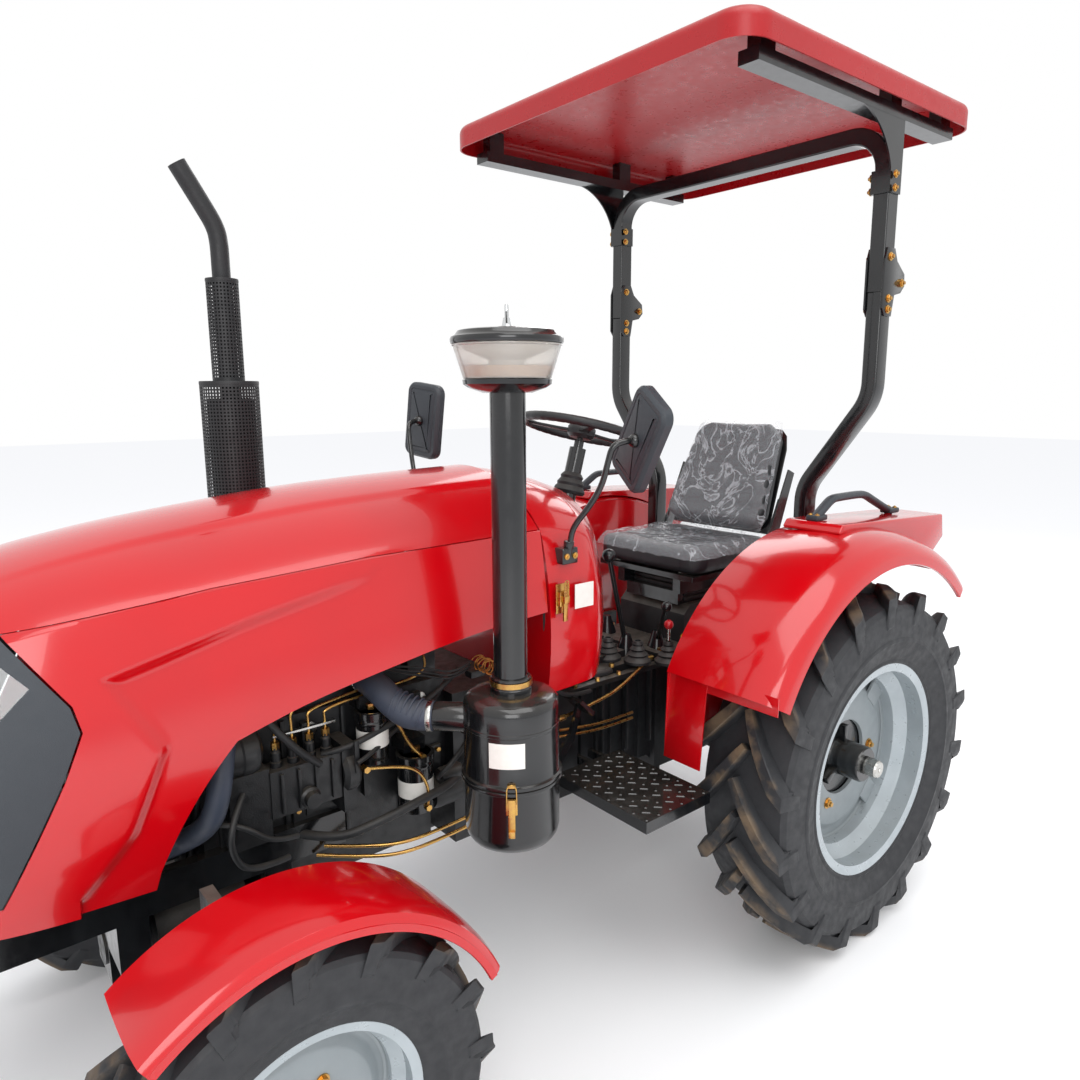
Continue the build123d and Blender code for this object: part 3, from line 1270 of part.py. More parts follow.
# ---------------------------------------------------------------- mirrors
mirror_table = [
    # side, head centre x ahead of the rear axle, head centre z
    (1, 765, 1556),
    (-1, 769, 1580),
]
with BuildPart() as mirrors:
    for side, head_ahead, head_z in mirror_table:
        arm_foot = (ahead(876), side * 356, 1262)
        arm_head = (ahead(head_ahead) + 6, side * 498, head_z)
        with BuildLine() as arm_path:
            FilletPolyline(
                arm_foot,
                (ahead(876), side * 372, 1322),
                (ahead(846), side * 440, 1420),
                (ahead(846), side * 470, 1530),
                arm_head,
                radius=22,
            )
        with BuildSketch(Plane(origin=arm_foot, z_dir=arm_path.line % 0)):
            Circle(8)
        sweep(path=arm_path.line)
        head_plane = Plane(origin=(ahead(head_ahead), side * 500, head_z), x_dir=(0.25 * side, 1, 0),
                           z_dir=(-1, 0.25 * side, 0))
        with BuildSketch(head_plane.offset(-14)):
            RectangleRounded(150, 250, 34)
        extrude(amount=34, taper=6)
        block((ahead(846), ahead(906)), (side * 330, side * 372), (1236, 1284))
    add(cowl.part, mode=Mode.SUBTRACT)
mirrors.part.label = "mirrors"
export_step(mirrors.part, "parts/mirrors.step")

# ---------------------------------------------------------------- seat
seat_rear_x = ahead(-215)
seat_front_x = ahead(228)
cushion_bottom_z = 1078
cushion_top_z = 1168
seat_half_width = 232
back_foot = (ahead(-150), 1188.7)
back_height = 400
back_lean = 24
back_thickness = 78
with BuildPart() as seat_frame:
    block((ahead(-160), ahead(170)), (-120, 120), (lift_cover_top_z, lift_cover_top_z + 44))
    for y in both_sides(130):
        block((ahead(-170), ahead(190)), (y - 16, y + 16), (lift_cover_top_z + 44, cushion_bottom_z - 18))
    block((seat_rear_x + 10, seat_front_x - 14), (-seat_half_width + 12, seat_half_width - 12),
          (cushion_bottom_z - 18, cushion_bottom_z - seat_gap))
    fillet(seat_frame.edges().filter_by(Axis.Z).group_by(Axis.Z)[-1], 10)
    for side in (1, -1):
        with BuildSketch(Plane(origin=(0, side * (seat_half_width + 4), 0), x_dir=(1, 0, 0), z_dir=(0, -1, 0))):
            with BuildLine():
                Polyline(
                    (ahead(-120), cushion_bottom_z - 18),
                    (ahead(-60), cushion_bottom_z - 18),
                    (ahead(-176), 1210),
                    (ahead(-262), 1400),
                    (ahead(-296), 1386),
                    (ahead(-222), 1190),
                    close=True,
                )
            make_face()
        extrude(amount=-side * 6)
        block((ahead(-120), ahead(-60)), (side * (seat_half_width - 12), side * (seat_half_width + 4)),
              (cushion_bottom_z - 18, cushion_bottom_z - 6))
seat_frame.part.label = "seat_frame"
export_step(seat_frame.part, "parts/seat_frame.step")

with BuildPart() as seat_cushion:
    block((seat_rear_x, seat_front_x), (-seat_half_width, seat_half_width), (cushion_bottom_z, cushion_top_z))
    fillet(seat_cushion.edges().filter_by(Axis.Z), 70)
    fillet(seat_cushion.faces().sort_by(Axis.Z)[-1].edges(), 26)
seat_cushion.part.label = "seat_cushion"
export_step(seat_cushion.part, "parts/seat_cushion.step")

back_plane = Plane(
    origin=(back_foot[0], 0, back_foot[1]),
    x_dir=(0, -1, 0),
    z_dir=(-cos(radians(back_lean)), 0, -sin(radians(back_lean))),
)
with BuildPart() as seat_back:
    with BuildSketch(back_plane):
        with BuildLine():
            Polyline(
                (-seat_half_width + 6, 0),
                (seat_half_width - 6, 0),
                (seat_half_width - 50, back_height),
                (-seat_half_width + 50, back_height),
                close=True,
            )
        make_face()
        fillet(vertices(), 60)
    extrude(amount=back_thickness)
    fillet(seat_back.faces().sort_by(Axis.X)[-1].edges(), 24)
seat_back.part.label = "seat_back"
export_step(seat_back.part, "parts/seat_back.step")

# ---------------------------------------------------------------- footplates and pedals
footplate_top_z = 593
footplate_sheet = 5
footplate_inner_y = 236
footplate_outer_y = 589
footplate_rear_x = ahead(560)
footplate_front_x = ahead(812)
with BuildPart() as footplates:
    for side in (1, -1):
        block((footplate_rear_x, footplate_front_x), (side * footplate_inner_y, side * footplate_outer_y),
              (footplate_top_z - footplate_sheet, footplate_top_z))
        for x in (footplate_rear_x, footplate_front_x - footplate_sheet):
            block((x, x + footplate_sheet), (side * footplate_inner_y, side * footplate_outer_y),
                  (footplate_top_z - 32, footplate_top_z))
        for y in (footplate_inner_y, footplate_outer_y - footplate_sheet):
            block((footplate_rear_x, footplate_front_x), (side * y, side * (y + footplate_sheet)),
                  (footplate_top_z - 32, footplate_top_z))
        for x in (ahead(608), ahead(667)):
            block((x, x + 16), (side * (gearbox_half_width + seat_gap), side * (footplate_inner_y + 120)),
                  (footplate_top_z - footplate_sheet - 24, footplate_top_z - footplate_sheet))
footplates.part.label = "footplates"
export_step(footplates.part, "parts/footplates.step")

pedal_table = [
    # y of the pad, width of the pad
    (262, 70),
    (-246, 52),
    (-306, 52),
]
with BuildPart() as pedals:
    for y, width in pedal_table:
        side = 1 if y > 0 else -1
        inner_y = side * (190 + seat_gap)
        rod((ahead(846), inner_y, 640), (ahead(846), y + side * 12, 640), 12)
        with BuildSketch(Plane(origin=(0, y, 0), x_dir=(1, 0, 0), z_dir=(0, -1, 0))):
            with BuildLine():
                Polyline(
                    (ahead(862), 630),
                    (ahead(832), 622),
                    (ahead(770), 700),
                    (ahead(742), 790),
                    (ahead(758), 796),
                    (ahead(786), 716),
                    close=True,
                )
            make_face()
        extrude(amount=6, both=True)
        with Locations(Plane(origin=(ahead(747), y, 794), z_dir=(-0.7, 0, 0.7))):
            Box(70, width, 12)
pedals.part.label = "pedals"
export_step(pedals.part, "parts/pedals.step")

lever_table = [
    # foot: ahead of the rear axle, y, z; knob: ahead, y, z; knob radius
    (380, 84, gearbox_top_z, 478, 100, 1168, 22),
    (270, 120, gearbox_top_z, 356, 236, 1010, 17),
    (270, -120, gearbox_top_z, 356, -236, 1010, 17),
]
with BuildPart() as gear_levers:
    for foot_ahead, foot_y, foot_z, knob_ahead, knob_y, knob_z, knob_radius in lever_table:
        foot = (ahead(foot_ahead), foot_y, foot_z + seat_gap)
        knob = (ahead(knob_ahead), knob_y, knob_z)
        with Locations(foot):
            Cone(34, 14, 60, align=(Align.CENTER, Align.CENTER, Align.MIN))
        rod((foot[0], foot[1], foot[2] + 20), knob, 8)
        with Locations(knob):
            Sphere(knob_radius)
gear_levers.part.label = "gear_levers"
export_step(gear_levers.part, "parts/gear_levers.step")

# ---------------------------------------------------------------- handles and tail lamps on the fenders
handle_y = 530
with BuildPart() as fender_handles:
    for side in (1, -1):
        with BuildLine(Plane(origin=(0, side * handle_y, 0), x_dir=(1, 0, 0), z_dir=(0, -1, 0))) as handle_path:
            FilletPolyline(
                (ahead(30), 1284),
                (ahead(-60), 1342),
                (ahead(-250), 1342),
                (ahead(-430), 1264),
                radius=40,
            )
        with BuildSketch(Plane(origin=(ahead(30), side * handle_y, 1284), x_dir=(0, 1, 0), z_dir=(-90, 0, 58))):
            Rectangle(34, 20)
            fillet(vertices(), 6)
        sweep(path=handle_path.line)
        for x, z in ((ahead(22), 1284), (ahead(-424), 1264)):
            block((x - 34, x + 22), (side * handle_y - 20, side * handle_y + 20), (z, z + 16))
    add(fender_table.part, mode=Mode.SUBTRACT)
    mirror(fender_table.part, about=Plane.XZ, mode=Mode.SUBTRACT)
fender_handles.part.label = "fender_handles"
export_step(fender_handles.part, "parts/fender_handles.step")

with BuildPart() as tail_lamps:
    for side in (1, -1):
        block((table_rear_x - 22, table_rear_x - seat_gap),
              (side * (table_inner_y + 20), side * (table_outer_y - 20)),
              (1176, 1244))
        block((table_rear_x - seat_gap, table_rear_x + 6),
              (side * (table_inner_y + 60), side * (table_outer_y - 60)),
              (1180, 1230))
    add(fender_table.part, mode=Mode.SUBTRACT)
    mirror(fender_table.part, about=Plane.XZ, mode=Mode.SUBTRACT)
tail_lamps.part.label = "tail_lamps"
export_step(tail_lamps.part, "parts/tail_lamps.step")
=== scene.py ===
from math import atan2, cos, hypot, pi, radians, sin, sqrt, tan
import random
import bpy
from mathutils import Matrix, Vector


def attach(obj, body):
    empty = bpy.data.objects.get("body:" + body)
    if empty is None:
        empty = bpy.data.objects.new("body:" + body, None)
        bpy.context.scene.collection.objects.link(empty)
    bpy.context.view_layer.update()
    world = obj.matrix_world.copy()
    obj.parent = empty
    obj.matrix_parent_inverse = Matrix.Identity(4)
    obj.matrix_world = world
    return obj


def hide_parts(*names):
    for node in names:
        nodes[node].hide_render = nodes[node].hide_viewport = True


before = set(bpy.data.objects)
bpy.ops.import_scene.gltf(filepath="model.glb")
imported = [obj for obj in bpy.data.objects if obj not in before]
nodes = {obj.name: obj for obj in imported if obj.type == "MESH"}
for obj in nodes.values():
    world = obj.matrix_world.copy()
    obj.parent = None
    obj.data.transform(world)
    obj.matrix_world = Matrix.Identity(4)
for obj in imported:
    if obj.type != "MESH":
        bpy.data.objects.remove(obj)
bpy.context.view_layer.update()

# Farm tractor with a folding roll bar. Metres, +X forwards, +Y to the driver's left, ground at z = 0.
rearAxle = -0.745
random.seed(7)


def ahead(distance):  # from the rear axle
    return rearAxle + distance


# ---- nodes and materials
def toLinear(hexColour):
    channels = [int(hexColour[i:i + 2], 16) / 255 for i in (0, 2, 4)]
    return [c / 12.92 if c <= 0.04045 else ((c + 0.055) / 1.055) ** 2.4 for c in channels] + [1.0]


def addNode(tree, kind, settings=None, links=None):
    node = tree.nodes.new(kind)
    for key, value in (settings or {}).items():
        if isinstance(key, str) and hasattr(node, key):
            setattr(node, key, value)
        else:
            node.inputs[key].default_value = value
    for key, source in (links or {}).items():
        tree.links.new(source, node.inputs[key])
    return node


def perMetre(millimetres):  # a noise scale whose blobs are about this wide
    return 1000 / millimetres


def finish(name, colour, rough, metal=0.0, settings=None, tint=None, tintSize=60, tintAmount=0.35,
        roughSpread=0.08, roughSize=25, grain=None, grainSize=1.0, grainKind="noise", dust=0.0):
    # base colour with a slow drift to tint, uneven roughness, and surface grain as bump
    material = bpy.data.materials.new(name)
    material.use_nodes = True
    tree = material.node_tree
    tree.nodes.clear()
    place = addNode(tree, "ShaderNodeTexCoord").outputs["Object"]
    shader = addNode(tree, "ShaderNodeBsdfPrincipled", {"Metallic": metal})
    for socket, value in (settings or {}).items():
        shader.inputs[socket].default_value = value
    drift = addNode(tree, "ShaderNodeTexNoise", {"Scale": perMetre(tintSize), "Detail": 5.0},
        {"Vector": place})
    driftAmount = addNode(tree, "ShaderNodeMapRange", {1: 0.35, 2: 0.7, 3: 0.0, 4: tintAmount},
        {0: drift.outputs["Fac"]})
    paint = addNode(tree, "ShaderNodeMix", {"data_type": "RGBA", 6: toLinear(colour),
        7: toLinear(tint or colour)}, {0: driftAmount.outputs[0]})
    colourOut = paint.outputs[2]
    if dust:  # settles on what faces up
        normal = addNode(tree, "ShaderNodeNewGeometry").outputs["Normal"]
        up = addNode(tree, "ShaderNodeSeparateXYZ", None, {0: normal}).outputs["Z"]
        settled = addNode(tree, "ShaderNodeMapRange", {1: 0.2, 2: 1.0, 3: 0.0, 4: dust}, {0: up})
        patchy = addNode(tree, "ShaderNodeMath", {"operation": "MULTIPLY"},
            {0: settled.outputs[0], 1: drift.outputs["Fac"]})
        dusty = addNode(tree, "ShaderNodeMix", {"data_type": "RGBA", 7: toLinear("9A8F80")},
            {0: patchy.outputs[0], 6: colourOut})
        colourOut = dusty.outputs[2]
    tree.links.new(colourOut, shader.inputs["Base Color"])
    wear = addNode(tree, "ShaderNodeTexNoise", {"Scale": perMetre(roughSize), "Detail": 4.0},
        {"Vector": place})
    roughness = addNode(tree, "ShaderNodeMapRange",
        {1: 0.3, 2: 0.7, 3: max(rough - roughSpread, 0.02), 4: min(rough + roughSpread, 1.0)},
        {0: wear.outputs["Fac"]})
    tree.links.new(roughness.outputs[0], shader.inputs["Roughness"])
    if grain:
        if grainKind == "cells":
            relief = addNode(tree, "ShaderNodeTexVoronoi", {"Scale": perMetre(grainSize)}, {"Vector": place})
            height = relief.outputs["Distance"]
        else:
            relief = addNode(tree, "ShaderNodeTexNoise", {"Scale": perMetre(grainSize), "Detail": 3.0},
                {"Vector": place})
            height = relief.outputs["Fac"]
        bump = addNode(tree, "ShaderNodeBump", {"Strength": grain, "Distance": 0.0006}, {"Height": height})
        tree.links.new(bump.outputs["Normal"], shader.inputs["Normal"])
    addNode(tree, "ShaderNodeOutputMaterial", None, {"Surface": shader.outputs[0]})
    return material


# stoved enamel on pressed steel: deep red under a clear, slightly wavy gloss
redEnamel = finish("stovedRedEnamel", "C0040F", 0.17, settings={"Coat Weight": 0.5, "Coat Roughness": 0.03},
    tint="AE040E", tintSize=240, roughSpread=0.04, roughSize=120, grain=0.12, grainSize=14)
# sprayed gloss black on drawn steel: tank, stack, posts
blackEnamel = finish("sprayedBlackEnamel", "0D0E10", 0.2,
    settings={"Coat Weight": 0.4, "Coat Roughness": 0.08}, tint="17191C", roughSpread=0.06, grain=0.15,
    grainSize=6, dust=0.12)
# the same black over sand-cast iron: pitted, satin, dusty on top
blackCasting = finish("paintedSandCastIron", "121315", 0.42, tint="1F2023", tintSize=45, roughSpread=0.14,
    grain=0.8, grainSize=3.2, dust=0.4)
# heat-proof paint on perforated sheet: dry and dark
heatPaint = finish("heatProofBlackPaint", "141518", 0.5, tint="1E1D1F", tintSize=30, grain=0.3, grainSize=2)
# hot-dip zinc and a light grey coat on the rims
rimPaint = finish("zincGreyRimPaint", "AEB6BA", 0.34, 0.35, tint="8F989C", tintSize=90, roughSpread=0.1,
    grain=0.3, grainSize=2.5, dust=0.25)
discPaint = finish("greyDiscPaint", "8A9194", 0.42, tint="7A8184", tintSize=60, grain=0.4, grainSize=2.5,
    dust=0.2)
# yellow passivated zinc on bolts and fittings
yellowZinc = finish("yellowZincPlate", "C9A258", 0.28, 1.0, tint="B9855A", tintSize=8, tintAmount=0.7)
# turned and bare steel
bareSteel = finish("turnedSteel", "C4C4C0", 0.26, 1.0, tint="9A938A", tintSize=12, grain=0.2, grainSize=0.9)
# chrome plate on the wing nut
chromePlate = finish("chromePlate", "DADCDD", 0.08, 1.0, tint="C9CBCC")
# woven cover of the radiator hose, and moulded rubber of the small parts
hoseRubber = finish("clothWrappedHose", "3A4150", 0.5, tint="2C323C", tintSize=35, grain=0.7, grainSize=2.2,
    dust=0.2)
softRubber = finish("mouldedBlackRubber", "191A1C", 0.55, tint="222326", grain=0.3, grainSize=1.5, dust=0.2)
# grained polypropylene: bezel, mirrors and handles
grainedPlastic = finish("grainedPolypropylene", "30353B", 0.44, tint="2A2E34", tintSize=120,
    roughSpread=0.05, grain=0.55, grainSize=1.3, grainKind="cells")
glossPlastic = finish("glossBlackAbs", "131416", 0.22, tint="191B1E", roughSpread=0.05)
wheelPlastic = finish("steeringWheelFoam", "1B1C1E", 0.42, tint="26282B", grain=0.35, grainSize=1.4,
    grainKind="cells", dust=0.1)
# calendered vinyl over foam
seatVinyl = finish("grainedSeatVinyl", "1A1C20", 0.38, tint="24262B", tintSize=70, grain=0.8, grainSize=1.8,
    grainKind="cells")
redPlastic = finish("redKnobPlastic", "B5121C", 0.3, tint="9D0F18", grain=0.2, grainSize=2)
yellowPlastic = finish("yellowKnobPlastic", "D8B21A", 0.35, tint="C7A015", grain=0.2, grainSize=2)
blankPlate = finish("blankWhitePlate", "E6E4DE", 0.4, tint="D2CFC6", tintSize=20, grain=0.1, grainSize=2)
copperWire = finish("copperWire", "B4763C", 0.32, 1.0, tint="8E5A2E", tintSize=10)
dustPack = finish("settledDust", "C9A583", 0.9, tint="B89270", tintSize=12, grain=0.8, grainSize=1.5)
canopyPlastic = finish("vacuumFormedRoof", "A30811", 0.32, tint="94060F", tintSize=300, grain=0.25,
    grainSize=5, dust=0.25)
redLens = finish("redTailLens", "A80D12", 0.1, settings={"Transmission Weight": 0.35, "IOR": 1.49},
    tint="8F0A10")
amberLens = finish("amberLens", "D9690E", 0.1, settings={"Transmission Weight": 0.35, "IOR": 1.49},
    tint="C45C0A")
# blow-moulded milky bowl that the light comes through
milkyBowl = finish("milkyPolyethylene", "FBF8F4", 0.16, settings={"Transmission Weight": 0.82, "IOR": 1.5},
    tint="E7DED2", tintSize=80)
lampGlass = finish("clearPolycarbonate", "F4F7F8", 0.03,
    settings={"Transmission Weight": 0.95, "IOR": 1.58}, tint="EDF1F3", roughSpread=0.01)
mirrorGlass = finish("silveredGlass", "E4E7E9", 0.03, 1.0, tint="DDE0E2", roughSpread=0.01)


def treadRubber(name, centre, carcassRadius, lugTop):
    # vulcanised tread rubber: charcoal walls, dried soil on the faces of the bars
    material = finish(name, "242528", 0.62, tint="303134", tintSize=70, roughSpread=0.12, grain=0.5,
        grainSize=2.4)
    tree = material.node_tree
    shader = next(node for node in tree.nodes if node.type == "BSDF_PRINCIPLED")
    place = addNode(tree, "ShaderNodeTexCoord").outputs["Object"]
    fromAxle = addNode(tree, "ShaderNodeVectorMath", {"operation": "SUBTRACT", 1: centre}, {0: place})
    flat = addNode(tree, "ShaderNodeVectorMath", {"operation": "MULTIPLY", 1: (1, 0, 1)},
        {0: fromAxle.outputs[0]})
    radius = addNode(tree, "ShaderNodeVectorMath", {"operation": "LENGTH"}, {0: flat.outputs[0]})
    onBars = addNode(tree, "ShaderNodeMapRange",
        {1: carcassRadius + 0.4 * (lugTop - carcassRadius), 2: lugTop, 3: 0.0, 4: 1.0},
        {0: radius.outputs["Value"]})
    blotch = addNode(tree, "ShaderNodeTexNoise", {"Scale": perMetre(70), "Detail": 6.0}, {"Vector": place})
    blotchAmount = addNode(tree, "ShaderNodeMapRange", {1: 0.42, 2: 0.6, 3: 0.0, 4: 0.75},
        {0: blotch.outputs["Fac"]})
    soil = addNode(tree, "ShaderNodeMath", {"operation": "MULTIPLY"},
        {0: onBars.outputs[0], 1: blotchAmount.outputs[0]})
    rubberColour = shader.inputs["Base Color"].links[0].from_socket
    soiled = addNode(tree, "ShaderNodeMix", {"data_type": "RGBA", 7: toLinear("7A654C")},
        {0: soil.outputs[0], 6: rubberColour})
    tree.links.new(soiled.outputs[2], shader.inputs["Base Color"])
    return material


def wrappingFilm():
    # thin polyethylene dust film: nearly clear; whiter and more opaque along its creases, partly the film's
    # own crease whitening and partly a painted highlight
    material = bpy.data.materials.new("polyethyleneDustFilm")
    material.use_nodes = True
    tree = material.node_tree
    tree.nodes.clear()
    place = addNode(tree, "ShaderNodeTexCoord").outputs["Object"]
    crease = addNode(tree, "ShaderNodeTexNoise", {"Scale": perMetre(120), "Detail": 4.0, "Distortion": 1.4},
        {"Vector": place})
    bump = addNode(tree, "ShaderNodeBump", {"Strength": 0.8, "Distance": 0.006},
        {"Height": crease.outputs["Fac"]})
    fromMiddle = addNode(tree, "ShaderNodeMath", {"operation": "SUBTRACT", 1: 0.5},
        {0: crease.outputs["Fac"]})
    ridge = addNode(tree, "ShaderNodeMath", {"operation": "ABSOLUTE"}, {0: fromMiddle.outputs[0]})
    # alpha rises along the crease lines: real crease whitening mixed with a painted highlight on the film
    creaseWhiteningAndHighlight = addNode(tree, "ShaderNodeMapRange", {1: 0.0, 2: 0.03, 3: 0.46, 4: 0.16}, {0: ridge.outputs[0]})
    shader = addNode(tree, "ShaderNodeBsdfPrincipled",
        {"Base Color": toLinear("E9EDF2"), "Roughness": 0.16, "IOR": 1.5, "Coat Weight": 0.5,
        "Coat Roughness": 0.1}, {"Alpha": creaseWhiteningAndHighlight.outputs[0], "Normal": bump.outputs["Normal"]})
    addNode(tree, "ShaderNodeOutputMaterial", None, {"Surface": shader.outputs[0]})
    return material


dustFilm = wrappingFilm()
print("materials made")

# ---- camera, floor and light
view = {"place": (1.476, 1.883, 1.673), "yaw": 50.61, "pitch": 10.36, "roll": -0.28, "lens": 26.96}


def setCamera():
    data = bpy.data.cameras.new("camera")
    data.lens = view["lens"]
    data.sensor_width = 36
    camera = bpy.data.objects.new("camera", data)
    bpy.context.scene.collection.objects.link(camera)
    yaw, pitch = radians(view["yaw"]), radians(view["pitch"])
    forward = Vector((-cos(yaw) * cos(pitch), -sin(yaw) * cos(pitch), -sin(pitch)))
    turn = forward.to_track_quat("-Z", "Y") @ Matrix.Rotation(radians(view["roll"]), 3, "Z").to_quaternion()
    camera.matrix_world = Matrix.Translation(view["place"]) @ turn.to_matrix().to_4x4()
    bpy.context.scene.camera = camera


def setRoom():
    world = bpy.data.worlds.new("paleRoom")
    bpy.context.scene.world = world
    world.use_nodes = True
    tree = world.node_tree
    tree.nodes.clear()
    rays = addNode(tree, "ShaderNodeLightPath")
    seen = addNode(tree, "ShaderNodeMath", {"operation": "MAXIMUM"},
        {0: rays.outputs["Is Camera Ray"], 1: rays.outputs["Is Glossy Ray"]})
    seenToo = addNode(tree, "ShaderNodeMath", {"operation": "MAXIMUM"},
        {0: seen.outputs[0], 1: rays.outputs["Is Transmission Ray"]})
    fill = addNode(tree, "ShaderNodeBackground", {"Color": toLinear("FBFCFF"), "Strength": 0.97})
    white = addNode(tree, "ShaderNodeBackground", {"Color": (1, 1, 1, 1), "Strength": 1.0})
    mixed = addNode(tree, "ShaderNodeMixShader", None,
        {0: seenToo.outputs[0], 1: fill.outputs[0], 2: white.outputs[0]})
    addNode(tree, "ShaderNodeOutputWorld", None, {"Surface": mixed.outputs[0]})

    bpy.ops.mesh.primitive_plane_add(size=60, location=(0, 0, -0.001))
    floor = bpy.context.object
    floor.name = "floor"
    material = bpy.data.materials.new("paleFloor")
    material.use_nodes = True
    tree = material.node_tree
    tree.nodes.clear()
    chalk = addNode(tree, "ShaderNodeBsdfDiffuse", {"Color": toLinear("FEFEFE")})
    addNode(tree, "ShaderNodeOutputMaterial", None, {"Surface": chalk.outputs[0]})
    floor.data.materials.append(material)

    lamps = [  # name, place, aimed at, width, watts
        ("skyLamp", (0.5, 2.5, 6.5), (0, 0, 0.8), 5.0, 190),
        ("sideLamp", (3.8, 5.2, 3.2), (0.2, 0, 0.9), 3.2, 120),
        ("backLamp", (-5.0, -3.5, 4.5), (0, 0, 1.0), 3.5, 80),
    ]
    for name, place, target, width, watts in lamps:
        data = bpy.data.lights.new(name, "AREA")
        data.size = width
        data.energy = watts
        lamp = bpy.data.objects.new(name, data)
        bpy.context.scene.collection.objects.link(lamp)
        lamp.location = place
        lamp.rotation_euler = (Vector(target) - Vector(place)).to_track_quat("-Z", "Y").to_euler()
    bpy.context.scene.view_settings.view_transform = "Standard"


setCamera()
setRoom()
print("camera, floor and lamps set")


# ---- modelling helpers
def editMode():
    bpy.ops.object.mode_set(mode="EDIT")


def editAll():
    editMode()
    bpy.ops.mesh.select_all(action="SELECT")


def objectMode():
    bpy.ops.object.mode_set(mode="OBJECT")


def selectNone():
    editAll()
    bpy.ops.mesh.select_all(action="DESELECT")
    objectMode()


def active(piece):
    bpy.ops.object.select_all(action="DESELECT")
    piece.select_set(True)
    bpy.context.view_layer.objects.active = piece


def tidyShell(piece, gap=0.00002):
    active(piece)
    editAll()
    bpy.ops.mesh.remove_doubles(threshold=gap)
    bpy.ops.mesh.normals_make_consistent(inside=False)
    objectMode()


def applyAll(piece):
    active(piece)
    for modifier in list(piece.modifiers):
        bpy.ops.object.modifier_apply(modifier=modifier.name)


def joined(pieces, name):
    bpy.ops.object.select_all(action="DESELECT")
    for piece in pieces:
        piece.select_set(True)
    bpy.context.view_layer.objects.active = pieces[0]
    if len(pieces) > 1:
        bpy.ops.object.join()
    whole = bpy.context.view_layer.objects.active
    whole.name = name
    return whole


def placed(piece, material, body="chassis", replaces=(), smooth=35):
    # last step of a piece: finish, shading, body, and the CAD nodes that it stands for
    active(piece)
    bpy.ops.object.transform_apply(location=True, rotation=True, scale=True)
    if material is not None:
        piece.data.materials.clear()
        piece.data.materials.append(material)
    bpy.ops.object.shade_smooth_by_angle(angle=radians(smooth))
    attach(piece, body)
    if replaces:
        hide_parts(*replaces)
    return piece


def traced(name, points, closed=True):
    # a loop of edges through these points
    bpy.ops.mesh.primitive_circle_add(vertices=len(points))
    loop = bpy.context.object
    loop.name = name
    for vertex, point in zip(loop.data.vertices, points):
        vertex.co = point
    if not closed:
        last = len(points) - 1
        selectNone()
        for edge in loop.data.edges:
            edge.select = set(edge.vertices) == {0, last}
        editMode()
        bpy.ops.mesh.select_mode(type="EDGE")
        bpy.ops.mesh.delete(type="EDGE")
        bpy.ops.mesh.select_mode(type="VERT")
        objectMode()
    return loop


def lathe(name, outline, centre, axis, steps=64, closed=True):
    # outline is (radius, along the axis); the axis is "X", "Y" or "Z"
    along = {"X": Vector((1, 0, 0)), "Y": Vector((0, 1, 0)), "Z": Vector((0, 0, 1))}[axis]
    outward = Vector((0, 0, 1)) if axis != "Z" else Vector((1, 0, 0))
    centre = Vector(centre)
    loop = traced(name, [centre + outward * radius + along * place for radius, place in outline], closed)
    editAll()
    bpy.ops.mesh.spin(steps=steps, angle=2 * pi, center=centre, axis=along)
    objectMode()
    tidyShell(loop)
    return loop


def slab(name, outline, depth, bevel=0.0, segments=2):
    # outline is a flat loop of points, depth a vector that it is extruded along
    loop = traced(name, outline)
    editAll()
    bpy.ops.mesh.edge_face_add()
    bpy.ops.mesh.extrude_region_move(TRANSFORM_OT_translate={"value": depth})
    bpy.ops.mesh.select_all(action="SELECT")
    bpy.ops.mesh.normals_make_consistent(inside=False)
    objectMode()
    if bevel:
        modifier = loop.modifiers.new("softEdges", "BEVEL")
        modifier.width = bevel
        modifier.segments = segments
        modifier.limit_method = "ANGLE"
        modifier.angle_limit = radians(35)
        applyAll(loop)
    return loop


def brick(name, low, high, bevel=0.002, segments=2):
    bpy.ops.mesh.primitive_cube_add(size=1)
    box = bpy.context.object
    box.name = name
    for vertex in box.data.vertices:
        vertex.co = [low[i] if vertex.co[i] < 0 else high[i] for i in range(3)]
    editAll()
    bpy.ops.mesh.bevel(offset=bevel, segments=segments, affect="EDGES", profile=0.6)
    objectMode()
    return box


def tube(name, points, radius, smoothRoute=True, sides=6, order=3):
    curve = bpy.data.curves.new(name, "CURVE")
    curve.dimensions = "3D"
    curve.bevel_depth = radius
    curve.bevel_resolution = sides // 2
    curve.use_fill_caps = True
    curve.resolution_u = 8
    line = curve.splines.new("NURBS" if smoothRoute else "POLY")
    line.points.add(len(points) - 1)
    for point, place in zip(line.points, points):
        point.co = (*place, 1)
    if smoothRoute:
        line.order_u = order
        line.use_endpoint_u = True
    pipe = bpy.data.objects.new(name, curve)
    bpy.context.scene.collection.objects.link(pipe)
    active(pipe)
    bpy.ops.object.convert(target="MESH")
    pipe = bpy.context.object
    tidyShell(pipe)
    return pipe


def rodBetween(name, start, end, radius, sides=24, bevel=0.0):
    start, end = Vector(start), Vector(end)
    run = end - start
    bpy.ops.mesh.primitive_cylinder_add(vertices=sides, radius=radius, depth=run.length)
    rod = bpy.context.object
    rod.name = name
    if bevel:
        selectNone()
        for edge in rod.data.edges:
            ends = [rod.data.vertices[i].co.z for i in edge.vertices]
            edge.select = abs(ends[0] - ends[1]) < 1e-6
        editMode()
        bpy.ops.mesh.bevel(offset=bevel, segments=2, affect="EDGES")
        objectMode()
    turn = run.to_track_quat("Z", "Y").to_matrix().to_4x4()
    rod.data.transform(Matrix.Translation((start + end) / 2) @ turn)
    return rod


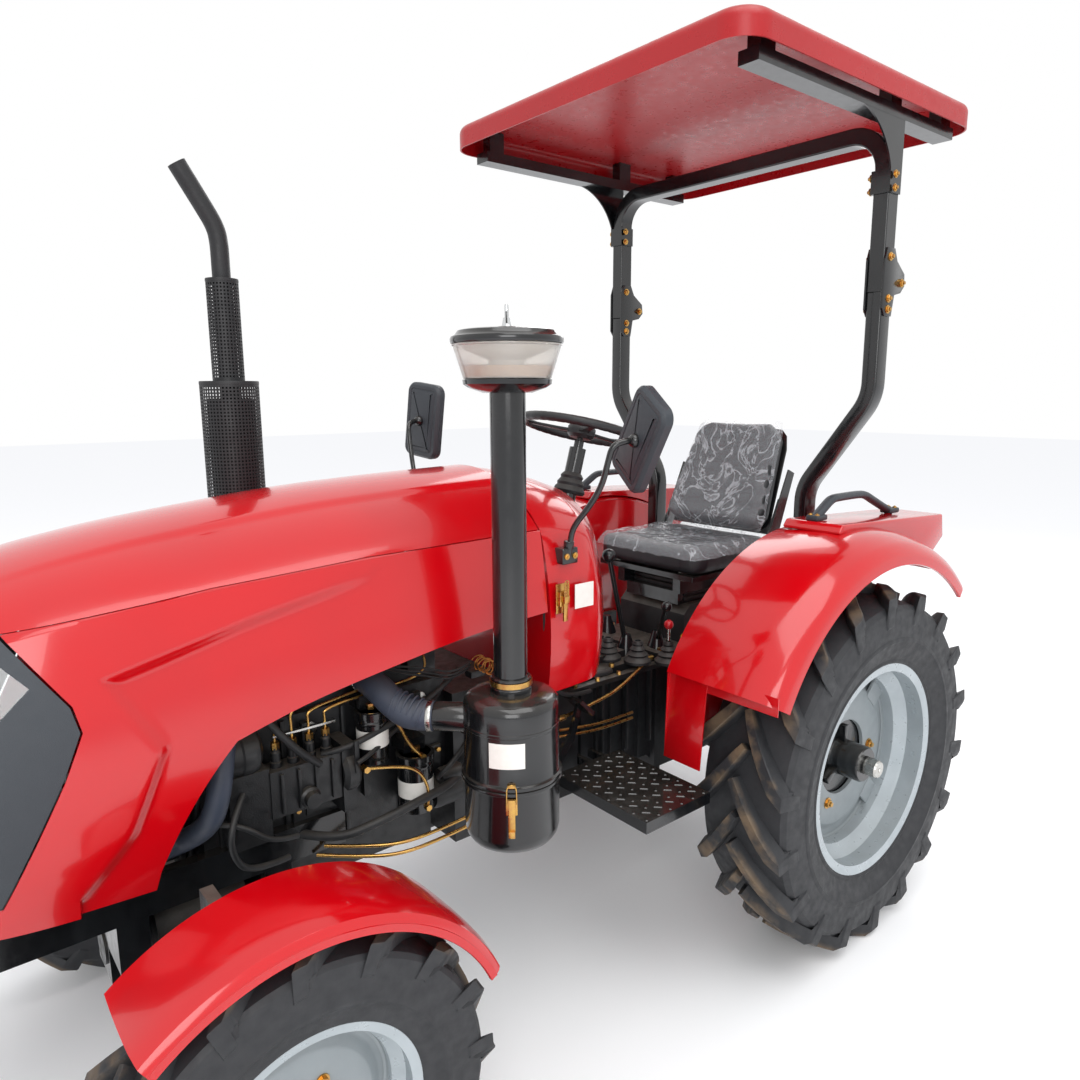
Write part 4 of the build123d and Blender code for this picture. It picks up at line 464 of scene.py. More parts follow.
def boltHead(radius=0.008, tall=0.006, washer=True):
    # hexagon head with a chamfered top on a washer, axis +Z, seated at the origin
    bpy.ops.mesh.primitive_cylinder_add(vertices=6, radius=radius, depth=tall, location=(0, 0, tall / 2))
    head = bpy.context.object
    selectNone()
    for face in head.data.polygons:
        face.select = face.normal.z > 0.9
    editMode()
    bpy.ops.mesh.bevel(offset=0.12 * radius, segments=1, affect="EDGES")
    objectMode()
    parts = [head]
    if washer:
        bpy.ops.mesh.primitive_cylinder_add(vertices=20, radius=1.35 * radius, depth=0.003,
            location=(0, 0, 0.0013))
        parts.append(bpy.context.object)
    bpy.ops.mesh.primitive_cylinder_add(vertices=14, radius=0.55 * radius, depth=0.7 * tall,
        location=(0, 0, 1.2 * tall))
    parts.append(bpy.context.object)
    bolt = joined(parts, "bolt")
    active(bolt)
    bpy.ops.object.transform_apply(location=True, rotation=True, scale=True)
    return bolt


def boltsAt(name, places, material, body, radius=0.008, tall=0.006):
    # places are (point, the way the head faces)
    model = boltHead(radius, tall)
    copies = []
    for point, facing in places:
        copy = model.copy()
        copy.data = model.data.copy()
        bpy.context.scene.collection.objects.link(copy)
        turn = Vector(facing).to_track_quat("Z", "Y").to_matrix().to_4x4()
        spin = Matrix.Rotation(random.uniform(0, pi / 3), 4, "Z")
        copy.data.transform(Matrix.Translation(point) @ turn @ spin)
        copy.matrix_world = Matrix.Identity(4)
        copies.append(copy)
    bpy.data.objects.remove(model)
    return placed(joined(copies, name), material, body, smooth=25)


def mirrored(piece, name):
    # the same piece on the other side of the machine
    twin = piece.copy()
    twin.data = piece.data.copy()
    twin.name = name
    twin.parent = None
    bpy.context.scene.collection.objects.link(twin)
    twin.matrix_world = Matrix.Identity(4)
    twin.data.transform(Matrix.Diagonal((1, -1, 1, 1)))
    tidyShell(twin)
    return twin


# ---- finishes of the CAD nodes that show as they are
nodeFinish = [
    (blackCasting, "rear_axle gearbox engine front_axle knuckle_left knuckle_right front_hub_left "
        "front_hub_right lift_arms"),
    (blackEnamel, "engine_filters front_frame radiator hitch_frame steering_column air_cleaner seat_frame "
        "footplates pedals roll_bar_posts hood_hinge rear_hub_left rear_hub_right roll_bar_hoop "
        "lift_rods lower_links"),
    (hoseRubber, "hoses"),
    (redEnamel, "fender_left fender_right cowl hood_top hood_sides front_fender_left front_fender_right"),
    (grainedPlastic, "fender_handles mirrors nose_bezel grille"),
    (redLens, "tail_lamps"),
    (milkyBowl, "precleaner_bowl"),
    (heatPaint, "exhaust_pipe exhaust_shields"),
    (seatVinyl, "seat_cushion seat_back"),
    (glossPlastic, "gear_levers cooling_fan"),
    (lampGlass, "headlamps"),
    (softRubber, "rear_tyre_left rear_tyre_right front_tyre_left front_tyre_right"),
    (rimPaint, "rear_wheel_left rear_wheel_right front_wheel_left front_wheel_right"),
    (bareSteel, "tie_rod"),
    (wheelPlastic, "steering_wheel"),
    (canopyPlastic, "canopy"),
]
for material, names in nodeFinish:
    for name in names.split():
        nodes[name].data.materials.clear()
        nodes[name].data.materials.append(material)
print("CAD nodes finished")


# ---- tyres: turned carcass, curved bars with a wide nose, soil in the finish
tyres = {
    "rear": {"body": "rear_wheel", "centre": (rearAxle, 0.65, 0.552), "radius": 0.552, "lug": 0.034,
             "halfWidth": 0.142, "bead": 0.306, "flange": 0.328, "rimHalf": 0.121, "lugs": 18,
             "barWidth": 0.036},
    "front": {"body": "front_wheel", "centre": (1.02, 0.632, 0.38), "radius": 0.38, "lug": 0.024,
              "halfWidth": 0.092, "bead": 0.203, "flange": 0.219, "rimHalf": 0.074, "lugs": 16,
              "barWidth": 0.026},
}


def carcassOutline(size):
    crown = size["radius"] - size["lug"]
    half, flange, bead, rimHalf = size["halfWidth"], size["flange"], size["bead"], size["rimHalf"]
    side = []
    for step in range(5):  # crown
        t = step / 4
        side.append((crown - 0.1 * half * t ** 2, 0.88 * half * t))
    middle = (crown + flange) / 2
    side += [(crown - 0.2 * half, 0.96 * half), (crown - 0.42 * half, 0.985 * half), (middle + 0.01, half),
        (middle - 0.012, 0.995 * half), (middle - 0.016, 1.012 * half), (middle - 0.024, 1.012 * half),
        (middle - 0.028, 0.985 * half), (flange + 0.035, 0.93 * half), (flange + 0.012, 0.86 * half),
        (flange + 0.004, 0.83 * rimHalf + 0.17 * half), (flange - 0.006, rimHalf - 0.004),
        (bead, rimHalf - 0.006)]
    return [(r, -y) for r, y in reversed(side)] + side[1:]


def bar(size, side, index):
    # one bar from the centre line to the shoulder, bent back along its length
    crown, lug = size["radius"] - size["lug"], size["lug"]
    half, pitch = size["halfWidth"], 2 * pi / size["lugs"]
    start = index * pitch + (0.5 * pitch if side < 0 else 0)
    sections = []
    reach = 1.32 * pitch
    for step in range(9):
        t = min(step / 7, 1)
        across = side * half * (-0.07 + 1.05 * t)
        over = across + side * half * 0.012 * max(0, (t - 0.8) / 0.2)
        turn = start + reach * (t - 0.16 * t * t)
        drop = 0.1 * half * (abs(across) / half) ** 2
        ground = crown - drop - 0.004
        top = size["radius"] - 0.045 * half * (abs(across) / half) ** 2
        wide = size["barWidth"] * (0.66 + 0.46 * t)
        if t > 0.86:
            ground -= 0.022 * (t - 0.86) / 0.14
            top -= 0.3 * lug * (t - 0.86) / 0.14
        if step == 0:
            wide *= 0.8
        if step == 8:  # foot of the bar, down on the wall
            across, over = side * half * 0.955, side * half * 1.012
            ground, top = crown - 0.56 * half, crown - 0.46 * half
            turn, wide = turn + 0.04 * pitch, 0.94 * wide
        sections.append((across, turn, ground, top, wide, over))
    rows = []
    for k, (across, turn, ground, top, wide, over) in enumerate(sections):
        before, after = sections[max(k - 1, 0)], sections[min(k + 1, 8)]
        slope = Vector(((after[1] - before[1]) * crown, after[0] - before[0])).normalized()
        if k > 6:
            slope = Vector((0.2, side))
        row = []
        for offset, height, place in ((-0.66, ground, across), (-0.5, top - 0.003, over),
                (-0.42, top, over), (0.42, top, over), (0.5, top - 0.003, over), (0.66, ground, across)):
            shift = offset * wide
            drift = shift * slope.x if k < 7 else 0
            row.append((height, turn - shift * slope.y / crown, place + drift))
        rows.append(row)
    points = []
    for row in rows:
        for radius, turn, across in row:
            points.append((radius * sin(turn), across, radius * cos(turn)))
    faces = []
    for k in range(8):
        for j in range(5):
            a = k * 6 + j
            faces.append((a, a + 1, a + 7, a + 6))
        faces.append((k * 6 + 5, k * 6, k * 6 + 6, k * 6 + 11))
    faces.append((0, 5, 4, 3, 2, 1))
    faces.append((48, 49, 50, 51, 52, 53))
    return points, faces


def makeTyre(kind):
    size = tyres[kind]
    shell = lathe(kind + "Carcass", carcassOutline(size), (0, 0, 0), "Y", steps=96)
    points, faces = [], []
    for side in (1, -1):
        for index in range(size["lugs"]):
            barPoints, barFaces = bar(size, side, index)
            faces += [tuple(i + len(points) for i in face) for face in barFaces]
            points += barPoints
    mesh = bpy.data.meshes.new(kind + "Bars")
    mesh.from_pydata(points, [], faces)
    bars = bpy.data.objects.new(kind + "Bars", mesh)
    bpy.context.scene.collection.objects.link(bars)
    tidyShell(bars)
    tyre = joined([shell, bars], kind + "TyreLeft")
    tyre.data.transform(Matrix.Translation(size["centre"]))
    return tyre


for kind in ("rear", "front"):
    size = tyres[kind]
    leftTyre = makeTyre(kind)
    rightTyre = mirrored(leftTyre, kind + "TyreRight")
    for tyre, hand in ((leftTyre, "left"), (rightTyre, "right")):
        side = 1 if hand == "left" else -1
        centre = (size["centre"][0], side * size["centre"][1], size["centre"][2])
        rubber = treadRubber(f"{kind}TreadRubber{hand.capitalize()}", centre, size["radius"] - size["lug"],
            size["radius"])
        placed(tyre, rubber, f"{size['body']}_{hand}", [f"{kind}_tyre_{hand}"], 32)
print("tyres made")

# ---- wheels: rolled rim with its well and flanges, pressed disc and bolts
rims = {
    "rear": {"flange": 0.328, "bead": 0.3055, "half": 0.121, "well": 0.268, "disc": 0.008, "hub": 0.118,
             "bend": 0.218, "bolts": 3, "circle": 0.15, "boltRadius": 0.013},
    "front": {"flange": 0.219, "bead": 0.2025, "half": 0.074, "well": 0.179, "disc": 0.018, "hub": 0.062,
              "bend": 0.14, "bolts": 6, "circle": 0.078, "boltRadius": 0.01},
}


def rimOutline(rim):
    sheet = 0.0035
    half, flange, bead, well = rim["half"], rim["flange"], rim["bead"], rim["well"]
    outer = [(flange - 0.003, -half + 0.001), (flange, -half + 0.005), (flange - 0.004, -half + 0.009),
        (bead, -half + 0.012), (bead, -0.62 * half), (bead - 0.007, -0.57 * half),
        (well + 0.004, -0.44 * half), (well, -0.38 * half), (well, 0.2 * half), (well + 0.004, 0.27 * half),
        (bead - 0.006, 0.42 * half), (bead, 0.48 * half), (bead, half - 0.012),
        (flange - 0.004, half - 0.009), (flange, half - 0.005), (flange - 0.003, half - 0.001)]
    inner = [(flange - 0.008, half - 0.002), (bead - 0.006, half - 0.006),
        (bead - sheet - 0.002, half - 0.014), (bead - sheet, 0.5 * half), (bead - 0.011, 0.43 * half),
        (well - 0.002, 0.27 * half), (well - sheet, 0.19 * half), (well - sheet, -0.37 * half),
        (well, -0.45 * half), (bead - 0.01, -0.58 * half), (bead - sheet, -0.64 * half),
        (bead - sheet - 0.002, -half + 0.014), (bead - 0.006, -half + 0.006),
        (flange - 0.008, -half + 0.002)]
    return outer + inner


def discOutline(rim):
    thick = 0.008
    disc, hub, bend, well = rim["disc"], rim["hub"], rim["bend"], rim["well"]
    front = [(hub, disc), (hub + 0.01, disc + 0.001), (bend - 0.006, disc + 0.001), (bend, disc - 0.001),
        (bend + 0.014, disc - 0.014), (bend + 0.022, disc - 0.016), (well - 0.0034, disc - 0.016)]
    return front + [(r - 0.002, y - thick - 0.002) for r, y in reversed(front)]


def makeWheel(kind):
    rim, centre = rims[kind], Vector(tyres[kind]["centre"])
    ring = lathe(kind + "Rim", rimOutline(rim), centre, "Y", steps=96)
    disc = lathe(kind + "Disc", discOutline(rim), centre, "Y", steps=72)
    # four brackets weld the rear disc to the rim
    parts = []
    if kind == "rear":
        for k in range(4):
            turn = radians(45 + 90 * k)
            inner, outer = 0.205, rim["well"] + 0.001
            tab = brick("rimBracket", (inner, 0.002, -0.036), (outer, 0.012, 0.036), 0.003)
            tab.data.transform(Matrix.Translation(centre) @ Matrix.Rotation(turn, 4, "Y"))
            parts.append(tab)
    # weld bead where disc and rim meet
    bead = lathe(kind + "Weld", [(rim["well"] - 0.0105, rim["disc"] - 0.0148),
        (rim["well"] - 0.0052, rim["disc"] - 0.0128), (rim["well"] - 0.0032, rim["disc"] - 0.0068),
        (rim["well"] - 0.003, rim["disc"] - 0.0165)], centre, "Y", steps=72)
    discWhole = joined([disc, bead] + parts, kind + "DiscLeft")
    return ring, discWhole


for kind in ("rear", "front"):
    rim, size = rims[kind], tyres[kind]
    ring, disc = makeWheel(kind)
    ring.name = kind + "RimLeft"
    ringRight, discRight = mirrored(ring, kind + "RimRight"), mirrored(disc, kind + "DiscRight")
    for hand, side, rimPiece, discPiece in (("left", 1, ring, disc), ("right", -1, ringRight, discRight)):
        body = f"{size['body']}_{hand}"
        placed(rimPiece, rimPaint, body, [f"{kind}_wheel_{hand}"], 30)
        placed(discPiece, discPaint, body, (), 30)
        centre = Vector((size["centre"][0], side * size["centre"][1], size["centre"][2]))
        places = []
        for k in range(rim["bolts"]):
            turn = radians(30 + 360 / rim["bolts"] * k)
            offset = Vector((sin(turn) * rim["circle"], side * (rim["disc"] + 0.001),
                cos(turn) * rim["circle"]))
            places.append((centre + offset, (0, side, 0)))
        boltsAt(f"{kind}WheelBolts{hand.capitalize()}", places, yellowZinc, body, rim["boltRadius"], 0.011)
print("wheels made")

# ---- rear hubs: flange, ribbed boss and a bright turned shaft end
for hand, side in (("left", 1), ("right", -1)):
    body = "rear_wheel_" + hand
    centre = Vector((rearAxle, 0, 0.552))
    flange = lathe("hubFlange", [(0.0, side * 0.628), (0.168, side * 0.628), (0.172, side * 0.632),
        (0.172, side * 0.6445), (0.0, side * 0.6445)], centre, "Y")
    boss = lathe("hubBoss", [(0.0276, side * 0.645), (0.062, side * 0.645), (0.058, side * 0.652),
        (0.055, side * 0.664), (0.055, side * 0.728), (0.051, side * 0.735), (0.0276, side * 0.735)],
        centre, "Y", 48)
    sleeve = lathe("hubSleeve", [(0.0, side * 0.557), (0.0272, side * 0.557), (0.0272, side * 0.74),
        (0.0, side * 0.74)], centre, "Y", 40)
    ribs = []
    for k in range(3):
        rib = brick("hubRib", (0.05, 0.6445, -0.011), (0.106, 0.668, 0.011), 0.004)
        rib.data.transform(Matrix.Diagonal((1, side, 1, 1)))
        rib.data.transform(Matrix.Translation(centre) @ Matrix.Rotation(radians(30 + 120 * k), 4, "Y"))
        tidyShell(rib)
        ribs.append(rib)
    hub = joined([flange, boss, sleeve] + ribs, "rearHub" + hand.capitalize())
    placed(hub, blackEnamel, body, ["rear_hub_" + hand], 30)
    end = lathe("axleEnd" + hand.capitalize(), [(0.0, side * 0.7352), (0.0272, side * 0.7352),
        (0.0272, side * 0.773), (0.0235, side * 0.778), (0.007, side * 0.778), (0.005, side * 0.775),
        (0.0, side * 0.774)], centre, "Y", 40)
    placed(end, bareSteel, body, (), 30)
print("hubs made")


# ---- hood: one smooth shell, cut along its seam and its arch, with the pressed arrow in each side
hood = {
    "stations": [  # ahead of the rear axle, half widths at the bottom, side and seam, seam z, crown z
        (0.946, 0.352, 0.36, 0.33, 1.33, 1.474), (1.19, 0.3545, 0.3625, 0.3315, 1.3275, 1.4672),
        (1.43, 0.356, 0.364, 0.332, 1.322, 1.456), (1.59, 0.3555, 0.3635, 0.33, 1.3145, 1.4418),
        (1.75, 0.354, 0.362, 0.326, 1.304, 1.424), (1.86, 0.35, 0.359, 0.3205, 1.295, 1.4105),
        (1.96, 0.342, 0.354, 0.312, 1.283, 1.394), (2.04, 0.333, 0.347, 0.304, 1.272, 1.378),
        (2.11, 0.32, 0.336, 0.292, 1.258, 1.358), (2.16, 0.305, 0.324, 0.279, 1.241, 1.339),
        (2.2, 0.284, 0.306, 0.262, 1.218, 1.314), (2.23, 0.264, 0.288, 0.246, 1.196, 1.289),
        (2.25, 0.24, 0.264, 0.226, 1.17, 1.26), (2.276, 0.19, 0.212, 0.182, 1.116, 1.196),
    ],
    "floor": 0.738,
    "arrow": [(1.428, 1.298), (1.7, 1.2445), (1.97, 1.178), (1.885, 1.025), (1.945, 0.885), (2.027, 0.79)],
}


def eased(values, place):
    # smooth curve through (place, value) pairs
    spots = [v[0] for v in values]
    if place <= spots[0]:
        return values[0][1]
    if place >= spots[-1]:
        return values[-1][1]
    k = max(i for i in range(len(spots) - 1) if spots[i] <= place)
    slope = []
    for i in range(len(values)):
        low, high = max(i - 1, 0), min(i + 1, len(values) - 1)
        slope.append((values[high][1] - values[low][1]) / (values[high][0] - values[low][0]))
    span = spots[k + 1] - spots[k]
    t = (place - spots[k]) / span
    h = (2 * t ** 3 - 3 * t ** 2 + 1, t ** 3 - 2 * t ** 2 + t, -2 * t ** 3 + 3 * t ** 2, t ** 3 - t ** 2)
    return (h[0] * values[k][1] + h[1] * span * slope[k] + h[2] * values[k + 1][1]
        + h[3] * span * slope[k + 1])


def stationAt(distance):
    return [eased([(s[0], s[i]) for s in hood["stations"]], distance) for i in range(1, 6)]


def arcThrough(a, b, c, t):
    # point at share t of the circle through three flat points
    (ax, ay), (bx, by), (cx, cy) = a, b, c
    d = 2 * (ax * (by - cy) + bx * (cy - ay) + cx * (ay - by))
    if abs(d) < 1e-9:
        return (ax + (cx - ax) * t, ay + (cy - ay) * t)
    ux = ((ax * ax + ay * ay) * (by - cy) + (bx * bx + by * by) * (cy - ay)
        + (cx * cx + cy * cy) * (ay - by)) / d
    uy = ((ax * ax + ay * ay) * (cx - bx) + (bx * bx + by * by) * (ax - cx)
        + (cx * cx + cy * cy) * (bx - ax)) / d
    radius = hypot(ax - ux, ay - uy)
    start, middle, end = (atan2(y - uy, x - ux) for x, y in (a, b, c))
    sweep = (end - start) % (2 * pi)
    if (middle - start) % (2 * pi) > sweep:
        sweep -= 2 * pi
    turn = start + sweep * t
    return (ux + radius * cos(turn), uy + radius * sin(turn))


def hoodSkin(distance, share):
    # share 0 at the bottom edge, 1 at the seam, 2 at the crown
    bottom, side, seam, seamZ, crown = stationAt(distance)
    if share <= 1:
        middleZ = (hood["floor"] + seamZ) / 2 + 0.09
        y, z = arcThrough((bottom, hood["floor"]), (side, middleZ), (seam, seamZ), share)
    else:
        y, z = arcThrough((seam, seamZ), (0, crown), (-seam, seamZ), (share - 1) / 2)
        # raised spine down the middle, with a soft edge each side
        spine = max(0.0, min(1.0, (0.172 - abs(y)) / 0.022))
        fade = max(0.0, min(1.0, (2.16 - distance) / 0.4))
        z += 0.0055 * spine * spine * (3 - 2 * spine) * fade - 0.0055 * fade
    return y, z


def lineGap(x, z, line):
    # distance from a point to an open line
    best = 9.0
    for (ax, az), (bx, bz) in zip(line, line[1:]):
        dx, dz = bx - ax, bz - az
        t = max(0.0, min(1.0, ((x - ax) * dx + (z - az) * dz) / (dx * dx + dz * dz)))
        best = min(best, hypot(x - ax - t * dx, z - az - t * dz))
    return best


def insideLoop(x, z, loop):
    within = False
    for (ax, az), (bx, bz) in zip(loop, loop[1:] + loop[:1]):
        if (az > z) != (bz > z) and x < (bx - ax) * (z - az) / (bz - az) + ax:
            within = not within
    return within


def pressedDepth(distance, z):
    # the panel behind the arrow's edge lies 17 mm deeper, past a flat slope, and fades out at its tip
    if not insideLoop(distance, z, hood["arrow"] + [(2.03, 0.7), (0.9, 0.7), (0.9, 1.36)]):
        return 0.0
    slope = min(lineGap(distance, z, hood["arrow"]) / 0.032, 1.0)
    slope = slope * slope * (3 - 2 * slope)
    fade = max(0.0, min(1.0, (distance - 1.34) / 0.3))
    return 0.017 * slope * fade * fade * (3 - 2 * fade)


def skinGrid(name, columns, rows, place):
    # a flat grid whose points are laid on the skin by place(u, v)
    bpy.ops.mesh.primitive_grid_add(x_subdivisions=columns, y_subdivisions=rows, size=1)
    grid = bpy.context.object
    grid.name = name
    for vertex in grid.data.vertices:
        vertex.co = place(vertex.co.x + 0.5, vertex.co.y + 0.5)
    return grid


def cutWith(piece, cutter, operation, remove=True):
    modifier = piece.modifiers.new("cut", "BOOLEAN")
    modifier.operation = operation
    modifier.solver = "EXACT"
    modifier.object = cutter
    applyAll(piece)
    if remove:
        bpy.data.objects.remove(cutter)
    return piece


def copied(piece, name):
    twin = piece.copy()
    twin.data = piece.data.copy()
    twin.name = name
    bpy.context.scene.collection.objects.link(twin)
    return twin


def sidePrism(name, points, reach=0.5):
    return slab(name, [(ahead(x), -reach, z) for x, z in points], (0, 2 * reach, 0))


def archPoints():
    brow = [arcThrough((1.1, 1.117), (1.519, 1.057), (1.735, 1.002), k / 18) for k in range(19)]
    cheek = [arcThrough((1.735, 1.002), (1.816, 0.908), (1.89, 0.775), k / 14) for k in range(1, 15)]
    return [(0.9, 1.126)] + brow + cheek + [(1.905, 0.718), (0.9, 0.718)]


noseRegion = [(2.092, 1.272), (2.006, 1.14), (1.996, 1.092), (2.03, 1.014), (2.14, 0.8), (2.3, 0.79),
    (2.3, 1.262)]
topRegion = [(0.9, 1.331), (1.43, 1.323), (1.75, 1.305), (1.96, 1.284), (2.092, 1.272), (2.3, 1.262),
    (2.3, 1.5), (0.9, 1.5)]
lampRegion = [(2.064, 1.182), (2.102, 1.226), (2.3, 1.186), (2.3, 1.1), (2.12, 1.128)]
grilleRegion = [(2.092, 1.062), (2.082, 1.01), (2.15, 0.852), (2.3, 0.848), (2.3, 1.046), (2.13, 1.068)]


def hoodPlace(u, v):
    # v runs from one bottom edge over the crown to the other
    distance = 0.946 + 1.33 * (1 - (1 - u) ** 1.25)
    side = 1 if v >= 0.5 else -1
    reach = abs(v - 0.5) * 2
    share = 2 - reach / 0.34 if reach < 0.34 else 1 - (reach - 0.34) / 0.66
    y, z = hoodSkin(distance, max(share, 0.0))
    y = abs(y)
    if share <= 1:
        y -= pressedDepth(distance, z)
    if distance > 2.27:
        t = (distance - 2.27) / 0.006
        y -= 0.005 * t * t
    return (ahead(distance), side * y if v != 0.5 else 0.0, z)


def thickened(piece, sheet):
    # outward normals first, then the wall grows inwards
    tidyShell(piece)
    top = max(piece.data.polygons, key=lambda face: face.center.z)
    if top.normal.z < 0:
        active(piece)
        editAll()
        bpy.ops.mesh.flip_normals()
        objectMode()
    modifier = piece.modifiers.new("wall", "SOLIDIFY")
    modifier.thickness = sheet
    modifier.offset = -1
    applyAll(piece)
    return piece


def makeSkin(columns, rows):
    skin = skinGrid("hoodSkin", columns, rows, hoodPlace)
    # the nose closes with a flat front
    tidyShell(skin)
    active(skin)
    selectNone()
    front = max(vertex.co.x for vertex in skin.data.vertices)
    for edge in skin.data.edges:
        edge.select = all(abs(skin.data.vertices[i].co.x - front) < 1e-5 for i in edge.vertices)
    editMode()
    bpy.ops.mesh.edge_face_add()
    objectMode()
    thickened(skin, 0.0035)
    return cutWith(skin, sidePrism("archCut", archPoints()), "DIFFERENCE")


def makeHood():
    skin = makeSkin(200, 264)
    noseSkin = makeSkin(150, 150)
    seam = 0.0016
    top = copied(skin, "hoodTop")
    cutWith(top, sidePrism("topCut", [(x, z + (seam if z < 1.4 else 0)) for x, z in topRegion]), "INTERSECT")
    sides = copied(skin, "hoodSides")
    cutWith(sides, sidePrism("seamCut", topRegion), "DIFFERENCE")
    cutWith(sides, sidePrism("noseCut", noseRegion), "DIFFERENCE")
    bezel = copied(noseSkin, "noseBezel")
    inset = [(2.095, 1.268), (2.01, 1.139), (2.0, 1.093), (2.033, 1.016), (2.142, 0.804), (2.302, 0.794),
        (2.302, 1.258)]
    cutWith(bezel, sidePrism("bezelCut", inset), "INTERSECT")
    cutWith(bezel, sidePrism("lampCut", lampRegion), "DIFFERENCE")
    cutWith(bezel, sidePrism("grilleCut", grilleRegion), "DIFFERENCE")
    lens = copied(noseSkin, "headlampLens")
    cutWith(lens, sidePrism("lensCut", lampRegion), "INTERSECT")
    screen = copied(noseSkin, "grilleScreen")
    cutWith(screen, sidePrism("screenCut", grilleRegion), "INTERSECT")
    for used in (skin, noseSkin):
        bpy.data.objects.remove(used)
    return top, sides, bezel, lens, screen


hoodTop, hoodSides, noseBezel, headlampLens, grilleScreen = makeHood()
placed(hoodTop, redEnamel, "hood", ["hood_top"], 22)
placed(hoodSides, redEnamel, "hood", ["hood_sides"], 48)
placed(noseBezel, grainedPlastic, "hood", ["nose_bezel"], 25)
placed(headlampLens, lampGlass, "hood", ["headlamps"], 30)
placed(grilleScreen, grainedPlastic, "hood", ["grille"], 30)
print("hood made", len(hoodTop.data.polygons), len(hoodSides.data.polygons))


# ---- cowl between the hood and the driver, smooth from its front ring to the dash
cowlStations = [  # ahead of the rear axle, half width, seam half width, seam z, crown z
    (0.64, 0.224, 0.196, 1.296, 1.392), (0.7, 0.288, 0.256, 1.3015, 1.412),
    (0.76, 0.334, 0.3, 1.308, 1.432), (0.85, 0.3485, 0.318, 1.318, 1.455), (0.94, 0.352, 0.326, 1.326, 1.47),
]


def cowlPlace(u, v):
    distance = 0.64 + 0.3 * (1 - (1 - u) ** 1.1)
    half, seamHalf, seamZ, crown = [eased([(s[0], s[i]) for s in cowlStations], distance)
        for i in range(1, 5)]
    side = 1 if v >= 0.5 else -1
    reach = abs(v - 0.5) * 2
    if reach < 0.36:
        y, z = arcThrough((seamHalf, seamZ), (0, crown), (-seamHalf, seamZ), (1 - reach / 0.36) / 2)
        z -= 0.002 * max(0.0, 1 - abs(reach - 0.34) / 0.02)
    else:
        y, z = arcThrough((half, 0.901), (half + 0.006, 1.18), (seamHalf, seamZ), 1 - (reach - 0.36) / 0.64)
    edge = max(0.0, 1 - (distance - 0.64) / 0.016)
    y, z = abs(y) * (1 - 0.03 * edge * edge), z - 0.01 * edge * edge * (1 if z > 1.0 else 0)
    return (ahead(distance), side * y if v != 0.5 else 0.0, z)


def makeCowl():
    skin = skinGrid("cowl", 36, 96, cowlPlace)
    tidyShell(skin)
    xs = [vertex.co.x for vertex in skin.data.vertices]
    for limit in (min(xs), max(xs)):
        active(skin)
        selectNone()
        for edge in skin.data.edges:
            edge.select = all(abs(skin.data.vertices[i].co.x - limit) < 1e-5 for i in edge.vertices)
        editMode()
        bpy.ops.mesh.edge_face_add()
        objectMode()
    active(skin)
    editAll()
    bpy.ops.mesh.select_all(action="DESELECT")
    bpy.ops.mesh.select_non_manifold()
    bpy.ops.mesh.edge_face_add()
    objectMode()
    tidyShell(skin)
    return skin


placed(makeCowl(), redEnamel, "chassis", ["cowl"], 30)
# dash and its round gauge face the driver
dash = slab("dashPanel", [(ahead(0.636), y, z) for y,
    z in ((-0.15, 1.2), (0.15, 1.2), (0.17, 1.31), (0.1, 1.356), (-0.1, 1.356), (-0.17, 1.31))],
    (-0.006, 0, 0), 0.003)
placed(dash, glossPlastic)
gauge = lathe("gauge", [(0, 0), (0.041, 0), (0.043, -0.004), (0.043, -0.008), (0.047, -0.01),
    (0.05, -0.006), (0.05, 0.004), (0, 0.004)], (ahead(0.628), 0, 1.292), "X", 40)
placed(gauge, glossPlastic)
print("cowl made")


# ---- wheel guards: crowned top, rolled outer edge with a hem, inner wall and deck
guards = {
    "rear": {"peak": ahead(-0.03), "top": 1.221, "radii": (0.634, 0.677), "turns": (62.5, 42.0),
             "inner": 0.42, "outer": 0.78, "crown": 0.044, "skirt": 0.05, "sheet": 0.004},
    "front": {"peak": 1.02, "top": 0.8, "radii": (0.42, 0.42), "turns": (39.0, 66.0),
              "inner": 0.53, "outer": 0.738, "crown": 0.012, "skirt": 0.028, "sheet": 0.004},
}


def guardSection(size):
    # (y, rise over the radius) from the inner edge to the hem
    inner, outer, crown, skirt = size["inner"], size["outer"], size["crown"], size["skirt"]
    wide = outer - inner
    points = [(inner + 0.002, 0.7 * crown), (inner + 0.12 * wide, 0.82 * crown),
        (inner + 0.3 * wide, 0.95 * crown), (inner + 0.48 * wide, 0.995 * crown),
        (inner + 0.66 * wide, 0.93 * crown), (inner + 0.78 * wide, 0.8 * crown),
        (outer - 0.16 * wide, 0.6 * crown), (outer - 0.1 * wide, 0.4 * crown)]
    points += [(outer - 0.06 * wide, 0.2 * crown), (outer - 0.032 * wide, -0.004),
        (outer - 0.018 * wide, -0.012), (outer - 0.008 * wide, -0.45 * skirt),
        (outer - 0.002, -0.78 * skirt), (outer - 0.001, -0.94 * skirt), (outer - 0.003, -0.985 * skirt),
        (outer - 0.008, -skirt), (outer - 0.013, -0.985 * skirt)]
    return points


def makeGuard(kind):
    size = guards[kind]
    section = guardSection(size)
    forward, backward = size["turns"]
    radiusFront, radiusRear = size["radii"]
    steps = 72

    def place(u, v):
        turn = -backward + (forward + backward) * u
        radius = radiusFront if turn >= 0 else radiusRear
        spot = v * (len(section) - 1)
        k = min(int(spot), len(section) - 2)
        y = section[k][0] + (section[k + 1][0] - section[k][0]) * (spot - k)
        rise = section[k][1] + (section[k + 1][1] - section[k][1]) * (spot - k)
        reach = radius + rise
        return (size["peak"] + reach * sin(radians(turn)), y, size["top"] - radius
            + reach * cos(radians(turn)))

    guard = skinGrid(kind + "Guard", steps, len(section) - 1, place)
    thickened(guard, size["sheet"])
    return guard


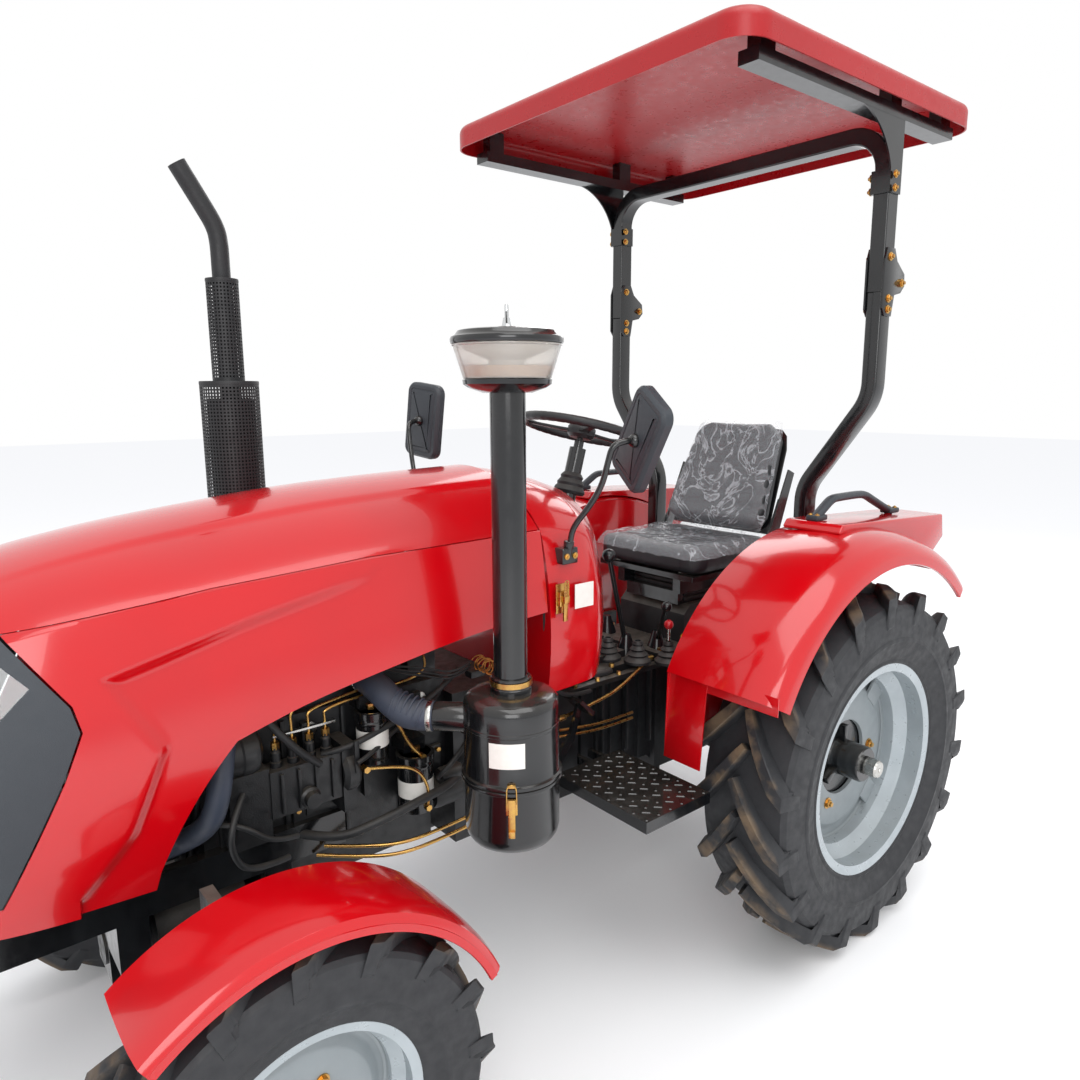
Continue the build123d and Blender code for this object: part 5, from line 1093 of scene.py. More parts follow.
def rearGuardParts():
    size = guards["rear"]
    arc = []
    for k in range(13):
        turn = radians(62.5 - 62.5 * k / 12)
        arc.append((size["peak"] + 0.66 * sin(turn), size["top"] - 0.634 + 0.66 * cos(turn)))
    for k in range(1, 10):
        turn = radians(-42 * k / 9)
        arc.append((size["peak"] + 0.703 * sin(turn), size["top"] - 0.677 + 0.703 * cos(turn)))
    outline = [(ahead(0.562), 0.64)] + arc + [(ahead(-0.4), 0.9), (ahead(-0.24), 0.7), (ahead(0.42), 0.64)]
    wall = slab("guardWall", [(x, 0.4205, z) for x, z in outline], (0, 0.0035, 0), 0.001)
    # the flap leans forwards, clear of the bars as the wheel turns
    flapLine = [(0.536, 0.915), (0.5398, 0.915), (0.5638, 0.641), (0.56, 0.641)]
    flap = slab("guardFlap", [(ahead(x), 0.421, z) for x, z in flapLine], (0, 0.131, 0), 0.0008)
    apron = brick("guardApron", (ahead(0.536), 0.421, 0.862), (ahead(0.5398), 0.775, 0.912), 0.0012)
    under = []
    for k in range(15):
        x = -0.487 + 0.545 * k / 14
        under.append((ahead(x), 0.548 + sqrt(0.712 ** 2 - (x + 0.03) ** 2)))
    deckLine = [(ahead(0.066), 1.262), (ahead(0.048), 1.2835), (ahead(0.03), 1.2838),
        (ahead(-0.588), 1.2555), (ahead(-0.604), 1.177), (ahead(-0.5), 1.104)] + under
    deck = slab("guardDeck", [(x, 0.4445, z) for x, z in deckLine], (0, 0.195, 0), 0.009, 3)
    return [wall, flap, apron, deck]


for kind in ("rear", "front"):
    parts = [makeGuard(kind)] + (rearGuardParts() if kind == "rear" else [])
    guard = joined(parts, kind + "GuardLeft")
    other = mirrored(guard, kind + "GuardRight")
    node = "fender_" if kind == "rear" else "front_fender_"
    for piece, hand in ((guard, "left"), (other, "right")):
        body = "chassis" if kind == "rear" else "knuckle_" + hand
        placed(piece, redEnamel, body, [node + hand], 28)
# grab handles
for side, hand in ((1, "Left"), (-1, "Right")):
    y = side * 0.53
    rail = tube("grabRail", [(ahead(0.03), y, 1.288), (ahead(-0.02), y, 1.318), (ahead(-0.06), y, 1.342),
        (ahead(-0.1), y, 1.344), (ahead(-0.21), y, 1.344), (ahead(-0.26), y, 1.34),
        (ahead(-0.31), y, 1.318), (ahead(-0.428), y, 1.27)], 0.0125, True, 12)
    rail.data.transform(Matrix.Translation((0, y, 0)) @ Matrix.Diagonal((1, 1.35, 1, 1))
        @ Matrix.Translation((0, -y, 0)))
    feet = []
    for x, z in ((ahead(0.016), 1.2836), (ahead(-0.43), 1.264)):
        foot = brick("grabFoot", (x - 0.03, y - 0.021, z), (x + 0.026, y + 0.021, z + 0.017), 0.006, 3)
        feet.append(foot)
    handle = joined([rail] + feet, "grabHandle" + hand)
    placed(handle, grainedPlastic, "chassis", ["fender_handles"] if side > 0 else (), 40)
    boltsAt("grabBolts" + hand, [((x, y + dy, z + 0.0165), (0, 0, 1)) for x,
        z in ((ahead(0.03), 1.2836), (ahead(-0.444), 1.2648)) for dy in (-0.011, 0.011)], yellowZinc,
        "chassis", 0.0055, 0.004)
print("guards made")

# ---- exhaust: silencer can, two perforated guards, bent tail pipe
exhaustX, exhaustY = ahead(1.424), -0.462


def perforated(name, radius, bottom, top, around, rows):
    # punched sheet rolled to a tube, plain at both ends
    def place(u, v):
        turn = 2 * pi * u
        return (exhaustX + radius * cos(turn), exhaustY + radius * sin(turn), bottom + (top - bottom) * v)
    guard = skinGrid(name, around, rows, place)
    tidyShell(guard, 0.0001)
    step = (top - bottom) / rows
    editMode()
    bpy.ops.mesh.select_mode(type="FACE")
    bpy.ops.mesh.select_all(action="DESELECT")
    objectMode()
    for face in guard.data.polygons:
        face.select = bottom + step < face.center.z < top - step
    editMode()
    bpy.ops.mesh.select_mode(type="FACE")
    bpy.ops.mesh.inset(thickness=0.0022, use_individual=True)
    bpy.ops.mesh.delete(type="FACE")
    bpy.ops.mesh.select_mode(type="VERT")
    objectMode()
    modifier = guard.modifiers.new("wall", "SOLIDIFY")
    modifier.thickness = 0.0018
    modifier.offset = -1
    applyAll(guard)
    return guard


centre = (exhaustX, exhaustY, 0)
lower = perforated("lowerGuard", 0.079, 1.12, 1.703, 52, 61)
upper = perforated("upperGuard", 0.043, 1.706, 1.982, 30, 29)
rings = [
    lathe("guardRing", [(0.064, 1.1302), (0.0788, 1.1302), (0.0788, 1.1405), (0.064, 1.1405)], centre, "Z",
        52),
    lathe("guardTopPlate", [(0.025, 1.698), (0.0795, 1.698), (0.0797, 1.704), (0.0785, 1.7075),
        (0.025, 1.7075)],
          centre, "Z", 52),
    lathe("guardCollar", [(0.025, 1.974), (0.0432, 1.974), (0.0438, 1.978), (0.0432, 1.983), (0.025, 1.983)],
          centre, "Z", 40),
]
exhaustGuards = joined([lower, upper] + rings, "exhaustGuards")
placed(exhaustGuards, heatPaint, "chassis", ["exhaust_shields"], 25)
can = lathe("silencerCan", [(0.0, 1.13), (0.058, 1.13), (0.0638, 1.136), (0.0638, 1.654), (0.058, 1.66),
    (0.0, 1.66)], centre, "Z", 48)
pipe = tube("exhaustPipe", [(exhaustX, -0.1263, 1.006), (exhaustX, -0.3, 1.006), (exhaustX, -0.385, 1.006),
    (exhaustX, -0.462, 1.006), (exhaustX, -0.462, 1.085), (exhaustX, -0.462, 1.2), (exhaustX, -0.462, 1.6),
    (exhaustX, -0.462, 2.03), (exhaustX, -0.462, 2.075), (exhaustX + 0.006, -0.462, 2.118),
    (exhaustX + 0.04, -0.462, 2.176), (exhaustX + 0.096, -0.462, 2.268)], 0.0243, True, 16)
stub = lathe("manifoldFlange", [(0.0245, -0.1262), (0.047, -0.1262), (0.047, -0.136), (0.0245, -0.136)],
    (exhaustX, 0, 1.006), "Y", 36)
placed(joined([can, pipe, stub], "exhaustPipeBody"), heatPaint, "chassis", ["exhaust_pipe"],
    30)
# dark disc just past the capped mouth of the tail pipe: painted shade standing in for the dark hollow bore
end = Vector((0.096, 0, 0.158)).normalized()
boreShade = rodBetween("tailPipeBoreShade", Vector((exhaustX + 0.096, -0.462, 2.268)) + end * 0.0002,
    Vector((exhaustX + 0.096, -0.462, 2.268)) + end * 0.0008, 0.0215, 32)
placed(boreShade, softRubber)
print("exhaust made")


# ---- air cleaner: tank with one rolled clamp seam, steel stack, milky bowl and lid
cleaner = Vector((ahead(1.166), 0.492, 0))
tankOutline = [(0.0, 0.655), (0.074, 0.655), (0.084, 0.657), (0.098, 0.664), (0.106, 0.676),
    (0.1095, 0.692), (0.1095, 0.801), (0.1105, 0.803), (0.1155, 0.806), (0.1165, 0.81), (0.1155, 0.8135),
    (0.112, 0.815), (0.1155, 0.8165), (0.1165, 0.82), (0.1155, 0.824), (0.1105, 0.8265), (0.1095, 0.829),
    (0.1095, 0.935), (0.1108, 0.937), (0.1108, 0.943), (0.1095, 0.945), (0.1095, 0.982), (0.1072, 0.992),
    (0.1, 1.0), (0.09, 1.0045), (0.062, 1.01), (0.058, 1.0105), (0.0, 1.0105)]
tank = lathe("airCleanerTank", tankOutline, cleaner, "Z", 72)
stackOutline = [(0.0, 1.0), (0.0455, 1.0), (0.0455, 1.006), (0.047, 1.008), (0.047, 1.02), (0.0455, 1.022),
    (0.0455, 1.042), (0.044, 1.0445), (0.0385, 1.0445), (0.0385, 1.6985), (0.0, 1.6985)]
stack = lathe("airCleanerStack", stackOutline, cleaner, "Z", 56)
collar = lathe("bowlSeat", [(0.0, 1.672), (0.052, 1.672), (0.082, 1.682), (0.094, 1.69), (0.095, 1.6995),
    (0.0, 1.6995)], cleaner, "Z")
band = lathe("stackClamp", [(0.0468, 1.026), (0.0485, 1.026), (0.0485, 1.038), (0.0468, 1.038)], cleaner,
    "Z", 48)
bracket = brick("cleanerBracket", (cleaner.x - 0.02, 0.1903, 0.85), (cleaner.x + 0.02, 0.402, 0.88), 0.003)
strap = brick("cleanerStrap", (cleaner.x - 0.032, 0.372, 0.838), (cleaner.x + 0.032, 0.392, 0.898), 0.006)
inletStart = cleaner + Vector((0.06, -0.06, 0.94))
inletEnd = cleaner + Vector((0.126, -0.126, 0.94))
inlet = rodBetween("cleanerOutlet", inletStart, inletEnd, 0.034, 40, 0.002)
placed(joined([tank, stack, collar, bracket, strap, inlet], "airCleaner"), blackEnamel, "chassis",
    ["air_cleaner"], 30)
placed(band, yellowZinc)

# lid with a rolled edge, a stepped crown and a wing nut
lidOutline = [(0.0, 1.7725), (0.112, 1.7725), (0.118, 1.7735), (0.1195, 1.777), (0.1195, 1.783),
    (0.1175, 1.787), (0.112, 1.789), (0.108, 1.793), (0.104, 1.799), (0.096, 1.801), (0.09, 1.799),
    (0.084, 1.7965), (0.07, 1.798), (0.06, 1.803), (0.024, 1.8055), (0.02, 1.808), (0.0, 1.808)]
placed(lathe("precleanerLid", lidOutline, cleaner, "Z", 72), blackEnamel, "chassis", (), 30)
stud = rodBetween("lidStud", cleaner + Vector((0, 0, 1.806)), cleaner + Vector((0, 0, 1.853)), 0.0042, 16,
    0.001)
nutBody = lathe("wingNutBody", [(0.0042, 1.8085), (0.0115, 1.8085), (0.01, 1.8115), (0.0075, 1.826),
    (0.0042, 1.826)], cleaner, "Z", 24)
wings = []
for side in (1, -1):
    wing = slab("wing", [(side * x, -0.0022, z) for x,
        z in ((0.006, 1.811), (0.019, 1.822), (0.0255, 1.838), ((0.0235), 1.8425), (0.0175, 1.8415),
        (0.0085, 1.826))], (0, 0.0044, 0), 0.0014)
    wing.data.transform(Matrix.Translation((cleaner.x, cleaner.y, 0)) @ Matrix.Rotation(0.9, 4, "Z"))
    wings.append(wing)
placed(joined([stud, nutBody] + wings, "wingNut"), chromePlate)

# thin translucent bowl with the dust that it has caught
bowlOutline = [(0.04, 1.7005), (0.0905, 1.7005), (0.0935, 1.702), (0.0945, 1.706), (0.1125, 1.763),
    (0.113, 1.7675), (0.116, 1.769), (0.116, 1.7718), (0.11, 1.7718), (0.1098, 1.765), (0.092, 1.708),
    (0.0895, 1.7035), (0.04, 1.7035)]
placed(lathe("precleanerBowl", bowlOutline, cleaner, "Z", 72), milkyBowl, "chassis", ["precleaner_bowl"])
dustOutline = [(0.04, 1.7038), (0.0893, 1.7038), (0.0912, 1.707), (0.0972, 1.727), (0.09, 1.7235),
    (0.07, 1.7265), (0.052, 1.7225), (0.04, 1.7245)]
placed(lathe("caughtDust", dustOutline, cleaner, "Z", 60), dustPack, smooth=60)
core = lathe("precleanerCore", [(0.0, 1.7038), (0.039, 1.7038), (0.039, 1.738), (0.07, 1.752),
    (0.096, 1.766), (0.104, 1.7716), (0.0, 1.7716)], cleaner, "Z", 48)
placed(core, blankPlate)

# zinc over-centre latches across the clamp seam; the blank plate comes after them
latchParts = []
for turn in (52, 172, 292):
    plate = brick("latchPlate", (0.109, -0.013, 0.762), (0.1135, 0.013, 0.8), 0.0015)
    lever = brick("latchLever", (0.113, -0.008, 0.722), (0.118, 0.008, 0.8))
    tip = brick("latchTip", (0.115, -0.0075, 0.712), (0.123, 0.0075, 0.728))
    loopWire = tube("latchLoop", [(0.1165, -0.011, 0.79), (0.1195, -0.011, 0.812), (0.12, -0.01, 0.832),
        (0.1205, 0.0, 0.838), (0.12, 0.01, 0.832), (0.1195, 0.011, 0.812), (0.1165, 0.011, 0.79)], 0.0016)
    hook = brick("latchHook", (0.109, -0.009, 0.828), (0.1195, 0.009, 0.836), 0.0015)
    latch = joined([plate, lever, tip, loopWire, hook], "latch")
    latch.data.transform(Matrix.Translation(cleaner) @ Matrix.Rotation(radians(turn), 4, "Z"))
    latchParts.append(latch)
placed(joined(latchParts, "cleanerLatches"), yellowZinc, smooth=30)


def curvedPlate(name, radius, middle, halfTurn, bottom, top):
    # a thin blank plate bent round the tank
    def place(u, v):
        turn = radians(middle - halfTurn + 2 * halfTurn * u)
        return (cleaner.x + radius * cos(turn), cleaner.y + radius * sin(turn), bottom + (top - bottom) * v)
    plate = skinGrid(name, 14, 3, place)
    modifier = plate.modifiers.new("wall", "SOLIDIFY")
    modifier.thickness = 0.0004
    modifier.offset = 1
    applyAll(plate)
    tidyShell(plate)
    return plate


placed(curvedPlate("blankLabel", 0.1099, 47, 21, 0.868, 0.926), blankPlate, smooth=60)
print("air cleaner made")

# ---- hoses: cloth-wrapped radiator hose with its clips, and the intake elbow
radiatorHose = tube("radiatorHose", [(1.1143, 0.15, 0.718), (1.085, 0.15, 0.718), (1.05, 0.158, 0.726),
    (1.028, 0.215, 0.768), (1.016, 0.255, 0.815), (1.0, 0.256, 0.88), (0.984, 0.24, 0.95),
    (0.966, 0.212, 0.985), (0.945, 0.1805, 0.992)], 0.0245, True, 20)
elbow = tube("intakeElbow", [(0.5473, 0.3657, 0.94), (0.566, 0.347, 0.94), (0.593, 0.32, 0.942),
    (0.612, 0.285, 0.965), (0.624, 0.248, 0.99), (0.625, 0.205, 0.998), (0.625, 0.1585, 0.998)], 0.0345,
    True, 24)
ribs = []
for k in range(6):
    t = 0.25 + 0.09 * k
    spot = Vector((0.566, 0.347, 0.94)).lerp(Vector((0.612, 0.285, 0.965)), (t - 0.25) / 0.5)
    run = (Vector((0.612, 0.285, 0.965)) - Vector((0.566, 0.347, 0.94))).normalized()
    ribs.append(rodBetween("elbowRib", spot - run * 0.0022, spot + run * 0.0022, 0.0372, 32, 0.0012))
placed(joined([radiatorHose, elbow] + ribs, "hosesAll"), hoseRubber, "chassis", ["hoses"])
clips = []
for start, end, radius in (((1.106, 0.15, 0.718), (1.096, 0.15, 0.718), 0.0262),
        ((0.949, 0.1865, 0.9915), (0.9445, 0.1805, 0.992), 0.0262),
        ((0.55, 0.363, 0.94), (0.558, 0.355, 0.94), 0.0362),
        ((0.625, 0.18, 0.998), (0.625, 0.169, 0.998), 0.0362)):
    clips.append(rodBetween("hoseClip", start, end, radius, 36, 0.0008))
placed(joined(clips, "hoseClips"), bareSteel, smooth=30)
print("hoses made")

# ---- mirrors: ribbed shell, glass facing the driver, bent stalk and clamp
mirrorTable = [(1, 0.765, 1.556, -34), (-1, 0.769, 1.58, 8)]
mirrorShells, stalks = [], []
for side, distance, height, lean in mirrorTable:
    corner, outline = 0.032, []
    for cx, cz, start in ((0.074 - corner, 0.124 - corner, 0), (-0.074 + corner, 0.124 - corner, 90),
            (-0.074 + corner, -0.124 + corner, 180), (0.074 - corner, -0.124 + corner, 270)):
        for k in range(7):
            turn = radians(start + 15 * k)
            outline.append((-0.014, cx + corner * cos(turn), cz + corner * sin(turn)))
    shell = slab("mirrorShell", outline, (0.02, 0, 0))
    active(shell)
    selectNone()
    for face in shell.data.polygons:
        face.select = face.normal.x > 0.9
    editMode()
    bpy.ops.mesh.select_mode(type="FACE")
    for inset, lift in ((0.004, 0.006), (0.004, 0.0035), (0.01, 0.0), (0.0015, -0.0015), (0.0025, 0.0),
            (0.0015, 0.0015), (0.014, 0.003)):
        bpy.ops.mesh.inset(thickness=inset, depth=lift)
    bpy.ops.mesh.select_mode(type="VERT")
    objectMode()
    glass = slab("mirrorGlass", [(x - 0.0008, y * 0.92, z * 0.955) for x, y, z in outline], (0.0012, 0, 0))
    turn = Matrix.Rotation(radians(-side * 14), 4, "Z") @ Matrix.Rotation(radians(side * lean), 4, "X")
    seat = Matrix.Translation((ahead(distance), side * 0.5, height)) @ turn
    shell.data.transform(seat)
    glass.data.transform(seat)
    placed(glass, mirrorGlass)
    glass.name = "mirrorGlass" + ("Left" if side > 0 else "Right")
    mirrorShells.append(shell)
    headX = ahead(distance) + 0.02
    stalks.append(tube("mirrorStalk", [(ahead(0.876), side * 0.36, 1.255),
        (ahead(0.876), side * 0.366, 1.3), (ahead(0.874), side * 0.376, 1.338),
        (ahead(0.858), side * 0.418, 1.392), (ahead(0.848), side * 0.452, 1.446),
        (ahead(0.846), side * 0.47, height - 0.05), (ahead(0.842), side * 0.48, height - 0.012),
        (ahead(0.815), side * 0.494, height), (headX + 0.006, side * 0.5, height)], 0.0078, True, 12))
    bpy.ops.mesh.primitive_uv_sphere_add(segments=24, ring_count=14, radius=0.0175,
        location=(headX, side * 0.5, height))
    ball = bpy.context.object
    active(ball)
    bpy.ops.object.transform_apply(location=True)
    clamp = brick("mirrorClamp", (ahead(0.85), side * 0.351 - 0.0175, 1.24),
        (ahead(0.902), side * 0.351 + 0.0175, 1.282), 0.005, 3)
    socket = rodBetween("mirrorSocket", (ahead(0.876), side * 0.36, 1.28),
        (ahead(0.876), side * 0.362, 1.3), 0.0135, 24, 0.002)
    stalks += [ball, clamp, socket]
placed(joined(mirrorShells, "mirrorShells"), grainedPlastic, "chassis", ["mirrors"], 28)
placed(joined(stalks, "mirrorStalks"), blackEnamel, "chassis", ())
boltsAt("mirrorBolts", [((ahead(0.862), s * 0.3685, 1.261), (0, s, 0)) for s in (1, -1)]
    + [((ahead(0.89), s * 0.3685, 1.261), (0, s, 0)) for s in (1, -1)], yellowZinc, "chassis", 0.006, 0.005)
print("mirrors made")

# ---- steering wheel: foam grip with finger bumps, three spokes, hub cap and turning knob
columnTop, columnFoot = Vector((ahead(0.52), 0, 1.5)), Vector((ahead(0.582), 0, 1.28))
steerAxis = (columnTop - columnFoot).normalized()
wheelCentre = columnTop + steerAxis * 0.058
gripRadius, gripThick = 0.184, 0.0138
bpy.ops.mesh.primitive_torus_add(major_radius=gripRadius, minor_radius=gripThick, major_segments=144,
    minor_segments=20)
grip = bpy.context.object
for vertex in grip.data.vertices:
    turn = atan2(vertex.co.y, vertex.co.x)
    ring = Vector((cos(turn), sin(turn), 0)) * gripRadius
    away = vertex.co - ring
    low = 1 - 0.07 * max(0.0, sin(turn * 36)) * (1 if away.z < 0 else 0.25)
    vertex.co = ring + away * low
spokes = []
for k in range(3):
    turn = radians(90 + 120 * k)
    spoke = slab("spoke", [(0.03, -0.019, -0.01), (0.03, 0.019, -0.01), (0.075, 0.0125, -0.0085),
        (0.135, 0.0105, -0.006), (0.176, 0.0125, -0.004), (0.176, -0.0125, -0.004),
        (0.135, -0.0105, -0.006), (0.075, -0.0125, -0.0085)], (0, 0, 0.009), 0.002)
    spoke.data.transform(Matrix.Rotation(turn, 4, "Z"))
    spokes.append(spoke)
boss = lathe("steeringBoss", [(0.0, -0.026), (0.034, -0.026), (0.043, -0.016), (0.044, -0.004),
    (0.044, 0.006), (0.04, 0.012), (0.03, 0.0155), (0.0, 0.0165)], (0, 0, 0), "Z", 48)
stem = rodBetween("steeringStem", (0, 0, -0.054), (0, 0, -0.02), 0.009)
knobTurn = radians(40)
knobPlace = Vector((cos(knobTurn) * gripRadius, sin(knobTurn) * gripRadius, 0))
knob = lathe("steeringKnob", [(0.0, 0.01), (0.013, 0.01), (0.013, 0.018), (0.0078, 0.024), (0.0078, 0.03),
    (0.0165, 0.036), (0.0215, 0.044), (0.023, 0.052), (0.0215, 0.06), (0.016, 0.067), (0.008, 0.0705),
    (0.0, 0.071)], knobPlace, "Z", 36)
wheelWhole = joined([grip, boss, stem, knob] + spokes, "steeringWheel")
lay = Matrix((Vector((0, 1, 0)), steerAxis.cross(Vector((0, 1, 0))), steerAxis)).transposed().to_4x4()
wheelWhole.data.transform(Matrix.Translation(wheelCentre) @ lay)
tidyShell(wheelWhole)
placed(wheelWhole, wheelPlastic, "steering_wheel", ["steering_wheel"])
boot = lathe("columnBoot", [(0.0262, 0.0), (0.046, 0.0), (0.05, 0.008), (0.046, 0.018), (0.041, 0.024),
    (0.043, 0.032), (0.038, 0.04), (0.034, 0.046), (0.036, 0.054), (0.03, 0.062), (0.0262, 0.066)],
    (0, 0, 0), "Z", 40)
foot = columnFoot + steerAxis * 0.085
boot.data.transform(Matrix.Translation(foot) @ lay)
placed(boot, softRubber, smooth=40)
print("steering wheel made")


# ---- seat: channelled pads blown up by the cloth simulation, shell, brackets, bellows and dust film
cushionMiddle = Vector((ahead(0.0065), 0, 1.123))
backFoot = Vector((ahead(-0.15), 0, 1.1887))
backLean = radians(24)


def padPanel(name, length, width, thick, taper):
    # flat pad about the origin: X is the length, Y the width
    pad = brick(name, (-length / 2, -width / 2, -thick / 2), (length / 2, width / 2, thick / 2),
        0.45 * thick, 4)
    active(pad)
    corners = pad.modifiers.new("cells", "REMESH")
    corners.mode = "VOXEL"
    corners.voxel_size = 0.006
    applyAll(pad)
    for vertex in pad.data.vertices:
        u, v = vertex.co.x / (length / 2), vertex.co.y / (width / 2)
        vertex.co.y *= 1 - taper * (u + 1) / 2
        corner = max(0.0, abs(u) - 0.72) * max(0.0, abs(v) - 0.72) / 0.0784
        vertex.co.x -= 0.02 * corner * (1 if u > 0 else -1)
        vertex.co.y -= 0.02 * corner * (1 if v > 0 else -1)
    return pad


def pinned(pad, rule):
    group = pad.vertex_groups.new(name="stitched")
    group.add([v.index for v in pad.data.vertices if rule(v.co)], 1.0, "REPLACE")
    return group


def blownUp(pad, rule, most):
    # seams and the underside hold still, the rest swells under pressure
    before = [vertex.co.copy() for vertex in pad.data.vertices]
    pinned(pad, rule)
    active(pad)
    bpy.ops.object.modifier_add(type="CLOTH")
    cloth = pad.modifiers[-1]
    cloth.settings.quality = 6
    cloth.settings.mass = 0.3
    cloth.settings.tension_stiffness = cloth.settings.compression_stiffness = 28
    cloth.settings.shear_stiffness = 12
    cloth.settings.bending_stiffness = 0.8
    cloth.settings.vertex_group_mass = "stitched"
    cloth.settings.use_pressure = True
    cloth.settings.uniform_pressure_force = 4.0
    cloth.settings.effector_weights.gravity = 0
    cloth.collision_settings.use_collision = False
    cloth.point_cache.frame_start, cloth.point_cache.frame_end = 1, 20
    scene = bpy.context.scene
    scene.frame_start, scene.frame_end = 1, 20
    for step in range(1, 21):
        scene.frame_set(step)
        bpy.context.view_layer.update()
    bpy.ops.object.modifier_apply(modifier=cloth.name)
    for vertex, start in zip(pad.data.vertices, before):
        move = vertex.co - start
        if move.length > most:
            vertex.co = start + move * (most / move.length)
    scene.frame_set(1)


def subdivided(pad):
    modifier = pad.modifiers.new("smoother", "SUBSURF")
    modifier.levels = modifier.render_levels = 1
    applyAll(pad)


def sunkLines(pad, lines, depth, half):
    for vertex in pad.data.vertices:
        if vertex.co.z > 0:
            near = min(abs(vertex.co.x - line) for line in lines)
            if near < half:
                vertex.co.z -= depth * (1 - near / half) ** 1.5


def madePad(name, size, lines, held, border, bowl):
    # held is how high the still underside reaches, border where the still sides begin
    pad = padPanel(name, *size)
    sunkLines(pad, lines, 0.009, 0.016)
    blownUp(pad, lambda co: co.z < held or min(abs(co.x - line) for line in lines) < 0.0045
        or abs(co.y) > border, 0.007)
    for vertex in pad.data.vertices:  # hollow in the middle, raised sides
        if vertex.co.z > 0:
            vertex.co.z -= 0.012 * bowl(vertex.co)
    subdivided(pad)
    return pad


cushion = madePad("seatCushion", (0.436, 0.456, 0.084, -0.04), [-0.13, -0.075, -0.02, 0.035, 0.09], 0.012,
    0.205, lambda co: max(0.0, 1 - (co.y / 0.17) ** 2) * max(0.0, 1 - (co.x / 0.22) ** 2))
cushion.data.transform(Matrix.Translation(cushionMiddle))
back = madePad("seatBack", (0.396, 0.444, 0.07, 0.2), [-0.118, -0.062, -0.006, 0.05, 0.106], 0.008, 0.17,
    lambda co: max(0.0, 1 - (co.y / 0.15) ** 2))
upBack = Vector((-sin(backLean), 0, cos(backLean)))
outBack = Vector((cos(backLean), 0, sin(backLean)))
stand = Matrix((upBack, Vector((0, 1, 0)), outBack)).transposed().to_4x4()
back.data.transform(Matrix.Translation(backFoot + upBack * 0.2) @ stand)

placed(cushion, seatVinyl, "chassis", ["seat_cushion"], 50)
placed(back, seatVinyl, "chassis", ["seat_back"], 50)

# pressed shell behind the back pad, and hinge brackets
shellParts = []
shellOutline = []
for u, v in ((-0.198, -0.218), (-0.198, 0.218), (0.12, 0.192), (0.172, 0.176), (0.196, 0.15), (0.2, 0.09),
        (0.2, -0.09), (0.196, -0.15), (0.172, -0.176), (0.12, -0.192)):
    shellOutline.append(tuple(backFoot + upBack * (0.2 + u) + Vector((0, v, 0)) - outBack * 0.038))
shellParts.append(slab("backShell", shellOutline, -outBack * 0.006, 0.002))
for side in (1, -1):
    arm = [(-0.1, 1.098), (-0.15, 1.16), (-0.186, 1.24), (-0.214, 1.3), (-0.234, 1.296), (-0.222, 1.236),
        (-0.196, 1.15), (-0.176, 1.094), (-0.12, 1.078)]
    shellParts.append(slab("backBracket", [(ahead(x), side * 0.2335, z) for x, z in arm],
        (0, side * 0.005, 0), 0.0015))
    shellParts.append(rodBetween("bracketPivot", (ahead(-0.172), side * 0.222, 1.136),
        (ahead(-0.172), side * 0.246, 1.136), 0.014, 24, 0.002))
placed(joined(shellParts, "seatShell"), blackEnamel, "chassis", ())

# seat rails, and the bellows under the pan
for side in (1, -1):
    rail = brick("seatRail", (ahead(-0.185), side * 0.15 - 0.014, 1.05),
        (ahead(0.19), side * 0.15 + 0.014, 1.079), 0.003)
    placed(rail, bareSteel, smooth=30)
    rail.name = "seatRail" + ("Left" if side > 0 else "Right")
bellows = []
for k in range(5):
    low = 0.965 + 0.018 * k
    bellows.append(brick("bellowFold", (ahead(-0.14), -0.128, low), (ahead(0.14), 0.128, low + 0.0165),
        0.0075, 3))
placed(joined(bellows, "seatBellows"), softRubber)


def dustSheet(name, length, width, lift, carry, wave):
    # loose film over a pad: creased grid whose rim hangs over the edges
    def place(u, v):
        x, y = (u - 0.5) * length, (v - 0.5) * width
        over = max(0.0, abs(2 * u - 1) - 0.8) / 0.2
        overSide = max(0.0, abs(2 * v - 1) - 0.84) / 0.16
        sag = 0.042 * min(1.0, hypot(over, overSide)) ** 1.6
        hollow = 0.012 * max(0.0, 1 - (y / 0.17) ** 2) * max(0.0, 1 - (x / 0.22) ** 2)
        crease = wave * (abs(sin(21 * x + 34 * y + 2.0 * sin(17 * y)))
            + 0.7 * abs(sin(47 * x - 29 * y + 1.7 * sin(31 * x)))
            + 0.5 * abs(sin(83 * y + 12 * x + 1.2 * sin(51 * x))))
        return (x * (1 - 0.03 * overSide), y * (1 - 0.03 * over), lift - hollow - sag + crease)
    film = skinGrid(name, 88, 88, place)
    film.data.transform(carry)
    tidyShell(film, 0.00001)
    return film


cushionFilm = dustSheet("cushionFilm", 0.462, 0.486, 0.0505, Matrix.Translation(cushionMiddle), 0.0032)
backFilm = dustSheet("backFilm", 0.42, 0.448, 0.0435, Matrix.Translation(backFoot + upBack * 0.202) @ stand,
    0.0032)
for vertex in backFilm.data.vertices:  # narrower towards the top, like the pad
    t = min(1.0, max(0.0, (vertex.co - backFoot).dot(upBack) / 0.4))
    vertex.co.y *= 1 - 0.18 * t
for film, flat, pad in ((cushionFilm, (0.6, 0.62), cushion), (backFilm, (0.56, 0.58), back)):
    placed(film, dustFilm, smooth=60)
print("seat made")


# ---- engine dressing: what stands out of the plain block on the open side
engineSide = 0.15
blockParts, zincParts, steelParts, rubberParts = [], [], [], []


def at(distance, y, z):
    return Vector((ahead(distance), y, z))


def casting(name, low, high, bevel):
    blockParts.append(brick(name, at(*low), at(*high), bevel))


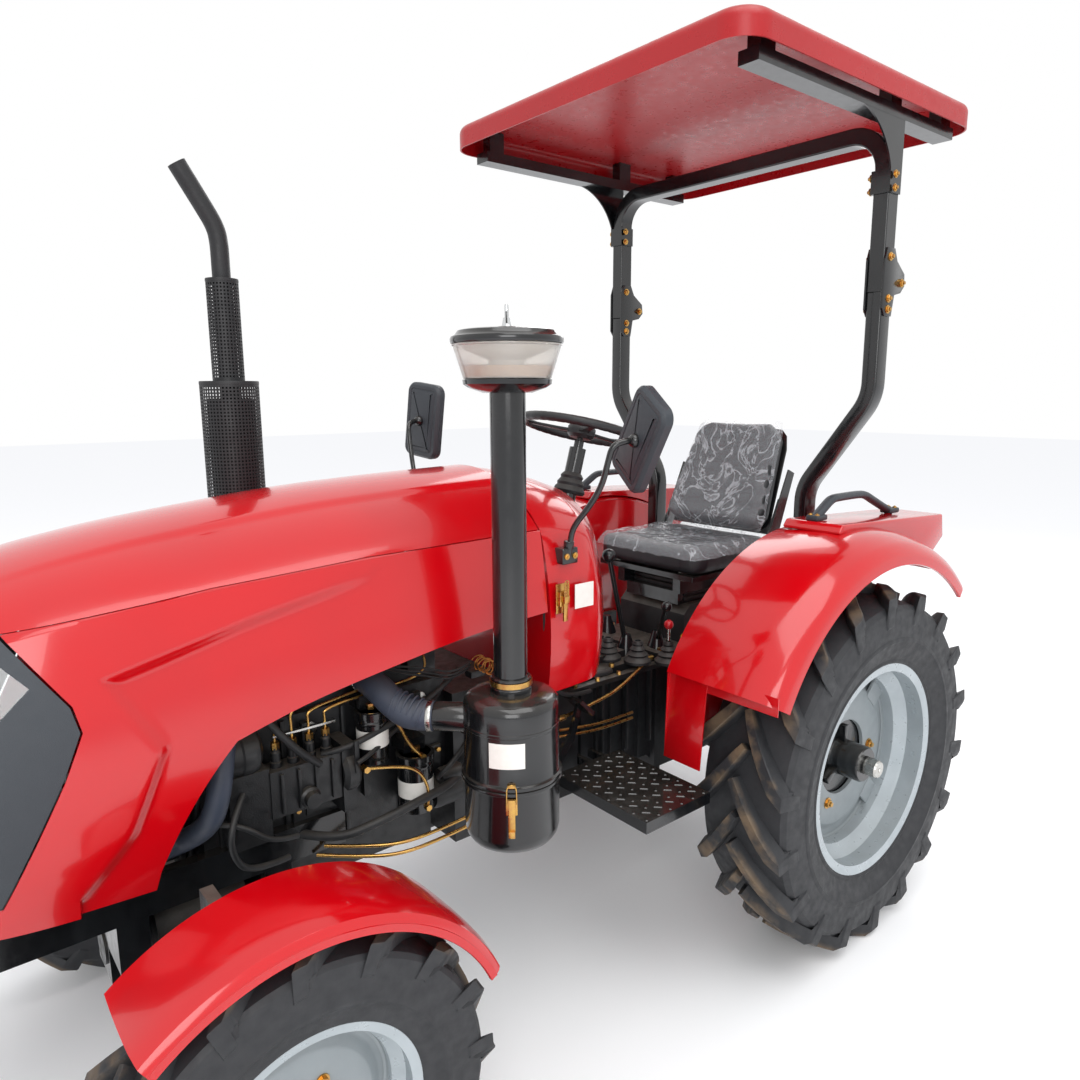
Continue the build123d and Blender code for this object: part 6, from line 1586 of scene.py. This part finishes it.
# head cover with its ribs, cover nuts and the breather
for k in range(7):
    x = 1.175 + 0.09 * k
    casting("coverRib", (x, -0.06, 1.1), (x + 0.012, 0.06, 1.1095), 0.0025)
casting("coverFlange", (1.14, -0.082, 1.04), (1.75, 0.082, 1.052), 0.003)
for k in range(4):
    x = 1.2 + 0.16 * k
    zincParts.append(rodBetween("coverNut", at(x, 0, 1.1), at(x, 0, 1.118), 0.01, 6))
blockParts.append(lathe("oilFiller", [(0.0, 1.104), (0.026, 1.104), (0.026, 1.12), (0.032, 1.122),
    (0.032, 1.134), (0.027, 1.138), (0.0, 1.138)], at(1.7, 0, 0), "Z", 32))

# block side: core plugs, ribs between the cylinders, bolted side covers, head bolts
for k in range(4):
    x = 1.205 + 0.15 * k
    plug = rodBetween("corePlug", at(x, engineSide - 0.004, 0.895), at(x, engineSide + 0.003, 0.895), 0.019,
        28, 0.0015)
    steelParts.append(plug)
    casting("blockRib", (x + 0.06, engineSide - 0.004, 0.6), (x + 0.072, engineSide + 0.01, 0.935), 0.003)
for low, high, z0, z1 in ((1.15, 1.245, 0.63, 0.76), (1.43, 1.56, 0.61, 0.72)):
    casting("sideCover", (low, engineSide - 0.003, z0), (high, engineSide + 0.012, z1), 0.004)
    for x in (low + 0.012, high - 0.012):
        for z in (z0 + 0.012, z1 - 0.012):
            zincParts.append(rodBetween("coverBolt", at(x, engineSide + 0.012, z),
                at(x, engineSide + 0.019, z), 0.0065, 6))
for k in range(14):
    x = 1.145 + 0.045 * k
    blockParts.append(rodBetween("headBolt", at(x, 0.118, 1.036), at(x, 0.118, 1.05), 0.0085, 6))

# inline pump: body ribs, governor housing, delivery valve holders and the lift pump
pumpRear = 1.465
for k in range(4):
    x = pumpRear + 0.02 + 0.04 * k
    blockParts.append(lathe("valveHolder", [(0.0, 0.848), (0.0135, 0.848), (0.0135, 0.862), (0.011, 0.864),
        (0.011, 0.884), (0.0085, 0.888), (0.0085, 0.896), (0.0, 0.896)], at(x, 0.196, 0), "Z", 20))
    zincParts.append(rodBetween("valveNut", at(x, 0.196, 0.892), at(x, 0.196, 0.908), 0.0095, 6))
    blockParts.append(brick("pumpRib", at(x - 0.004, 0.222, 0.748), at(x + 0.004, 0.231, 0.842)))
blockParts.append(lathe("governor", [(0.0, 0.0), (0.05, 0.0), (0.054, 0.006), (0.054, 0.03), (0.044, 0.04),
    (0.0, 0.04)], at(1.422, 0.196, 0.795), "X", 36))
blockParts.append(brick("governorArm", at(1.428, 0.246, 0.8), at(1.44, 0.252, 0.88)))
blockParts.append(lathe("liftPump", [(0.0, 0.0), (0.024, 0.0), (0.024, 0.012), (0.018, 0.016),
    (0.018, 0.034), (0.0, 0.034)], at(1.545, 0.224, 0.77), "Y", 28))

# injector pipes from the pump up to the head, one to each cylinder, held by a clip bar
for k in range(4):
    x = pumpRear + 0.02 + 0.04 * k
    port = 1.205 + 0.15 * k
    zincParts.append(tube("injectorPipe", [at(x, 0.196, 0.905), at(x, 0.196, 0.935),
        at(x + 0.004, 0.2, 0.958 + 0.006 * k), at((x + port) / 2, 0.196, 0.966 + 0.008 * k),
        at(port, 0.19, 0.975 + 0.006 * k), at(port, 0.176, 1.03), at(port, 0.14, 1.058),
        at(port, 0.112, 1.062)], 0.0032))
    zincParts.append(rodBetween("pipeNut", at(port, 0.116, 1.062), at(port, 0.104, 1.062), 0.0075, 6))
    blockParts.append(lathe("injector", [(0.0, 1.036), (0.012, 1.036), (0.012, 1.06), (0.009, 1.064),
        (0.009, 1.084), (0.0, 1.084)], at(port, 0.104, 0), "Z", 18))
zincParts.append(tube("leakPipe", [at(1.205, 0.104, 1.088), at(1.3, 0.106, 1.096), at(1.355, 0.104, 1.088),
    at(1.43, 0.106, 1.096), at(1.505, 0.104, 1.088), at(1.58, 0.106, 1.096), at(1.655, 0.104, 1.088)],
    0.0026))
steelParts.append(brick("pipeClip", at(1.46, 0.19, 0.918), at(1.61, 0.202, 0.924)))

# low-pressure pipes and hoses down to the filters and along the sill
routes = [
    (zincParts, 0.004, [(1.255, 0.258, 0.655), (1.255, 0.276, 0.7), (1.29, 0.284, 0.78), (1.36, 0.268, 0.8),
        (1.42, 0.262, 0.81)]),
    (zincParts, 0.004, [(1.37, 0.206, 0.932), (1.37, 0.232, 0.95), (1.33, 0.262, 0.9), (1.3, 0.262, 0.83),
        (1.262, 0.25, 0.79)]),
    (zincParts, 0.0045, [(1.0, 0.3, 0.64), (1.1, 0.302, 0.62), (1.22, 0.3, 0.61), (1.34, 0.286, 0.6),
        (1.43, 0.24, 0.606), (1.5, 0.19, 0.612)]),
    (zincParts, 0.0045, [(1.0, 0.312, 0.622), (1.11, 0.314, 0.602), (1.23, 0.312, 0.592),
        (1.35, 0.298, 0.582), (1.44, 0.252, 0.588), (1.52, 0.19, 0.596)]),
    (rubberParts, 0.0075, [(1.11, 0.19, 0.965), (1.19, 0.222, 0.93), (1.3, 0.236, 0.9), (1.38, 0.24, 0.88),
        (1.46, 0.236, 0.862), (1.5, 0.205, 0.85)]),
    (rubberParts, 0.009, [(1.64, 0.16, 1.01), (1.64, 0.215, 0.99), (1.6, 0.242, 0.93), (1.56, 0.246, 0.88),
        (1.52, 0.238, 0.845)]),
    (rubberParts, 0.007, [(1.69, 0.222, 0.82), (1.73, 0.262, 0.79), (1.74, 0.27, 0.72), (1.7, 0.262, 0.655),
        (1.6, 0.226, 0.64)]),
    (rubberParts, 0.0055, [(1.15, 0.16, 0.9), (1.22, 0.196, 0.87), (1.3, 0.2, 0.86), (1.39, 0.252, 0.84),
        (1.44, 0.262, 0.83)]),
    (rubberParts, 0.006, [(1.78, 0.17, 0.76), (1.75, 0.215, 0.77), (1.7, 0.25, 0.76), (1.64, 0.252, 0.7),
        (1.58, 0.236, 0.69)]),
    (rubberParts, 0.011, [(1.56, 0.158, 0.655), (1.5, 0.246, 0.65), (1.4, 0.268, 0.668), (1.3, 0.28, 0.69),
        (1.18, 0.268, 0.7), (1.06, 0.19, 0.705)]),
]
for group, radius, points in routes:
    group.append(tube("engineLine", [at(*point) for point in points], radius, True, 8))
for x, y, z in ((1.255, 0.258, 0.655), (1.262, 0.25, 0.79), (1.37, 0.206, 0.932), (1.42, 0.262, 0.81)):
    zincParts.append(rodBetween("banjoUnion", at(x, y - 0.01, z), at(x, y + 0.01, z), 0.0085, 6))

# canisters: pressed ends, a rolled seam, blank band, a hexagon on the head
for x, y, low, high, radius in ((1.26, 0.214, 0.64, 0.79, 0.044), (1.37, 0.206, 0.8, 0.93, 0.038)):
    body = lathe("filterCan", [(0.0, low), (radius * 0.72, low), (radius * 0.92, low + 0.006),
        (radius, low + 0.016), (radius, high - 0.034), (radius * 1.04, high - 0.031),
        (radius * 1.04, high - 0.026), (radius, high - 0.023), (radius, high - 0.018),
        (radius * 1.1, high - 0.016), (radius * 1.1, high - 0.002), (radius * 0.9, high), (0.0, high)],
        at(x, y, 0), "Z", 48)
    placed(body, blackEnamel)
    body.name = "filterCan" + ("Oil" if low < 0.7 else "Fuel")
    band = lathe("filterBand", [(radius + 0.0002, low + 0.04), (radius + 0.0006, low + 0.04),
        (radius + 0.0006, low + 0.084), (radius + 0.0002, low + 0.084)], at(x, y, 0), "Z", 48)
    placed(band, blankPlate)
    band.name = "filterBlankBand" + ("Oil" if low < 0.7 else "Fuel")
    zincParts.append(rodBetween("filterHex", at(x, y, high - 0.002), at(x, y, high + 0.014), 0.013, 6))

# alternator, water pump pulleys and belt at the front of the block
def grooved(name, centre, radius, width):
    rim = [(0.0, 0.0), (radius - 0.004, 0.0), (radius, 0.002), (radius - 0.008, width / 2),
        (radius, width - 0.002), (radius - 0.004, width), (0.03, width), (0.026, width - 0.006),
        (0.014, width - 0.006), (0.0, width - 0.006)]
    return lathe(name, rim, centre, "X", 48)


pulleys = [((1.76, 0, 0.64), 0.07, 0.022), ((1.76, 0.185, 0.905), 0.036, 0.022),
    ((1.76, 0, 0.935), 0.06, 0.022)]
for centre, radius, width in pulleys:
    blockParts.append(grooved("pulley", at(*centre), radius, width))
beltPoints = []
for centre, radius, turns in ((pulleys[0][0], 0.066, (200, 340)), (pulleys[1][0], 0.033, (-20, 70)),
        (pulleys[2][0], 0.057, (75, 190))):
    for k in range(9):
        turn = radians(turns[0] + (turns[1] - turns[0]) * k / 8)
        beltPoints.append(at(1.771, centre[1] + radius * cos(turn), centre[2] + radius * sin(turn)))
rubberParts.append(tube("fanBelt", beltPoints + [beltPoints[0]], 0.0052, False, 8))
alternator = lathe("alternator", [(0.0, -0.115), (0.036, -0.115), (0.052, -0.104), (0.056, -0.092),
    (0.056, -0.07), (0.053, -0.066), (0.053, -0.04), (0.056, -0.036), (0.056, -0.012), (0.048, -0.004),
    (0.0, -0.004)], at(1.755, 0.185, 0.905), "X", 40)
blockParts.append(alternator)
for k in range(10):
    turn = radians(36 * k)
    spot = at(1.747, 0.185 + 0.038 * cos(turn), 0.905 + 0.038 * sin(turn))
    rubberParts.append(rodBetween("alternatorVent", spot, spot + Vector((0.0065, 0, 0)), 0.005, 12))
casting("alternatorArm", (1.69, 0.13, 0.955), (1.7, 0.215, 0.968), 0.003)

# starter motor low on the side, with its solenoid and the heavy lead
for y, z, radius, low, high in ((0.205, 0.655, 0.04, 1.13, 1.215), (0.236, 0.712, 0.022, 1.14, 1.205)):
    blockParts.append(lathe("starter", [(0.0, 0.0), (radius * 0.8, 0.0), (radius, 0.006),
        (radius, high - low - 0.01), (radius * 0.9, high - low), (0.0, high - low)], at(low, y, z), "X",
        36))
rubberParts.append(tube("starterLead", [at(1.205, 0.24, 0.712), at(1.235, 0.268, 0.725),
    at(1.18, 0.29, 0.78), at(1.1, 0.262, 0.84), at(1.06, 0.205, 0.9)], 0.0065, True, 8))

# wound wire, loose wires and their plug
coil = [at(1.08 + 0.0035 * cos(0.7 * k) + 0.018 * cos(2 * pi * k / 12), 0.236 + 0.0009 * k, 0.99
    + 0.018 * sin(2 * pi * k / 12)) for k in range(72)]
placed(tube("woundWire", coil, 0.0016, True, 5), copperWire, smooth=60)
for k, (y, drop) in enumerate(((0.232, 0.0), (0.238, 0.012), (0.226, -0.01))):
    rubberParts.append(tube("looseWire", [at(1.1, y, 0.985 + drop), at(1.16, y + 0.02, 0.97 + drop),
        at(1.24, y + 0.01, 1.0 + drop), at(1.3, y - 0.02, 1.01 + drop), at(1.35, 0.172, 1.022)], 0.0028,
        True, 5))
casting("plugHousing", (1.06, 0.214, 0.95), (1.105, 0.244, 0.968), 0.003)

placed(joined(blockParts, "engineDressing"), blackCasting, smooth=30)
placed(joined(zincParts, "engineZinc"), yellowZinc)
placed(joined(steelParts, "engineSteel"), bareSteel, smooth=30)
placed(joined(rubberParts, "engineRubber"), softRubber, smooth=40)
print("engine dressed")


# ---- roll bar: smooth posts, hinge cheeks and bolts; the hoop shows its CAD form
rollPost = {"x": ahead(-0.22), "half": (0.03, 0.025)}


def boxTube(name, points, halfX, halfY, bend=0.15, steps=7):
    # rounded rectangular tube along a route in the YZ plane at the post's x, with true bends
    route = [Vector(points[0])]
    for before, here, after in zip(points, points[1:], points[2:]):
        here, before, after = Vector(here), Vector(before), Vector(after)
        inward, onward = (here - before).normalized(), (after - here).normalized()
        angle = inward.angle(onward)
        trim = bend * tan(angle / 2)
        start, axis = here - inward * trim, inward.cross(onward).normalized()
        centre = start + axis.cross(inward) * bend
        for k in range(steps + 1):
            route.append(centre + Matrix.Rotation(angle * k / steps, 3, axis) @ (start - centre))
    route.append(Vector(points[-1]))
    corner = []
    for cx, cy, first in ((1, 1, 0), (-1, 1, 90), (-1, -1, 180), (1, -1, 270)):
        for k in range(4):
            turn = radians(first + 30 * k)
            corner.append((cx * (halfX - 0.007) + 0.007 * cos(turn), cy * (halfY - 0.007)
                + 0.007 * sin(turn)))
    last, count = len(route) - 1, len(corner)

    def place(u, v):
        i = round(u * last)
        run = (route[min(i + 1, last)] - route[max(i - 1, 0)]).normalized()
        px, py = corner[round(v * count) % count]
        return route[i] + Vector((px, 0, 0)) + run.cross(Vector((1, 0, 0))) * py

    tubeMesh = skinGrid(name, last, count, place)
    tidyShell(tubeMesh, 0.00005)
    active(tubeMesh)
    editAll()
    bpy.ops.mesh.select_all(action="DESELECT")
    bpy.ops.mesh.select_non_manifold()
    bpy.ops.mesh.fill_holes(sides=0)
    bpy.ops.mesh.select_all(action="SELECT")
    bpy.ops.mesh.normals_make_consistent(inside=False)
    objectMode()
    return tubeMesh


postParts = []
for side in (1, -1):
    postParts.append(boxTube("rollBarPost", [(rollPost["x"], side * y, z) for y,
        z in ((0.338, 0.672), (0.338, 1.35), (0.555, 1.65), (0.555, 1.966))], *rollPost["half"]))
    postParts.append(brick("postFoot", (ahead(-0.262), side * 0.339 - 0.045, 0.652),
        (ahead(0.078), side * 0.339 + 0.045, 0.672), 0.003))
    for edge in (1, -1):
        cheekY = side * 0.555 + edge * 0.0253
        outline = [(-0.022, 1.896), (0.018, 1.896), (0.034, 1.918), (0.034, 2.06), (0.022, 2.096),
            (-0.022, 2.096), (-0.04, 2.06), (-0.088, 2.026), (-0.092, 1.99), (-0.07, 1.968), (-0.034, 1.96)]
        postParts.append(slab("hingeCheek", [(rollPost["x"] + x, cheekY, z) for x, z in outline],
            (0, edge * 0.006, 0), 0.0012))
placed(joined(postParts, "rollBarPosts"), blackEnamel, "chassis", ["roll_bar_posts"])
cheekBolts = []
for side in (1, -1):
    for edge in (1, -1):
        outside = side * 0.555 + edge * 0.0313
        for x, z in ((0.004, 1.916), (0.004, 1.948), (0.006, 2.07), (-0.07, 1.998)):
            cheekBolts.append(((rollPost["x"] + x, outside, z), (0, edge, 0)))
    for x in (-0.24, -0.2, 0.02, 0.055):
        cheekBolts.append(((ahead(x), side * 0.366, 0.672), (0, 0, 1)))
boltsAt("rollBarBolts", cheekBolts, yellowZinc, "chassis", 0.0095, 0.008)
hoopBolts = []
for side in (1, -1):
    for x, z in ((0.02, 2.262), (0.02, 2.3)):
        hoopBolts.append(((rollPost["x"] + x, side * (0.555 + 0.0365), z), (0, side, 0)))
        hoopBolts.append(((rollPost["x"] + x, side * (0.555 - 0.0365), z), (0, -side, 0)))
boltsAt("canopyBolts", hoopBolts, yellowZinc, "roll_hoop", 0.0085, 0.007)
print("roll bar made")

# ---- footplates: chequer lozenges
plateTop = 0.593
lozenges = []
for side in (1, -1):
    for i in range(11):
        for j in range(15):
            x, y = ahead(0.572) + 0.0225 * i, side * (0.25 + 0.0232 * j)
            if (i + j) % 2 == 0:
                turn = radians(45 if i % 2 == 0 else -45)
                bpy.ops.mesh.primitive_cube_add(size=1)
                stud = bpy.context.object
                for vertex in stud.data.vertices:
                    top = vertex.co.z > 0
                    vertex.co = Vector((vertex.co.x * (0.019 if top else 0.024),
                        vertex.co.y * (0.0042 if top else 0.0072), 0.0022 if top else -0.0005))
                stud.data.transform(Matrix.Translation((x, y, plateTop)) @ Matrix.Rotation(turn, 4, "Z"))
                lozenges.append(stud)
placed(joined(lozenges, "chequerStuds"), blackEnamel, "chassis", (), 20)

# ---- tail lamps: amber and red lenses with vertical flutes in a black housing
lampRows = []
for side in (1, -1):
    low, high = min(side * 0.464, side * 0.62), max(side * 0.464, side * 0.62)
    lampRows.append(brick("lampHousing", (-1.356, low, 1.176), (-1.34, high, 1.244), 0.004, 3))
placed(joined(lampRows, "tailLampHousings"), glossPlastic, "chassis", ["tail_lamps"])
for material, name, first, last in ((redLens, "stopLenses", 0.0, 0.62), (amberLens, "turnLenses", 0.64, 1.0)):
    lenses = []
    for side in (1, -1):
        inner, outer = 0.47, 0.614
        y0, y1 = side * (inner + (outer - inner) * first), side * (inner + (outer - inner) * last)
        low, high = min(y0, y1), max(y0, y1)
        lenses.append(brick("lens", (-1.37, low, 1.182), (-1.354, high, 1.238), 0.005, 3))
        count = int((high - low) / 0.008)
        for k in range(1, count):
            y = low + (high - low) * k / count
            lenses.append(brick("flute", (-1.3712, y - 0.0022, 1.187), (-1.369, y + 0.0022, 1.233), 0.0008,
                1))
    placed(joined(lenses, name), material, "chassis", ())
print("footplates and lamps made")

# ---- gearbox dressing: ribbed lid, rubber boots on the levers, control lines and knobs
gearParts, gearZinc, gearRubber = [], [], []
for k in range(6):
    x = 0.3 + 0.085 * k
    gearParts.append(brick("lidRib", at(x, -0.12, 0.828), at(x + 0.01, 0.12, 0.838)))
for x, y in ((0.29, 0.15), (0.29, -0.15), (0.52, 0.16), (0.52, -0.16), (0.75, 0.16), (0.75, -0.16),
        (0.4, 0.16), (0.64, 0.16)):
    gearZinc.append(rodBetween("lidBolt", at(x, y, 0.828), at(x, y, 0.84), 0.0085, 6))
for x, y, z in ((0.478, 0.1, 0.832), (0.43, 0.185, 0.832), (0.36, 0.25, 0.832)):
    gearRubber.append(lathe("leverBoot", [(0.01, 0.07), (0.014, 0.07), (0.018, 0.06), (0.016, 0.055),
        (0.025, 0.044), (0.021, 0.038), (0.033, 0.027), (0.029, 0.021), (0.043, 0.008), (0.043, 0.0),
        (0.01, 0.0)], at(x, y, z), "Z", 36))
for side in (1, -1):
    for k in range(5):
        x = 0.17 + 0.105 * k
        gearParts.append(brick("caseRib", at(x, side * 0.186, 0.56), at(x + 0.01, side * 0.204, 0.8), 0.003))
    gearParts.append(brick("caseFlange", at(0.145, side * 0.18, 0.8), at(0.83, side * 0.206, 0.816), 0.003))
    for k in range(8):
        x = 0.165 + 0.09 * k
        gearZinc.append(rodBetween("flangeBolt", at(x, side * 0.197, 0.815), at(x, side * 0.197, 0.826),
            0.0075, 6))
lines = [
    (gearZinc, 0.005, [(0.4, 0.205, 0.842), (0.52, 0.232, 0.8), (0.64, 0.236, 0.77), (0.8, 0.24, 0.76)]),
    (gearZinc, 0.0045, [(0.84, 0.215, 0.72), (0.7, 0.222, 0.7), (0.6, 0.222, 0.69), (0.48, 0.214, 0.686)]),
    (gearZinc, 0.0045, [(0.84, 0.215, 0.7), (0.7, 0.222, 0.682), (0.6, 0.222, 0.672), (0.48, 0.214, 0.668)]),
    (gearRubber, 0.0085, [(0.88, 0.205, 0.93), (0.8, 0.225, 0.88), (0.7, 0.236, 0.86), (0.6, 0.23, 0.85),
        (0.56, 0.195, 0.836)]),
    (gearRubber, 0.0065, [(0.9, 0.225, 1.05), (0.9, 0.262, 0.96), (0.86, 0.27, 0.88), (0.78, 0.252, 0.82),
        (0.66, 0.212, 0.8)]),
    (gearRubber, 0.0055, [(0.93, 0.33, 1.19), (0.94, 0.342, 1.12), (0.93, 0.33, 1.02), (0.9, 0.29, 0.9),
        (0.84, 0.23, 0.82)]),
]
for group, radius, points in lines:
    group.append(tube("controlLine", [at(*point) for point in points], radius, True, 8))
for x, y, z in ((0.4, 0.205, 0.842), (0.8, 0.24, 0.76)):
    gearZinc.append(rodBetween("clevis", at(x - 0.016, y, z), at(x + 0.016, y, z), 0.0085, 12, 0.001))
placed(joined(gearParts, "gearboxDressing"), blackCasting, smooth=30)
placed(joined(gearZinc, "gearboxZinc"), yellowZinc)
placed(joined(gearRubber, "gearboxRubber"), softRubber, smooth=40)
redKnob = lathe("redKnob", [(0.0, -0.014), (0.008, -0.013), (0.014, -0.006), (0.015, 0.002), (0.012, 0.01),
    (0.005, 0.015), (0.0, 0.0155)], at(0.36, 0.25, 0.955), "Z", 32)
rod = rodBetween("redLeverRod", at(0.36, 0.25, 0.862), at(0.36, 0.25, 0.945), 0.0055, 16)
placed(redKnob, redPlastic, smooth=40)
placed(rod, bareSteel, smooth=40)
yellowKnob = lathe("yellowKnob", [(0.0, -0.01), (0.007, -0.009), (0.011, -0.003), (0.011, 0.004),
    (0.007, 0.01), (0.0, 0.011)], at(0.3, 0.262, 0.905), "Z", 28)
placed(yellowKnob, yellowPlastic, smooth=40)
placed(rodBetween("yellowLeverRod", at(0.3, 0.25, 0.835), at(0.3, 0.262, 0.898), 0.0045, 14), bareSteel,
    smooth=40)

# ---- cowl latch, zinc plated, and the blank plate beside it
latchParts = []
placed(brick("cowlPlate", at(0.8, 0.372, 1.12), at(0.865, 0.3735, 1.185), 0.0004, 1), blankPlate)
for low, high in (((0.893, 0.372, 1.118), (0.931, 0.376, 1.196)),
        ((0.897, 0.376, 1.138), (0.927, 0.3855, 1.176)), ((0.903, 0.385, 1.148), (0.921, 0.397, 1.166)),
        ((0.905, 0.386, 1.1), (0.919, 0.392, 1.152))):
    latchParts.append(brick("latchPlate", at(*low), at(*high), 0.0018))
latchParts.append(tube("latchSpring", [at(0.912 + 0.008 * cos(1.05 * k), 0.394, 1.158 + 0.0011 * k
    + 0.008 * sin(1.05 * k)) for k in range(42)], 0.0015, True, 5))
placed(joined(latchParts, "cowlLatch"), yellowZinc)
print("gearbox dressed")

print("finished")
